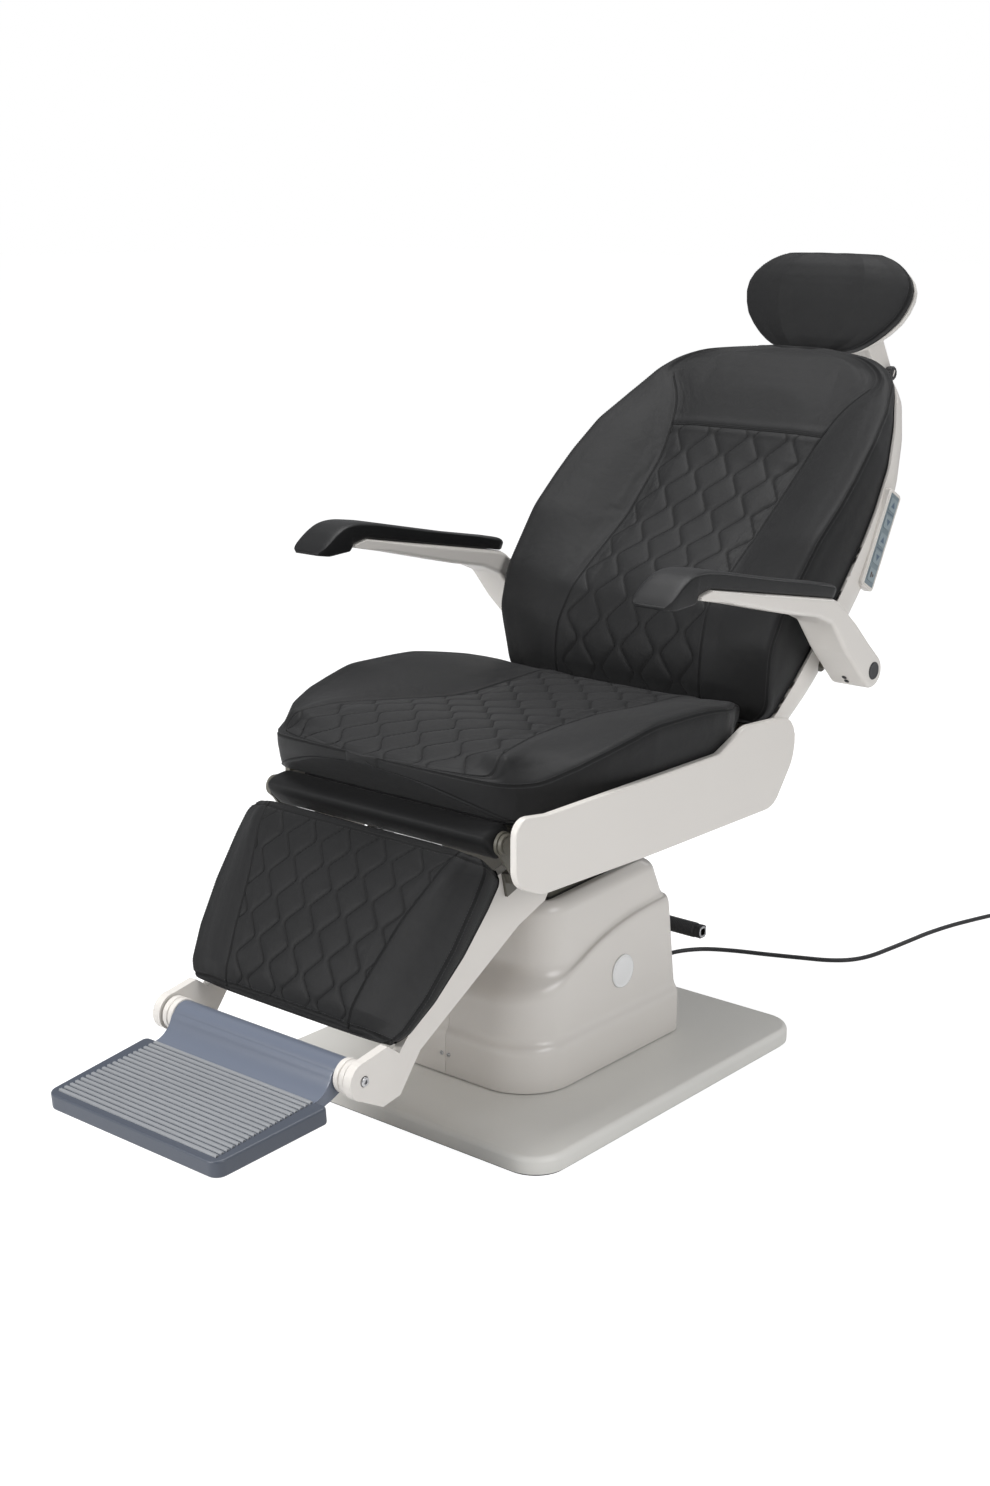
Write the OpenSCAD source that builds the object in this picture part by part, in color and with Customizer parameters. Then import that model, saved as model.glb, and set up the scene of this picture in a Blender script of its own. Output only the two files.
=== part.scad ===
// Ophthalmic examination chair.
// Origin: centre of the base plate on the floor. +Z up, the patient faces -Y, +X is the patient's left.

/* [Base] */
// Width of the base plate
base_w = 600; // [560:5:640]
// Length of the base plate, front to back
base_l = 696; // [680:4:700]
// Thickness of the base plate
base_t = 27; // [22:1:27]
// Corner radius of the base plate
base_corner_r = 55; // [40:5:80]
// Thickness of the rubber mat under the base plate
mat_t = 3; // [2:0.5:3]

/* [Pedestal] */
// Width of the pedestal cover at its skirt
cover_w = 328; // [316:2:336]
// Length of the pedestal cover at its skirt
cover_l = 400; // [392:2:408]
// Wall of the pedestal cover
cover_wall = 3; // [2.5:0.5:4]
// Outer width of the fixed lift column
column_w = 110; // [104:2:120]
// Wall of both lift columns
column_wall = 6; // [5:0.5:7]

/* [Seat] */
// Height of the seat board's top above the floor at the lowest lift
seat_h = 525; // [523:1:540]
// Width of the seat cushion
seat_w = 628; // [600:4:632]
// Length of the seat cushion
seat_l = 623; // [611:2:627]
// Nominal height of the seat cushion, which its profile follows
seat_pad_t = 100; // [90:2:106]
// Thickness of the boards that carry the cushions
board_t = 12; // [9:1:15]
// Thickness of the side plates
side_plate_t = 12; // [9:1:15]
// Radius of the padded knee roll
roll_r = 25; // [22:0.5:26]

/* [Backrest] */
// Lean of the backrest from upright in the photographed pose
back_lean = 38.95; // [37:0.25:41]
// Height of the back cushion
back_h = 726; // [716:2:732]
// Width of the back cushion
back_w = 596; // [580:2:598]
// Nominal thickness of the back cushion, which its profile follows
back_pad_t = 100; // [90:2:104]
// Wall of the backrest shell
shell_wall = 4; // [3:0.5:5]

/* [Headrest] */
// Width of the headrest cushion
head_w = 340; // [320:4:360]
// Height of the headrest cushion
head_h = 182; // [172:2:190]
// Crown of the headrest cushion above its seam
head_crown = 22; // [14:1:28]
// Radius of the clamp knob
head_knob_r = 13; // [11:0.5:16]

/* [Armrests] */
// Width of an armrest
arm_w = 70; // [60:2:76]
// Thickness of the armrest pad
arm_pad_t = 15; // [12:1:17]
// Radius of the armrest pivot stud
arm_stud_r = 10; // [8:0.5:12]

/* [Leg rest] */
// Lean of the leg cushion from upright in the photographed pose
leg_lean = 36.4; // [35:0.25:38]
// Width of the leg cushion
leg_w = 482; // [470:2:488]
// Length of the leg cushion
leg_l = 284; // [276:2:288]
// Thickness of the leg cushion's edge at its top
leg_pad_t = 51; // [44:1:54]
// Thickness of the leg rest arms
leg_arm_t = 14; // [11:0.5:15]

/* [Footrest] */
// Width of the footplate at its rear edge
foot_w = 370; // [360:2:376]
// Length of the footplate, from the pivot to the front edge
foot_l = 250; // [236:2:256]
// Thickness of the footplate
foot_t = 18; // [15:0.5:20]
// Radius of the footrest tube
foot_tube_r = 23; // [21:0.5:25]
// Number of ribs on the footplate
foot_ribs = 19; // [15:1:21]

/* [Control panel] */
// Length of the control panel
panel_l = 172; // [164:1:178]
// Width of the control panel
panel_w = 42; // [40:0.5:46]

/* [Foot lever] */
// Length of the foot bar
lever_bar_l = 264; // [240:4:290]
// Radius of the rubber sleeves on the foot bar
lever_grip_r = 13; // [11:0.5:15]

/* [Power cord] */
// Diameter of the power cord
cord_d = 8; // [7:0.5:8]

/* [Hidden] */
$fn = 48;

// Facets of curved hull children, and the common overrun of cuts
hull_fn = 32;
cut = 1;
// Running clearance of a pin, and the clearance beside soft or flat neighbours
pin_gap = 0.05;
side_gap = 0.3;

// Base
base_edge_r = 9;
mat_inset = 4;
base_top = mat_t + base_t;

// Pedestal cover, from the skirt up: inset of each tier and the heights of its edges
cover_foot_gap = 2;
cover_z0 = base_top + cover_foot_gap;
skirt_h = 68;
ledge_h = 12;
tier2_inset = 7;
tier3_inset = 18;
tier2_front_inset = 10;
tier2_rear_inset = 2;
lip_rear_inset = 22;
tier3_front_inset = 50;
tier3_rear_inset = 27;
cover_front_r = 90;
cover_rear_r = 26;
tier3_front_r = 62;
cover_lip_h = 236;
cover_top_h = 311;
cover_edge_r = 13;
rim_wall = 10;
seal_land = 6;
wall_inset = 5;
wall_front = 7;
wall_rear = 8;
land_inset = 3;
land_front = 5;
cover_gap = 0.4;
cover_seam_x = -13;
// Height of the swept lip of the middle tier along the cover, as shares of its length and height
lip_shares = [[0, 0.62], [0.065, 0.645], [0.13, 0.67], [0.195, 0.71], [0.31, 0.80], [0.42, 0.885],
    [0.54, 0.94], [0.66, 0.98], [0.80, 1], [1, 1]];
// Height of the upper tier's foot in the same shares
foot_shares = [[0, 0.80], [0.13, 0.795], [0.20, 0.785], [0.27, 0.79], [0.35, 0.83], [0.46, 0.90],
    [0.58, 0.955], [0.70, 0.985], [0.88, 1.01], [1, 1.015]];

// Lift: the telescopic columns, the actuator and the cover that rises with the seat
lift_y = -26;
column_top = 385;
inner_col_z0 = 95;
inner_col_gap = 3;
inner_col_top = 392;
head_plate_t = 8;
flange_w = 170;
flange_t = 12;
guide_pad_h = 34;
guide_pad_w = 40;
lift_tube_r = 24;
lift_tube_top = 300;
lift_rod_r = 12;
lift_rod_z0 = 60;
motor_w = 60;
motor_l = 84;
motor_h = 50;
lift_cover_w = 226;
lift_cover_l = 184;
lift_cover_z0 = 105;
lift_cover_chamfer = 26;
lift_cover_wall = 3;
seal_gap = 0.6;
seal_h = 9;
seal_drop = 9;

// Swivel
bearing_r = 75;
bearing_t = 12;
hub_r = 30;
hub_flange_r = 90;
hub_flange_t = 12;
head_plate_top = inner_col_top + head_plate_t;
hub_z = head_plate_top + bearing_t + side_gap;
hub_top = hub_z + hub_flange_t;

// Seat: its length grows forwards from its rear edge, and the knee axis goes with its front edge
seat_rear = 230;
seat_front = seat_rear - seat_l;
knee_back = 48;
knee_y = seat_front + knee_back;
frame_plate_w = 260;
frame_plate_l = 270;
frame_plate_t = 10;
rail_t = 10;
rail_rear = 234;
rail_behind_knee = 95;
rail_front = knee_y + rail_behind_knee;
rail_z0 = 462;
side_plate_in = 8;
side_in = seat_w/2 - side_plate_in;
side_out = side_in + side_plate_t;
board_z = seat_h - board_t;
cross_front_y = -150;
cross_rear_y = 60;
cross_l = 40;
top_bar_behind_knee = 33;
top_bar_y = knee_y + top_bar_behind_knee;
top_bar_l = 36;
lug_t = 6;
lug_in = 229;
roll_half = 222;
knee_z = 500;
knee_tube_r = 12;
knee_tube_half = 236;
lug_r = 16;

// Seat cushion, front edge and the profile tables in shares of its length, half width and height
seat_draw_in = 16;
seat_half_shares = [[0, 0.20], [0.013, 0.36], [0.029, 0.49], [0.053, 0.625], [0.069, 0.688], [0.098, 0.752],
    [0.149, 0.82], [0.23, 0.92], [0.31, 0.965], [0.39, 0.986], [0.47, 1], [0.71, 1], [0.78, 0.99],
    [0.82, 0.965], [0.872, 0.905], [0.952, 0.80], [1, 0.76]];
seat_rear_shares = [[0, 0.55], [0.029, 0.38], [0.069, 0.14], [0.098, 0], [1, 0]];
seat_seam_shares = [[0, 0.75], [0.069, 0.62], [0.149, 0.59], [0.23, 0.81], [0.31, 0.95], [0.39, 1.05],
    [0.47, 1.15], [0.631, 1.13], [0.711, 1.10], [0.791, 1.01], [0.872, 0.92], [0.952, 0.79], [1, 0.68]];
seat_centre_shares = [[0, 0.77], [0.029, 0.84], [0.069, 0.90], [0.149, 0.95], [0.23, 0.96], [0.31, 0.92],
    [0.39, 0.87], [0.47, 0.82], [0.551, 0.77], [0.71, 0.75], [0.79, 0.73], [0.96, 0.73], [1, 0.67]];
seat_inner_shares = [[0, 0.12], [0.029, 0.36], [0.069, 0.56], [0.149, 0.63], [0.23, 0.589], [0.31, 0.529],
    [0.39, 0.481], [0.47, 0.427], [0.551, 0.392], [0.631, 0.376], [0.711, 0.398], [0.791, 0.424], [1, 0.47]];
seat_rows = 26;

// Side plate outline: corner points in the side view, each with its rounding radius
plate_ahead = 34;
plate_behind = 47;
plate_front = seat_front - plate_ahead;
plate_low = 443;
plate_l = seat_l + plate_ahead + plate_behind;
plate_h = 132;
hump_h = 147;
plate_corners_shares = [[0, 0.99, 0.035], [0.10, 0.915, 0.06], [0.685, 0.90, 0.03], [0.79, 1.12, 0.07],
    [1, 1.05, 0.06], [0.985, 0.50, 0.09], [0.91, -0.01, 0.06], [0.45, 0.01, 0.2], [0.08, 0.06, 0.06],
    [0, 0.25, 0.05]];
// The right plate starts further back, where its two front corners are
right_start = 0.315;
right_corners_shares = concat([[right_start, 0.905, 0.04]], [for (i = [2:7]) plate_corners_shares[i]],
    [[right_start*1.1, 0.03, 0.05]]);

// Backrest hinge and frame
back_s0 = 64;
hinge_y = 200;
hinge_z = 528;
ear_in = 274;
ear_t = 12;
ear_r = 30;
ear_boss_r = 24;
hinge_pin_r = 10;
upright_in = 150;
upright_w = 24;
upright_front = -60;
upright_rear = -100;
upright_drop = 190;
upright_top = back_s0 + back_h - upright_drop;
cross_up = 40;
back_cross_r = 14;
back_low_s = 22;
back_low_t = -74;
back_mid_s = 300;
back_top_s = 570;
lever_pin_drop = 73;
lever_x = 55;
lever_plate_t = 12;
lever_pin_r = 7;
lever_pin_l = 34;

// Back cushion along the lean, from its lower edge up
back_half_shares = [[0, 0.82], [0.012, 0.87], [0.029, 0.903], [0.058, 0.913], [0.121, 0.94], [0.219, 0.966],
    [0.285, 0.98], [0.39, 0.993], [0.494, 1], [0.577, 0.993], [0.689, 0.963], [0.796, 0.896],
    [0.887, 0.812], [0.93, 0.735], [0.966, 0.604], [0.985, 0.46], [1, 0.27]];
back_seam_shares = [[0, -0.30], [0.029, -0.12], [0.058, 0.13], [0.121, 0.63], [0.219, 0.84], [0.285, 0.81],
    [0.39, 0.80], [0.494, 0.63], [0.577, 0.50], [0.689, 0.30], [0.796, 0.01], [0.887, -0.19],
    [0.966, -0.36], [1, -0.50]];
back_centre_shares = [[0, -0.25], [0.017, 0.06], [0.06, 0.32], [0.109, 0.54], [0.198, 0.68], [0.293, 0.49],
    [0.44, 0.15], [0.631, -0.11], [0.726, -0.14], [0.843, -0.18], [0.966, -0.27], [1, -0.48]];
back_inner_shares = [[0, 0.50], [0.109, 0.497], [0.198, 0.463], [0.293, 0.46], [0.44, 0.453], [0.631, 0.48],
    [0.726, 0.52], [0.792, 0.567], [0.844, 0.644], [0.883, 0.74], [0.93, 0.66], [0.966, 0.50], [1, 0.2]];
back_rear_shares = [[0, -0.47], [0.86, -0.47], [0.93, -0.53], [1, -0.66]];
back_rows = 28;
back_draw_in = 6;
quilt_x = 80;
quilt_l = 85;
quilt_t = 4;
channel_t = 4;

// Backrest shell: it follows the cushion's outline; depth of its rear and its front edge along the lean
shell_below = 24;
shell_drop = 26;
shell_s0 = back_s0 - shell_below;
shell_s1 = back_s0 + back_h - shell_drop;
shell_depth = 148;
shell_front = 47.5;
shell_inset = 4;
shell_clear = 0.8;
shell_depth_shares = [[0, 0.80], [0.09, 0.87], [0.2, 0.96], [0.38, 1.01], [0.51, 1.03], [0.64, 0.985],
    [0.72, 0.90], [0.81, 0.86], [0.89, 0.81], [0.95, 0.72], [0.98, 0.60], [1, 0.50]];
shell_cols = 20;
shell_rows = 20;
board_gap = 0.3;
board_up = 28;
board_drop = 110;
board_low_s = back_s0 + board_up;
board_top_s = back_s0 + back_h - board_drop;
board_half = 236;
board_corner_r = 60;

// Armrest: pivot on the backrest, and side outlines in shares of its reach
arm_in = 302;
arm_s = 217;
arm_t = -97;
arm_place = back_place(arm_s, arm_t);
arm_reach = 572;
arm_end_r = 29;
arm_low_shares = [[-0.865, 0.332], [-0.712, 0.297], [-0.449, 0.231], [-0.301, 0.199], [-0.227, 0.168],
    [-0.149, 0.075], [-0.04, -0.03]];
arm_high_shares = [[0.04, 0.03], [-0.021, 0.08], [-0.1, 0.152], [-0.196, 0.226], [-0.22, 0.238],
    [-0.28, 0.25], [-0.565, 0.304], [-0.815, 0.351], [-0.865, 0.3405]];
arm_stud_tip = 48;
arm_boss_r = 16;
boss_play = 2;
arm_boss_out = 276;
arm_cap_r = 14.5;
arm_cap_t = 2;
pad_draw_in = 3;
pad_half_shares = [[-1, 0.22], [-0.985, 0.56], [-0.96, 0.84], [-0.93, 0.97], [-0.9, 1], [-0.225, 1],
    [-0.205, 0.86], [-0.19, 0.62]];
pad_top_shares = [[-1, 0.345], [-0.981, 0.376], [-0.941, 0.393], [-0.893, 0.402], [-0.839, 0.4], [-0.769, 0.39],
    [-0.698, 0.376], [-0.393, 0.311], [-0.21, 0.277], [-0.19, 0.262]];
pad_edge_shares = [[-1, 0.334], [-0.914, 0.345], [-0.885, 0.357], [-0.843, 0.372], [-0.78, 0.378],
    [-0.566, 0.336], [-0.332, 0.294], [-0.19, 0.255]];
pad_low_shares = [[-1, 0.325], [-0.96, 0.318], [-0.876, 0.322], [-0.869, 0.3418], [-0.815, 0.352], [-0.565, 0.305],
    [-0.28, 0.251], [-0.22, 0.239], [-0.19, 0.239]];
pad_rows = [-1, -0.985, -0.96, -0.93, -0.9, -0.876, -0.869, -0.84, -0.815, -0.78, -0.7, -0.565, -0.42, -0.28, -0.225,
    -0.205, -0.19];

// Headrest: its post slides in the backrest and carries the cross tube on which the head tilts
post_w = 50;
post_t = 12;
post_below = 10;
post_bend_drop = 55;
post_bend_s = back_s0 + back_h - post_bend_drop;
post_depth = -104;
guide_wall = 5;
guide_l = 150;
guide_drop = 10;
guide_s1 = upright_top - guide_drop;
guide_s0 = guide_s1 - guide_l;
post_s0 = guide_s0 - post_below;
slot_play = 4;
head_pivot_up = 67;
head_pivot_s = back_s0 + back_h + head_pivot_up;
head_pivot_t = -214;
head_pivot = back_place(head_pivot_s, head_pivot_t);
head_bolt_r = 8;
head_cross_r = 14;
head_cross_half = 78;
head_cheek_t = 13;
head_cheek_r = 18;
cheek_low = [-6, -17];
cheek_high = [10, 15];
cheek_end = [17, 0];
head_bolt_end = 6;
head_knob_l = 14;
head_lean = 22;
head_fore = 81.2;
head_up = 125;
head_y = head_pivot[0] - head_fore;
head_z = head_pivot[1] + head_up;
head_side_t = 20;
head_dome_t = 34;
head_rim_inset = 3;
head_draw_in = 4;
head_wall = 4;
head_web_t = 6;
head_half_shares = [[0, 0.24], [0.015, 0.36], [0.05, 0.50], [0.10, 0.60], [0.17, 0.705], [0.26, 0.81],
    [0.37, 0.91], [0.48, 0.965], [0.60, 1], [0.70, 0.99], [0.79, 0.93], [0.87, 0.80], [0.93, 0.64],
    [0.975, 0.46], [1, 0.30]];
head_front_shares = [[0, 0.12], [0.04, 0.40], [0.12, 0.70], [0.25, 0.90], [0.5, 1], [0.75, 0.92],
    [0.88, 0.72], [0.96, 0.42], [1, 0.14]];
head_rows = 16;
head_cols = 16;

// Leg rest: the cushion hangs from the knee axis; depths forward of the axis, lengths up the leg
leg_top_s = -35;
leg_seam_t = 27;
leg_crown = 24;
leg_draw_in = 5;
leg_middle_crown = 4;
leg_low_share = 0.37;
leg_half_shares = [[0, 0.80], [0.025, 0.845], [0.08, 0.895], [0.27, 0.958], [0.53, 0.996], [0.79, 1],
    [0.93, 0.985], [0.97, 0.955], [1, 0.90]];
leg_front_shares = [[0, 0.05], [0.03, 0.35], [0.1, 0.7], [0.3, 0.95], [0.6, 1], [0.85, 0.85], [0.95, 0.5],
    [1, 0.05]];
leg_inner_shares = [[0, 0.515], [0.13, 0.53], [0.32, 0.573], [0.59, 0.643], [0.84, 0.747], [1, 0.80]];
leg_rows = 16;
leg_board_inset = 22;
leg_board_t = 9;
leg_arm_out = 200;
leg_arm_low_share = -0.855;
leg_arm_high_share = -0.16;
leg_arm_shares = [[-0.056, -0.16], [0.006, -0.21],
    [0.098, -0.356], [0.063, -0.463], [-0.063, -0.468], [-0.204, -0.374], [-0.807, -0.109], [-0.987, -0.103],
    [-1.054, -0.037], [-1.074, 0.098], [-1.003, 0.118], [-0.966, 0.182], [-0.855, 0.075]];
leg_reach = 378;
foot_below = 1.4;
foot_s = -leg_reach - foot_below;
foot_t0 = 44.5;
foot_place = leg_place(foot_s, foot_t0);
foot_hub_r = 25;
foot_hub_half = 183;
foot_tube_half = 163;
foot_pin_r = 8;
foot_arm_r = 28;
foot_bolt_r = 12;
foot_bolt_l = 5;
leg_tube_r = 14;
leg_tube_s = -31;
leg_tube_t = -126;
bracket_t = 5;
bracket_in = 223.5;
bracket_r = 18;
leg_lever_x = -55;
leg_pin_y = 40;
leg_pin_z = -50;
leg_lever_r = 12;
lever_root = 4;
lever_pin_over = 2;
bracket_foot = [-28, -68];
bracket_rib = [[-38, -68], [-28, -56], [-18, -66], [-28, -79]];
bracket_plate = [[-54, -84], [-30, -56], [-8, -70], [-20, -108]];

// Motors and their rods; the eye of each rod is a slot in which the lever's pin rides
motor_tube_r = 15;
drive_rod_r = 8;
motor_stop = 25;
eye_t = 12;
eye_wall = 4;
recline_play = 2;
recline_pin_up = 18;
recline_rod_end = -30;
leg_play = 3.2;
leg_pin_up = 12.5;
leg_pin_down = 14.5;
leg_rod_end = -60;
cross_hole_gap = 2;

// Footplate
foot_slope = 4.5;
foot_drop = 17.5;
foot_rear = 56;
neck_arc_r = 40;
neck_foot = 6;
foot_front_inset = 13;
foot_corner_r = 18;
rib_h = 2.5;
rib_share = 0.55;
rib_start = 58;
rib_margin = 10;
rib_side = 12;

// Control panel
panel_s = 448;
panel_t = -86;
panel_turn = 10;
panel_in = 284;
panel_out = 299.5;
panel_corner_r = 7;
membrane_inset = 6;
membrane_t = 2;
key_l = 22;
key_pitch = 31;
key_gap = 0.3;
key_rise = 0.8;
key_depth = 3.2;
key_pocket = 3;

// Foot lever
lever_hinge_y = 228;
lever_hinge_z = 75;
lever_bar_y = 300;
lever_bar_z = 163;
lever_bar_r = 8;
lever_end_r = 10;
lever_end_l = 6;
lever_arm_w = 12;
lever_arm_r = 11;
lever_pivot_r = 5;
lever_lug_t = 6;
lever_grip_start = 20;

// Badge, screws and the control box
badge_r = 27.5;
badge_t = 3;
badge_y = 36;
badge_z = 178;
screw_r = 3.5;
screw_l = 10;
screw_z = 66;
box_w = 100;
box_l = 104;
box_h = 84;
box_x = -148;
box_y = 72;

// Cord: gland, route on the floor, coil and plug
gland_x = -110;
gland_z = 60;
gland_r = 9;
gland_neck_r = 6;
gland_collar_l = 4;
gland_tip_r = 5.5;
gland_tip_y = 232;
gland_inside = 8;
cord_route = [
    [-110, 232, 60], [-110, 246, 60], [-110, 262, 55], [-110, 282, 43], [-110, 300, 36.4], [-110, 320, 34.6],
    [-109, 336, 34.6], [-108, 352, 30.6], [-106, 372, 18], [-104, 392, 7], [-102, 412, 4], [-100, 450, 4],
    [-96, 490, 4], [-90, 528, 4], [-76, 558, 4], [-50, 587, 4], [-6, 612, 4], [50, 635, 4],
    [106, 660, 4], [152, 682, 4], [184, 711, 4], [202, 752, 4], [211, 810, 4], [218, 870, 4],
    [225, 930, 4], [238, 994, 4], [254, 1048, 4], [272, 1100, 4], [292, 1150, 4], [311, 1198, 4],
    [318, 1232, 4], [318, 1250, 4]
];
route_step = 2;
cord_sides = 8;
coil_centre = [266, 1258];
coil_out_r = 52;
coil_pitch_gap = 0.7;
coil_turns = 3;
coil_step_share = 0.17;
coil_tail = 60;
coil_rings = 24;
coil_sides = 6;
plug_l = 46;
plug_neck_l = 22;
pin_l = 19;
plug_pin_r = 2.4;
plug_pin_pitch = 19;

// Colours of the finishes
cover_colour = [0.84, 0.83, 0.81];
base_colour = [0.77, 0.77, 0.75];
leather_colour = [0.16, 0.16, 0.165];
steel_colour = [0.62, 0.63, 0.65];
dark_colour = [0.12, 0.12, 0.12];
olive_colour = [0.36, 0.35, 0.31];
foot_colour = [0.36, 0.42, 0.50];
wood_colour = [0.70, 0.56, 0.38];
membrane_colour = [0.52, 0.60, 0.66];

// Shared shapes

function mix(a, b, k) = a + (b - a)*k;
function flat_list(rows) = [for (row = rows) each row];
function arc_points(c, r, a0, a1, n) = [for (i = [0:n]) let (a = mix(a0, a1, i/n)) [c[0] + r*cos(a), c[1] + r*sin(a)]];

// Rounded polygon: each corner is cut by an arc that touches both of its sides
function unit(v) = v/norm(v);
function corner_arc(a, p, b, r, n) =
    let (u = unit(a - p), v = unit(b - p), half = acos(max(-1, min(1, u*v)))/2,
        c = p + unit(u + v)*r/sin(half),
        d0 = p + u*r/tan(half) - c, d1 = p + v*r/tan(half) - c,
        a0 = atan2(d0[1], d0[0]), turn = atan2(d0[0]*d1[1] - d0[1]*d1[0], d0*d1))
    [for (i = [0:n]) let (w = a0 + turn*i/n) c + r*[cos(w), sin(w)]];
function rounded(pts, radii, n = 6) =
    let (m = len(pts))
    flat_list([for (i = [0:m - 1]) corner_arc(pts[(i + m - 1)%m], pts[i], pts[(i + 1)%m], radii[i], n)]);

// Closed skin through rings of equal length; the first and last ring are closed by a fan about their middle
function middle(ring) = [for (k = [0:2]) sum([for (p = ring) p[k]])/len(ring)];
function sum(v, i = 0) = i == len(v) ? 0 : v[i] + sum(v, i + 1);
module loft(rings) {
    n = len(rings[0]);
    m = len(rings);
    points = concat(flat_list(rings), [middle(rings[0]), middle(rings[m - 1])]);
    low = n*m;
    high = low + 1;
    sides = [for (r = [0:m - 2]) for (i = [0:n - 1]) let (a = r*n + i, b = r*n + (i + 1)%n)
        each [[a, a + n, b], [b, a + n, b + n]]];
    caps = [for (i = [0:n - 1]) let (b = (i + 1)%n, t = (m - 1)*n) each [[low, i, b], [high, t + b, t + i]]];
    polyhedron(points, concat(sides, caps));
}

// Closed band: the last ring joins the first one, as in a shell with an opening at each end
module band(rings) {
    n = len(rings[0]);
    m = len(rings);
    faces = [for (r = [0:m - 1]) for (i = [0:n - 1])
        let (s = (r + 1)%m, a = r*n + i, b = r*n + (i + 1)%n, c = s*n + i, d = s*n + (i + 1)%n)
        each [[a, c, b], [b, c, d]]];
    polyhedron(flat_list(rings), faces);
}

// Profile in the side view, extruded across the chair from x0 to x1
module side_cut(x0, x1, points) {
    translate([x0, 0, 0]) rotate([90, 0, 90]) linear_extrude(x1 - x0) polygon(points);
}
module cross_bar(x0, x1, y, z, r) {
    translate([x0, y, z]) rotate([0, 90, 0]) cylinder(r = r, h = x1 - x0);
}
module span_box(x0, x1, y0, y1, z0, z1) {
    translate([x0, y0, z0]) cube([x1 - x0, y1 - y0, z1 - z0]);
}
module both_sides() {
    children();
    mirror([1, 0, 0]) children();
}

// Places of the leaning groups: local Z runs up the lean, local -Y faces the patient
module at_back() {
    translate([0, hinge_y, hinge_z]) rotate([-back_lean, 0, 0]) children();
}
module at_leg() {
    translate([0, knee_y, knee_z]) rotate([-leg_lean, 0, 0]) children();
}
module at_head() {
    translate([0, head_y, head_z]) rotate([-head_lean, 0, 0]) children();
}
function back_place(s, t) = [hinge_y + s*sin(back_lean) - t*cos(back_lean),
    hinge_z + s*cos(back_lean) + t*sin(back_lean)];
function leg_place(s, t) = [knee_y + s*sin(leg_lean) - t*cos(leg_lean),
    knee_z + s*cos(leg_lean) + t*sin(leg_lean)];

// One cross-section of a sewn cushion as [x, depth] points: flat rear, drawn-in side, piped seam, then the
// bolster, the sewn channel and the quilted middle
bolster_crown = 9;
bolster_shares = [0.15, 0.45, 0.78];
middle_cols = 12;
function quilt(x, p) = quilt_t*abs(cos(180*(x/quilt_x + p/quilt_l))*cos(180*(x/quilt_x - p/quilt_l)));
function bolster(f, c, s, crown) = mix(c, s, f*f*(3 - 2*f)) + 4*crown*f*(1 - f);
function cushion_ring(half, inner, rear, seam, centre, crown, edge, p, draw) =
    let (cols = [for (j = [0:middle_cols]) (1 - 2*j/middle_cols)*inner],
        front = [for (x = cols) let (u = abs(x/inner), fade = 1 - u*u)
            [x, centre + (crown*fade + quilt(x, p)*min(1, 3*fade) - (u > 0.99 ? channel_t : 0))*edge]],
        side = [for (f = bolster_shares) [mix(inner, half, f), bolster(f, centre, seam, bolster_crown*edge)]])
    concat([[-half + draw, rear], [half - draw, rear], [half - draw/2, mix(rear, seam, 0.5)], [half, seam]],
        [for (i = [2:-1:0]) side[i]], front, [for (q = side) [-q[0], q[1]]],
        [[-half, seam], [-half + draw/2, mix(rear, seam, 0.5)]]);

// Thick sheet between an outer and an inner grid of points, closed along all four borders
module sheet(outer, inner) {
    m = len(outer);
    n = len(outer[0]);
    shift = m*n;
    points = concat(flat_list(outer), flat_list(inner));
    skins = [for (r = [0:m - 2]) for (i = [0:n - 2]) let (a = r*n + i, b = a + n)
        each [[a, b, a + 1], [a + 1, b, b + 1], [a + shift, a + 1 + shift, b + shift],
            [a + 1 + shift, b + 1 + shift, b + shift]]];
    ends = [for (i = [0:n - 2]) let (a = i, b = (m - 1)*n + i)
        each [[a, a + 1, a + shift], [a + 1, a + 1 + shift, a + shift],
            [b, b + shift, b + 1], [b + 1, b + shift, b + 1 + shift]]];
    edges = [for (r = [0:m - 2]) let (a = r*n, b = a + n, c = a + n - 1, d = b + n - 1)
        each [[a, a + shift, b], [b, a + shift, b + shift], [c, d, c + shift], [d, d + shift, c + shift]]];
    polyhedron(points, concat(skins, ends, edges));
}

// Pedestal parts

module base_mat() {
    color(dark_colour)
    linear_extrude(mat_t) polygon(rounded([
        [-base_w/2 + mat_inset, -base_l/2 + mat_inset], [base_w/2 - mat_inset, -base_l/2 + mat_inset],
        [base_w/2 - mat_inset, base_l/2 - mat_inset], [-base_w/2 + mat_inset, base_l/2 - mat_inset]],
        [for (i = [0:3]) base_corner_r - mat_inset], 12));
}

// Steel plate with a quarter-round upper edge
module base_plate() {
    color(base_colour)
    hull() for (x = [-1, 1]) for (y = [-1, 1])
        translate([x*(base_w/2 - base_corner_r), y*(base_l/2 - base_corner_r), mat_t])
            rotate_extrude($fn = hull_fn) polygon(concat([[0, 0], [base_corner_r, 0]],
                arc_points([base_corner_r - base_edge_r, base_t - base_edge_r], base_edge_r, 0, 90, 4),
                [[0, base_t]]));
}

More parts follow.
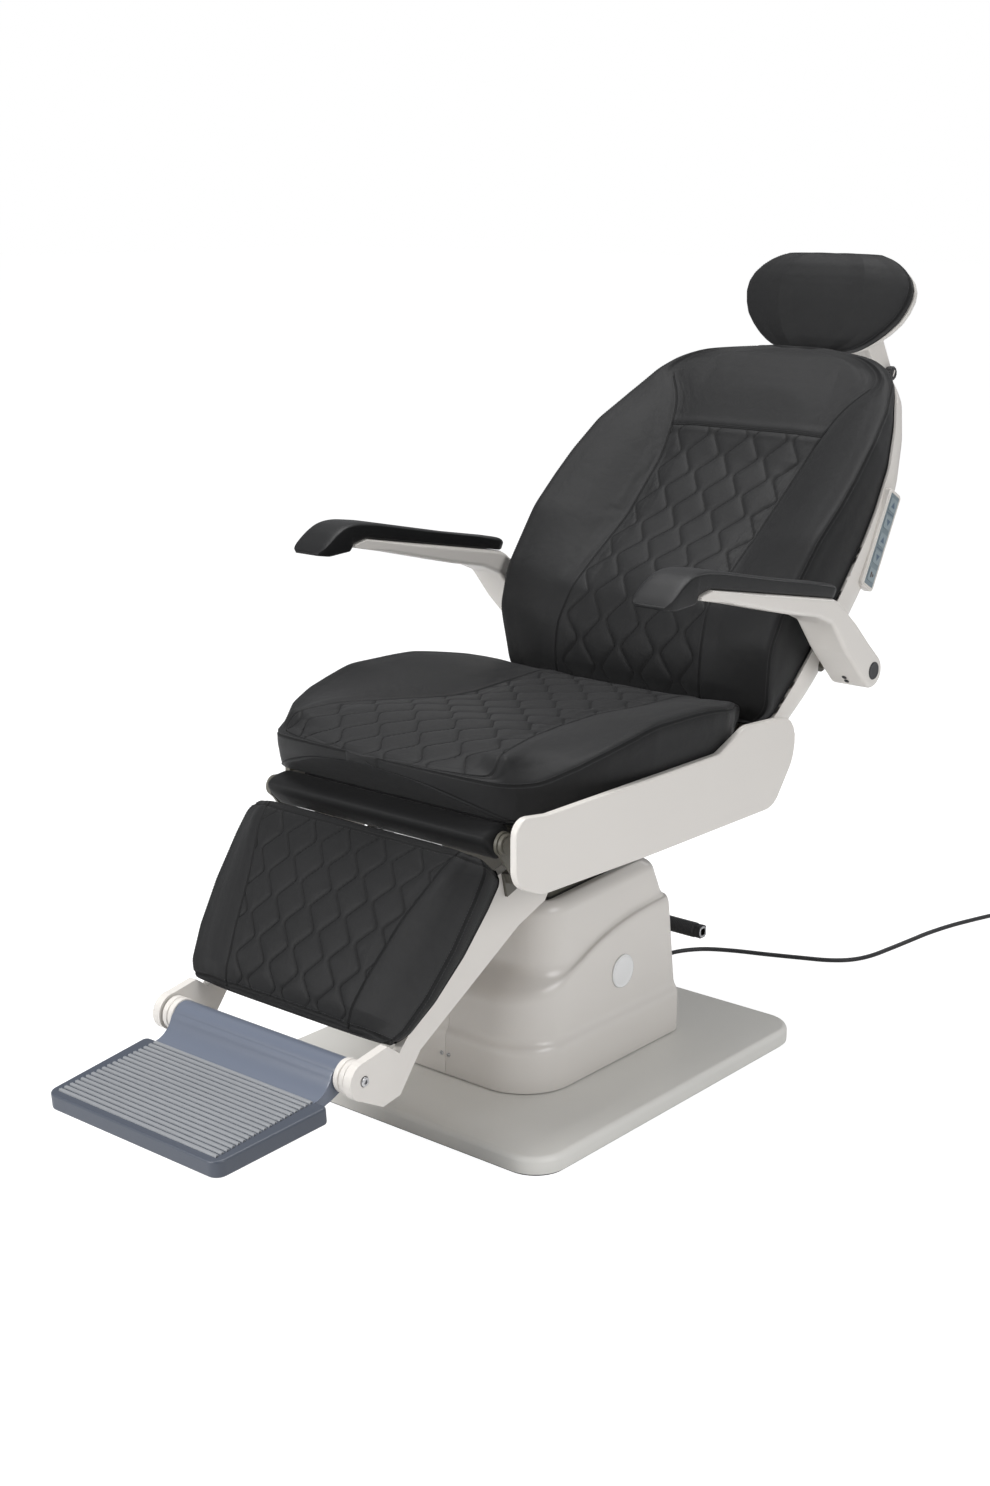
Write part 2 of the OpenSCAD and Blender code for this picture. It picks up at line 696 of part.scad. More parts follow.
// Plan outline of the pedestal cover, with extra points along its sides for the swept lip
function cover_plan(half, y0, y1, rf, rr) = concat(
    arc_points([half - rr, y1 - rr], rr, 0, 90, 4), arc_points([-half + rr, y1 - rr], rr, 90, 180, 4),
    [for (i = [1:8]) [-half, mix(y1 - rr, y0 + rf, i/9)]],
    arc_points([-half + rf, y0 + rf], rf, 180, 270, 8), arc_points([half - rf, y0 + rf], rf, 270, 360, 8),
    [for (i = [1:8]) [half, mix(y0 + rf, y1 - rr, i/9)]]);
function at_height(plan, z) = [for (p = plan) [p[0], p[1], z]];
function along_cover(y) = (y + cover_l/2)/cover_l;
function tier_height(y, shares) = cover_z0 + cover_lip_h*lookup(along_cover(y), shares);
function at_tier(plan, shares, inset = 0) = [for (p = plan) [p[0], p[1], tier_height(p[1], shares) - inset]];
function top_height(y) = cover_z0 + cover_top_h - (1 - along_cover(y))*rim_wall*2;
function at_top(plan, drop) = [for (p = plan) [p[0], p[1], top_height(p[1]) - drop]];
opening_half = lift_cover_w/2 + seal_land;
opening_front = lift_y - lift_cover_l/2 - seal_land;
opening_rear = lift_y + lift_cover_l/2 + seal_land;
function cover_rings(g) =
    let (half = cover_w/2, y0 = -cover_l/2, y1 = cover_l/2,
        skirt = cover_plan(half - g, y0 + g, y1 - g, cover_front_r - g, cover_rear_r - g),
        tier2 = cover_plan(half - tier2_inset - g, y0 + tier2_front_inset + g, y1 - tier2_rear_inset - g,
            cover_front_r - g, cover_rear_r - g),
        lip = cover_plan(half - tier2_inset - g, y0 + tier2_front_inset + g, y1 - lip_rear_inset - g,
            cover_front_r - g, cover_rear_r - g),
        foot = cover_plan(half - tier3_inset - g, y0 + tier3_front_inset + g, y1 - tier3_rear_inset - g,
            tier3_front_r - g, cover_rear_r - g),
        wall = cover_plan(half - tier3_inset - wall_inset - g, y0 + tier3_front_inset + wall_front + g,
            y1 - tier3_rear_inset - cover_edge_r - wall_rear - g, tier3_front_r - g, cover_rear_r - g),
        land = cover_plan(half - tier3_inset - cover_edge_r - land_inset - g,
            y0 + tier3_front_inset + cover_edge_r + land_front + g,
            y1 - tier3_rear_inset - 3*cover_edge_r - g, tier3_front_r - cover_edge_r, cover_rear_r))
    [at_height(skirt, cover_z0), at_height(skirt, cover_z0 + skirt_h),
        at_height(tier2, cover_z0 + skirt_h + ledge_h - g),
        at_tier(lip, lip_shares, g), at_tier(foot, foot_shares, g), at_top(wall, cover_edge_r),
        at_top(land, g)];
opening_plan = cover_plan(opening_half, opening_front, opening_rear, lift_cover_chamfer, lift_cover_chamfer);
module cover_shell() {
    outside = cover_rings(0);
    inside = cover_rings(cover_wall);
    band(concat(outside, [at_top(opening_plan, 0), at_top(opening_plan, cover_wall)],
        [for (i = [len(inside) - 1:-1:0]) inside[i]]));
}
module cover_half(x0, x1) {
    color(cover_colour)
    intersection() {
        cover_shell();
        span_box(x0, x1, -cover_l, cover_l, 0, 2*cover_top_h);
    }
}
module cover_left() {
    cover_half(cover_seam_x + cover_gap/2, cover_w);
}
module cover_right() {
    difference() {
        cover_half(-cover_w, cover_seam_x - cover_gap/2);
        gland_body(side_gap/3, cover_l/2 - 2*gland_inside, cover_l/2 + gland_inside);
    }
}

// Trim of the cover: round-head screws that close the two halves at the front and the rear, and a blank disc
module cover_trim() {
    color(steel_colour) {
        for (x = [-2, 2]) for (y = [-1, 1])
            translate([cover_seam_x + x*screw_r*2, y*(cover_l/2 + screw_r/2 + side_gap), screw_z])
                rotate([90*y, 0, 0]) cylinder(r = screw_r, h = screw_r/2);
        translate([cover_w/2 - tier2_inset + side_gap/3, badge_y, badge_z])
            rotate([0, 90, 0]) cylinder(r = badge_r, h = badge_t);
    }
}

// Lift column: fixed square tube on a flange, and the plastic pads that guide the moving one
module square_tube(w, wall, z0, z1) {
    difference() {
        span_box(-w/2, w/2, lift_y - w/2, lift_y + w/2, z0, z1);
        span_box(-w/2 + wall, w/2 - wall, lift_y - w/2 + wall, lift_y + w/2 - wall, z0 - cut, z1 + cut);
    }
}
inner_w = column_w - 2*column_wall - 2*inner_col_gap;
module outer_column() {
    color(steel_colour)
    difference() {
        union() {
            square_tube(column_w, column_wall, base_top, column_top);
            difference() {
                span_box(-flange_w/2, flange_w/2, lift_y - flange_w/2, lift_y + flange_w/2, base_top, base_top + flange_t);
                span_box(-column_w/2, column_w/2, lift_y - column_w/2, lift_y + column_w/2, base_top - cut, column_top);
            }
        }
        span_box(-motor_w/2 - cut, motor_w/2 + cut, lift_y, lift_y + flange_w, base_top - cut, base_top + motor_h + 4*cut);
    }
}
module guide_pads() {
    color(dark_colour)
    for (a = [0:90:270]) translate([0, lift_y, 0]) rotate([0, 0, a])
        span_box(inner_w/2 + pin_gap, column_w/2 - column_wall, -guide_pad_w/2, guide_pad_w/2,
            column_top - guide_pad_h, column_top);
}
module lift_actuator() {
    color(steel_colour)
    difference() {
        union() {
            translate([0, lift_y, base_top]) cylinder(r = lift_tube_r, h = lift_tube_top - base_top);
            span_box(-motor_w/2, motor_w/2, lift_y, lift_y + motor_l, base_top, base_top + motor_h);
        }
        translate([0, lift_y, lift_rod_z0 - 2*cut]) cylinder(r = lift_rod_r + pin_gap, h = lift_tube_top);
    }
}
module inner_column() {
    color(steel_colour)
    union() {
        square_tube(inner_w, column_wall, inner_col_z0, inner_col_top);
        span_box(-lift_cover_w/2 + lift_cover_wall + side_gap, lift_cover_w/2 - lift_cover_wall - side_gap,
            lift_y - lift_cover_l/2 + lift_cover_chamfer + lift_cover_wall,
            lift_y + lift_cover_l/2 - lift_cover_chamfer - lift_cover_wall,
            inner_col_top, head_plate_top);
    }
}
module lift_rod() {
    color(steel_colour)
    translate([0, lift_y, lift_rod_z0]) cylinder(r = lift_rod_r, h = inner_col_top - lift_rod_z0);
}

// Cover that rises with the seat, an octagonal sleeve that slides through the pedestal's opening
function octagon(w, l, c) = [[-w/2, -l/2 + c], [-w/2 + c, -l/2], [w/2 - c, -l/2], [w/2, -l/2 + c],
    [w/2, l/2 - c], [w/2 - c, l/2], [-w/2 + c, l/2], [-w/2, l/2 - c]];
module lift_cover() {
    color(olive_colour)
    translate([0, lift_y, lift_cover_z0]) linear_extrude(head_plate_top - lift_cover_z0) difference() {
        polygon(octagon(lift_cover_w, lift_cover_l, lift_cover_chamfer));
        polygon(octagon(lift_cover_w - 2*lift_cover_wall, lift_cover_l - 2*lift_cover_wall,
            lift_cover_chamfer - 0.6*lift_cover_wall));
    }
}
module rim_seal() {
    y0 = opening_front - rim_wall;
    y1 = opening_rear + rim_wall;
    color(dark_colour)
    intersection() {
        linear_extrude(2*cover_top_h) difference() {
            polygon(cover_plan(opening_half - side_gap, opening_front + side_gap, opening_rear - side_gap,
                lift_cover_chamfer, lift_cover_chamfer));
            translate([0, lift_y]) polygon(octagon(lift_cover_w + 2*seal_gap, lift_cover_l + 2*seal_gap,
                lift_cover_chamfer));
        }
        side_cut(-cover_w, cover_w, [[y0, top_height(y0) - seal_h], [y1, top_height(y1) - seal_h],
            [y1, top_height(y1)], [y0, top_height(y0)]]);
    }
}
module control_box() {
    color(dark_colour)
    span_box(box_x, box_x + box_w, box_y, box_y + box_l, base_top, base_top + box_h);
}

// Swivel
module bearing_ring() {
    color(steel_colour)
    translate([0, lift_y, head_plate_top]) difference() {
        cylinder(r = bearing_r, h = bearing_t);
        translate([0, 0, -cut]) cylinder(r = hub_r + pin_gap, h = bearing_t + 2*cut);
    }
}
module swivel_hub() {
    color(steel_colour)
    translate([0, lift_y, 0]) union() {
        translate([0, 0, head_plate_top + side_gap]) cylinder(r = hub_r, h = hub_top - head_plate_top - side_gap);
        translate([0, 0, hub_z]) cylinder(r = hub_flange_r, h = hub_flange_t);
    }
}

// Seat

// Welded frame: base plate, two cross members, the side rails, the front bar with the knee lugs and the
// studs on which the backrest turns
board_roll_gap = 6;
board_rear_inset = 20;
cross_z = hub_top + frame_plate_t;
rail_in = side_in - rail_t;
module seat_frame() {
    color(olive_colour)
    difference() {
        union() {
            span_box(-frame_plate_w/2, frame_plate_w/2, lift_y - frame_plate_l/2, lift_y + frame_plate_l/2, hub_top, cross_z);
            span_box(-rail_in, rail_in, cross_front_y, cross_front_y + cross_l, cross_z, cross_z + 1.2*cross_l);
            span_box(-rail_in, rail_in, cross_rear_y, cross_rear_y + cross_l, cross_z, board_z);
            span_box(-lug_in - cut, lug_in + cut, top_bar_y, top_bar_y + top_bar_l, board_z - lug_t, board_z);
            both_sides() {
                span_box(rail_in, side_in, rail_front, rail_rear, rail_z0, board_z);
                side_cut(rail_in, side_in, [[cross_rear_y, rail_z0], [hinge_y + ear_r, rail_z0],
                    [hinge_y + ear_r, hinge_z], [cross_rear_y + 2*cross_l, hinge_z]]);
                cross_bar(rail_in, side_in, hinge_y, hinge_z, ear_r);
                cross_bar(ear_in - 2*cut, rail_in + cut, hinge_y, hinge_z, hinge_pin_r);
                side_cut(lug_in, lug_in + lug_t, [[knee_y, knee_z - lug_r], [cross_front_y + cut, cross_z + cross_l],
                    [cross_front_y + cut, board_z], [top_bar_y, board_z], [knee_y - lug_r, knee_z]]);
                cross_bar(lug_in, lug_in + lug_t, knee_y, knee_z, lug_r);
            }
        }
        both_sides() cross_bar(lug_in - cut, lug_in + lug_t + cut, knee_y, knee_z, knee_tube_r);
        rod_along(leg_lever_x, cross_front_y - cut, cross_front_y + cross_l + cut, leg_pin_place[1],
            drive_rod_r + cross_hole_gap);
        rod_along(lever_x, cross_rear_y - cut, cross_rear_y + cross_l + cut, recline_pin_z,
            drive_rod_r + cross_hole_gap);
    }
}
seat_board_front = knee_y + roll_r + board_roll_gap;
seat_board_rear = seat_front + seat_l - board_rear_inset;
module seat_board() {
    color(wood_colour)
    translate([0, 0, board_z]) linear_extrude(board_t - side_gap) polygon(rounded([
        [-rail_in*0.74, seat_board_front], [rail_in*0.74, seat_board_front],
        [rail_in*0.8, seat_board_rear], [-rail_in*0.8, seat_board_rear]], [for (i = [0:3]) cross_l], 6));
}
function seat_ring(k) =
    let (p = seat_front + k*seat_l, h = seat_pad_t, w = seat_w/2,
        edge = min(1, min(k, 1 - k)*12),
        ring = cushion_ring(w*lookup(k, seat_half_shares), w*lookup(k, seat_inner_shares),
            h*lookup(k, seat_rear_shares), h*lookup(k, seat_seam_shares), h*lookup(k, seat_centre_shares), 0,
            edge, p, seat_draw_in))
    [for (q = ring) [q[0], p, seat_h + q[1]]];
function row_shares(n) = [for (i = [0:n]) let (t = i/n) (1 - cos(180*t))/2*0.35 + t*0.65];
module seat_cushion() {
    color(leather_colour)
    loft([for (k = row_shares(seat_rows)) seat_ring(k)]);
}
function plate_outline(corners) =
    let (pts = [for (c = corners) [plate_front + c[0]*plate_l, plate_low + c[1]*plate_h]],
        radii = [for (c = corners) c[2]*plate_l])
    rounded(pts, radii, 5);
module side_plate_left() {
    color(cover_colour) side_cut(side_in, side_out, plate_outline(plate_corners_shares));
}
module side_plate_right() {
    color(cover_colour) mirror([1, 0, 0]) side_cut(side_in, side_out, plate_outline(right_corners_shares));
}
module hinge_tube() {
    color(steel_colour) cross_bar(-knee_tube_half, knee_tube_half, knee_y, knee_z, knee_tube_r);
}
module knee_roll() {
    color(leather_colour)
    difference() {
        cross_bar(-roll_half, roll_half, knee_y, knee_z, roll_r);
        cross_bar(-roll_half - cut, roll_half + cut, knee_y, knee_z, knee_tube_r);
    }
}

// Linear motors under the seat: one pushes the backrest's lever, the other the leg rest's lever
recline_pin_z = hinge_z - lever_pin_drop;
leg_pin_place = [knee_y + leg_pin_y, knee_z + leg_pin_z];
motor_front = cross_front_y + cross_l;
motor_rear = cross_rear_y;
module rod_along(x, y0, y1, z, r) {
    translate([x, y0, z]) rotate([-90, 0, 0]) cylinder(r = r, h = y1 - y0);
}
module recline_motor() {
    color(dark_colour)
    difference() {
        rod_along(lever_x, motor_front, motor_rear, recline_pin_z, motor_tube_r);
        rod_along(lever_x, recline_rod_end - 2*motor_stop, motor_rear + cut, recline_pin_z, drive_rod_r + pin_gap);
    }
}
module leg_motor() {
    color(dark_colour)
    difference() {
        rod_along(leg_lever_x, motor_front, motor_rear, leg_pin_place[1], motor_tube_r);
        rod_along(leg_lever_x, motor_front - cut, leg_rod_end + motor_stop, leg_pin_place[1], drive_rod_r + pin_gap);
    }
}

// Flat eye with an upright slot for the lever's pin
module slotted_eye(x, y, z, half_l, up, down) {
    difference() {
        span_box(x - eye_t/2, x + eye_t/2, y - half_l - eye_wall, y + half_l + eye_wall, z - down - eye_wall, z + up + eye_wall);
        span_box(x - eye_t, x + eye_t, y - half_l, y + half_l, z - down, z + up);
    }
}
module recline_rod() {
    half_l = lever_pin_r + recline_play;
    color(steel_colour)
    union() {
        rod_along(lever_x, recline_rod_end, hinge_y - half_l, recline_pin_z, drive_rod_r);
        slotted_eye(lever_x, hinge_y, recline_pin_z, half_l, lever_pin_r + recline_pin_up, lever_pin_r + recline_play);
    }
}
module leg_rod() {
    half_l = lever_pin_r + leg_play;
    color(steel_colour)
    union() {
        rod_along(leg_lever_x, leg_pin_place[0] + half_l, leg_rod_end, leg_pin_place[1], drive_rod_r);
        slotted_eye(leg_lever_x, leg_pin_place[0], leg_pin_place[1], half_l, lever_pin_r + leg_pin_up,
            lever_pin_r + leg_pin_down);
    }
}

// Leg rest

function leg_points(shares) = [for (p = shares) leg_place(p[0]*leg_reach, p[1]*leg_reach)];
function leg_rear(k) = leg_seam_t - mix(leg_low_share, 1, k)*leg_pad_t;
function behind_board(s) = leg_place(s, leg_rear((s - leg_top_s)/leg_l + 1) - leg_board_t - 2*side_gap);
module leg_arm() {
    difference() {
        union() {
            side_cut(leg_arm_out - leg_arm_t, leg_arm_out, concat(leg_points(leg_arm_shares),
                [for (share = [leg_arm_low_share, leg_arm_high_share]) behind_board(share*leg_reach)]));
            cross_bar(leg_arm_out - leg_arm_t, leg_arm_out, foot_place[0], foot_place[1], foot_arm_r);
        }
        cross_bar(leg_arm_out - 2*leg_arm_t, leg_arm_out + leg_arm_t, foot_place[0], foot_place[1], foot_pin_r + pin_gap);
    }
}
module leg_arm_left() {
    color(cover_colour) leg_arm();
}
module leg_arm_right() {
    color(cover_colour) mirror([1, 0, 0]) leg_arm();
}

// Tube between the two arms, with the lever and the pin that ride in the leg motor's eye
leg_tube_place = leg_place(leg_tube_s, leg_tube_t);
strap_share = 0.94;
module strap(x0, x1, a, ra, b, rb) {
    along = b - a;
    side = [-along[1], along[0]]/norm(along)*strap_share;
    cross_bar(x0, x1, a[0], a[1], ra);
    cross_bar(x0, x1, b[0], b[1], rb);
    side_cut(x0, x1, [a + side*ra, b + side*rb, b - side*rb, a - side*ra]);
}
module leg_tube() {
    lever_in = leg_lever_x + drive_rod_r + side_gap;
    color(steel_colour)
    union() {
        cross_bar(-leg_arm_out + leg_arm_t, leg_arm_out - leg_arm_t, leg_tube_place[0], leg_tube_place[1], leg_tube_r);
        strap(lever_in, lever_in + lever_plate_t, leg_tube_place, leg_tube_r + lever_root, leg_pin_place, leg_lever_r);
        cross_bar(leg_lever_x - eye_t/2 - lever_pin_over, lever_in + cut, leg_pin_place[0], leg_pin_place[1], lever_pin_r);
    }
}
module leg_board() {
    s0 = leg_top_s - leg_l + leg_board_inset;
    s1 = leg_top_s - leg_board_inset;
    k0 = leg_board_inset/leg_l;
    t0 = leg_rear(k0) - side_gap;
    t1 = leg_rear(1 - k0) - side_gap;
    half = leg_w*0.4;
    color(wood_colour)
    side_cut(-half, half, [leg_place(s0, t0), leg_place(s1, t1), leg_place(s1, t1 - leg_board_t),
        leg_place(s0, t0 - leg_board_t)]);
}
function leg_ring(k) =
    let (s = leg_top_s - leg_l + k*leg_l, w = leg_w/2, edge = lookup(k, leg_front_shares),
        ring = cushion_ring(w*lookup(k, leg_half_shares), w*lookup(k, leg_inner_shares), leg_rear(k),
            leg_seam_t, leg_seam_t + leg_crown*edge, leg_middle_crown, edge, s, leg_draw_in))
    [for (q = ring) let (p = leg_place(s, q[1])) [q[0], p[0], p[1]]];
module leg_cushion() {
    color(leather_colour)
    loft([for (i = [0:leg_rows]) leg_ring(i/leg_rows)]);
}

// Angle brackets between the knee tube and the outside of the arms
module leg_brackets() {
    color(olive_colour)
    both_sides() difference() {
        union() {
            strap(bracket_in, bracket_in + bracket_t, [knee_y, knee_z], bracket_r,
                leg_place(bracket_foot[0], bracket_foot[1]), bracket_r/2);
            side_cut(leg_arm_out, bracket_in + cut, [for (p = bracket_rib) leg_place(p[0], p[1])]);
            side_cut(leg_arm_out, leg_arm_out + bracket_t, [for (p = bracket_plate) leg_place(p[0], p[1])]);
        }
        cross_bar(bracket_in - cut, bracket_in + bracket_t + cut, knee_y, knee_z, knee_tube_r + pin_gap);
    }
}

// Footrest: hubs with the pivot bolts, and the ribbed plate on its tube
module foot_hubs() {
    color(steel_colour)
    both_sides() {
        cross_bar(foot_tube_half, foot_hub_half, foot_place[0], foot_place[1], foot_hub_r);
        cross_bar(foot_hub_half - cut, leg_arm_out + side_gap, foot_place[0], foot_place[1], foot_pin_r);
        cross_bar(leg_arm_out + side_gap, leg_arm_out + side_gap + foot_bolt_l, foot_place[0], foot_place[1], foot_bolt_r);
    }
}
module at_foot() {
    translate([0, foot_place[0], foot_place[1]]) rotate([foot_slope, 0, 0]) children();
}
module footplate() {
    half = foot_w/2;
    front_half = half - foot_front_inset;
    pitch = (foot_l - rib_start - rib_margin)/foot_ribs;
    arc_y = -foot_rear - neck_foot;
    color(foot_colour)
    at_foot() union() {
        cross_bar(-foot_tube_half, foot_tube_half, 0, 0, foot_tube_r);
        side_cut(-foot_tube_half, foot_tube_half, concat([[0, -foot_tube_r], [0, 0], [-foot_tube_r*0.9, foot_tube_r*0.4]],
            arc_points([arc_y, neck_arc_r - foot_drop], neck_arc_r, -14, -90, 6),
            [[arc_y - cut, -foot_drop - foot_t], [arc_y, -foot_drop - foot_t]]));
        translate([0, 0, -foot_drop - foot_t]) linear_extrude(foot_t) polygon(rounded([
            [-half, -foot_rear], [-front_half, -foot_l], [front_half, -foot_l], [half, -foot_rear]],
            [foot_corner_r/2, foot_corner_r, foot_corner_r, foot_corner_r/2], 6));
        for (i = [0:foot_ribs - 1]) let (y = -rib_start - (i + 0.5)*pitch)
            span_box(-front_half + rib_side, front_half - rib_side, y - pitch*rib_share/2, y + pitch*rib_share/2,
                -foot_drop - cut, -foot_drop + rib_h);
    }
}

// Backrest

function stand(p) = [-p[1], p[0]];
module back_cut(x0, x1, points) {
    at_back() side_cut(x0, x1, [for (p = points) stand(p)]);
}
lever_pin_s = -lever_pin_drop*cos(back_lean);
lever_pin_t = -lever_pin_drop*sin(back_lean);
module back_frame() {
    low = stand([back_low_s, back_low_t]);
    pin = stand([lever_pin_s, lever_pin_t]);
    lever_in = lever_x - drive_rod_r - side_gap - lever_plate_t;
    up_out = upright_in + upright_w;
    color(olive_colour)
    at_back() difference() {
        union() {
            both_sides() {
                strap(ear_in, ear_in + ear_t, [0, 0], ear_boss_r, low, back_cross_r + lever_root);
                side_cut(upright_in, up_out, [for (p = [[back_low_s, upright_front], [upright_top, upright_front],
                    [upright_top, upright_rear], [back_low_s, upright_rear]]) stand(p)]);
                cross_bar(up_out - cut, arm_boss_out, -arm_t, arm_s, arm_boss_r);
                cross_bar(arm_boss_out - cut, arm_in + arm_stud_tip, -arm_t, arm_s, arm_stud_r);
            }
            cross_bar(-ear_in - cut, ear_in + cut, low[0], low[1], back_cross_r);
            for (s = [arm_s + cross_up, guide_s0 + cross_up/2, upright_top - post_w])
                span_box(-upright_in - cut, upright_in + cut, -upright_front, -post_depth - post_t/2 - guide_wall + cut,
                    s, s + 2*back_cross_r);
            span_box(-post_w/2 - guide_wall, post_w/2 + guide_wall, -post_depth - post_t/2 - guide_wall,
                -post_depth + post_t/2 + guide_wall, guide_s0, guide_s1);
            strap(lever_in, lever_in + lever_plate_t, low, back_cross_r + lever_root, pin, leg_lever_r);
            cross_bar(lever_in + cut, lever_x + eye_t/2 + lever_pin_over, pin[0], pin[1], lever_pin_r);
        }
        span_box(-post_w/2 - pin_gap, post_w/2 + pin_gap, -post_depth - post_t/2 - pin_gap,
            -post_depth + post_t/2 + pin_gap, post_s0 - cut, guide_s1 + cut);
        both_sides() cross_bar(ear_in - cut, ear_in + ear_t + cut, 0, 0, hinge_pin_r + pin_gap);
    }
}
back_rear_t = -back_pad_t*0.47;
module back_board() {
    color(wood_colour)
    at_back() translate([0, -back_rear_t + board_gap, 0]) rotate([90, 0, 0]) mirror([0, 0, 1])
        linear_extrude(board_t) polygon(rounded([[-board_half, board_low_s], [board_half, board_low_s],
            [board_half*0.9, board_top_s], [-board_half*0.9, board_top_s]],
            [board_corner_r/2, board_corner_r/2, board_corner_r, board_corner_r], 8));
}
function back_ring(k) =
    let (s = back_s0 + k*back_h, w = back_w/2, d = back_pad_t, edge = min(1, min(k, 1 - k)*14),
        ring = cushion_ring(w*lookup(k, back_half_shares), w*lookup(k, back_inner_shares),
            d*lookup(k, back_rear_shares), d*lookup(k, back_seam_shares), d*lookup(k, back_centre_shares), 0,
            edge, s, back_draw_in))
    [for (q = ring) let (p = back_place(s, q[1])) [q[0], p[0], p[1]]];
module back_cushion() {
    color(leather_colour)
    loft([for (k = row_shares(back_rows)) back_ring(k)]);
}

// Rounded half-box: side walls that turn into a flat rear through large corners
function shell_row(s, half, front, depth) = [for (i = [0:shell_cols]) let (w = 180*i/shell_cols,
    c = cos(w), x = half*sign(c)*sqrt(abs(c)), t = front + (depth - front)*sqrt(sin(w)),
    p = back_place(s, -t)) [x, p[0], p[1]]];
function shell_share(s) = (s - shell_s0)/(shell_s1 - shell_s0);
function shell_grid(g) = [for (i = [0:shell_rows + 1]) let (k = min(1, i/shell_rows),
    s = min(mix(shell_s0, shell_s1, k), shell_s1 - g),
    half = back_w/2*lookup((s - back_s0)/back_h, back_half_shares) - shell_inset - g,
    front = max(shell_front, shell_clear - back_pad_t*lookup((s - back_s0)/back_h, back_rear_shares)),
    depth = i > shell_rows ? front + cut : shell_depth*lookup(shell_share(s), shell_depth_shares) - g)
    shell_row(s, half, front, depth)];
module panel_window(x0, x1, margin) {
    at_panel() translate([x0, 0, 0]) rotate([90, 0, 90]) linear_extrude(x1 - x0)
        polygon(rounded([for (c = [[-1, -1], [1, -1], [1, 1], [-1, 1]])
            [c[0]*(panel_w/2 + margin), c[1]*(panel_l/2 + margin)]], [for (i = [0:3]) panel_corner_r + margin], 5));
}
module at_panel() {
    at_back() translate([0, -panel_t, panel_s]) rotate([panel_turn, 0, 0]) children();
}
module back_shell() {
    color(cover_colour)
    difference() {
        sheet(shell_grid(0), shell_grid(shell_wall));
        both_sides() cross_bar(arm_boss_out - 6*shell_wall, arm_in, arm_place[0], arm_place[1], arm_boss_r + boss_play);
        panel_window(panel_in - 4*shell_wall, panel_out, side_gap);
        at_back() span_box(-post_w/2 - slot_play, post_w/2 + slot_play, -post_depth - post_t, shell_depth,
            upright_top + post_w, shell_s1 + post_w);
    }
}
recess = membrane_t + side_gap;
module key_cuts(x0, x1, margin) {
    for (i = [-2:2]) at_panel() translate([0, 0, i*key_pitch])
        span_box(x0, x1, -key_l/2 - margin, key_l/2 + margin, -key_l/2 - margin, key_l/2 + margin);
}
module panel_bezel() {
    color(cover_colour)
    difference() {
        panel_window(panel_in, panel_out, 0);
        panel_window(panel_out - membrane_t, panel_out + cut, -membrane_inset);
        key_cuts(panel_out - membrane_t - key_pocket, panel_out, key_gap);
    }
}
module panel_membrane() {
    color(membrane_colour)
    difference() {
        panel_window(panel_out - membrane_t, panel_out - membrane_t/4, -membrane_inset - side_gap);
        key_cuts(panel_in, panel_out + cut, key_gap);
    }
}
module panel_key(i) {
    color(cover_colour)
    at_panel() translate([0, 0, i*key_pitch])
        span_box(panel_out + key_rise - key_depth, panel_out + key_rise, -key_l/2, key_l/2, -key_l/2, key_l/2);
}
module key_back_up() {
    panel_key(2);
}
module key_back_down() {
    panel_key(1);
}
module key_seat_up() {
    panel_key(0);
}
module key_seat_down() {
    panel_key(-1);
}
module key_reset() {
    panel_key(-2);
}

// Headrest

post_end = [head_pivot_s, head_pivot_t];
module headrest_post() {
    bend = [post_bend_s, post_depth];
    run = unit(post_end - bend);
    side = [-run[1], run[0]]*post_t/2;
    color(steel_colour)
    difference() {
        union() {
            at_back() span_box(-post_w/2, post_w/2, -post_depth - post_t/2, -post_depth + post_t/2, post_s0, post_bend_s);
            back_cut(-post_w/2, post_w/2, [bend - side, bend + side, post_end + side, post_end - side]);
            at_back() cross_bar(-post_w/2, post_w/2, -post_depth, post_bend_s, post_t/2);
            cross_bar(-head_cross_half, head_cross_half, head_pivot[0], head_pivot[1], head_cross_r);
        }
        cross_bar(-head_cross_half - cut, head_cross_half + cut, head_pivot[0], head_pivot[1], head_bolt_r + pin_gap);
    }
}
function head_row(k, g) =
    let (s = mix(-head_h/2 + head_rim_inset + g, head_h/2 - head_rim_inset - g, k),
        half = head_w/2*lookup(k, head_half_shares) - head_rim_inset - g,
        deep = head_side_t + (head_dome_t - g)*lookup(k, head_front_shares))
    [for (i = [0:head_cols]) let (w = 180*i/head_cols) [half*cos(w), deep*pow(sin(w), 0.6)
        + head_side_t*(1 - pow(sin(w), 0.6)), s]];
head_in = head_cross_half + side_gap;
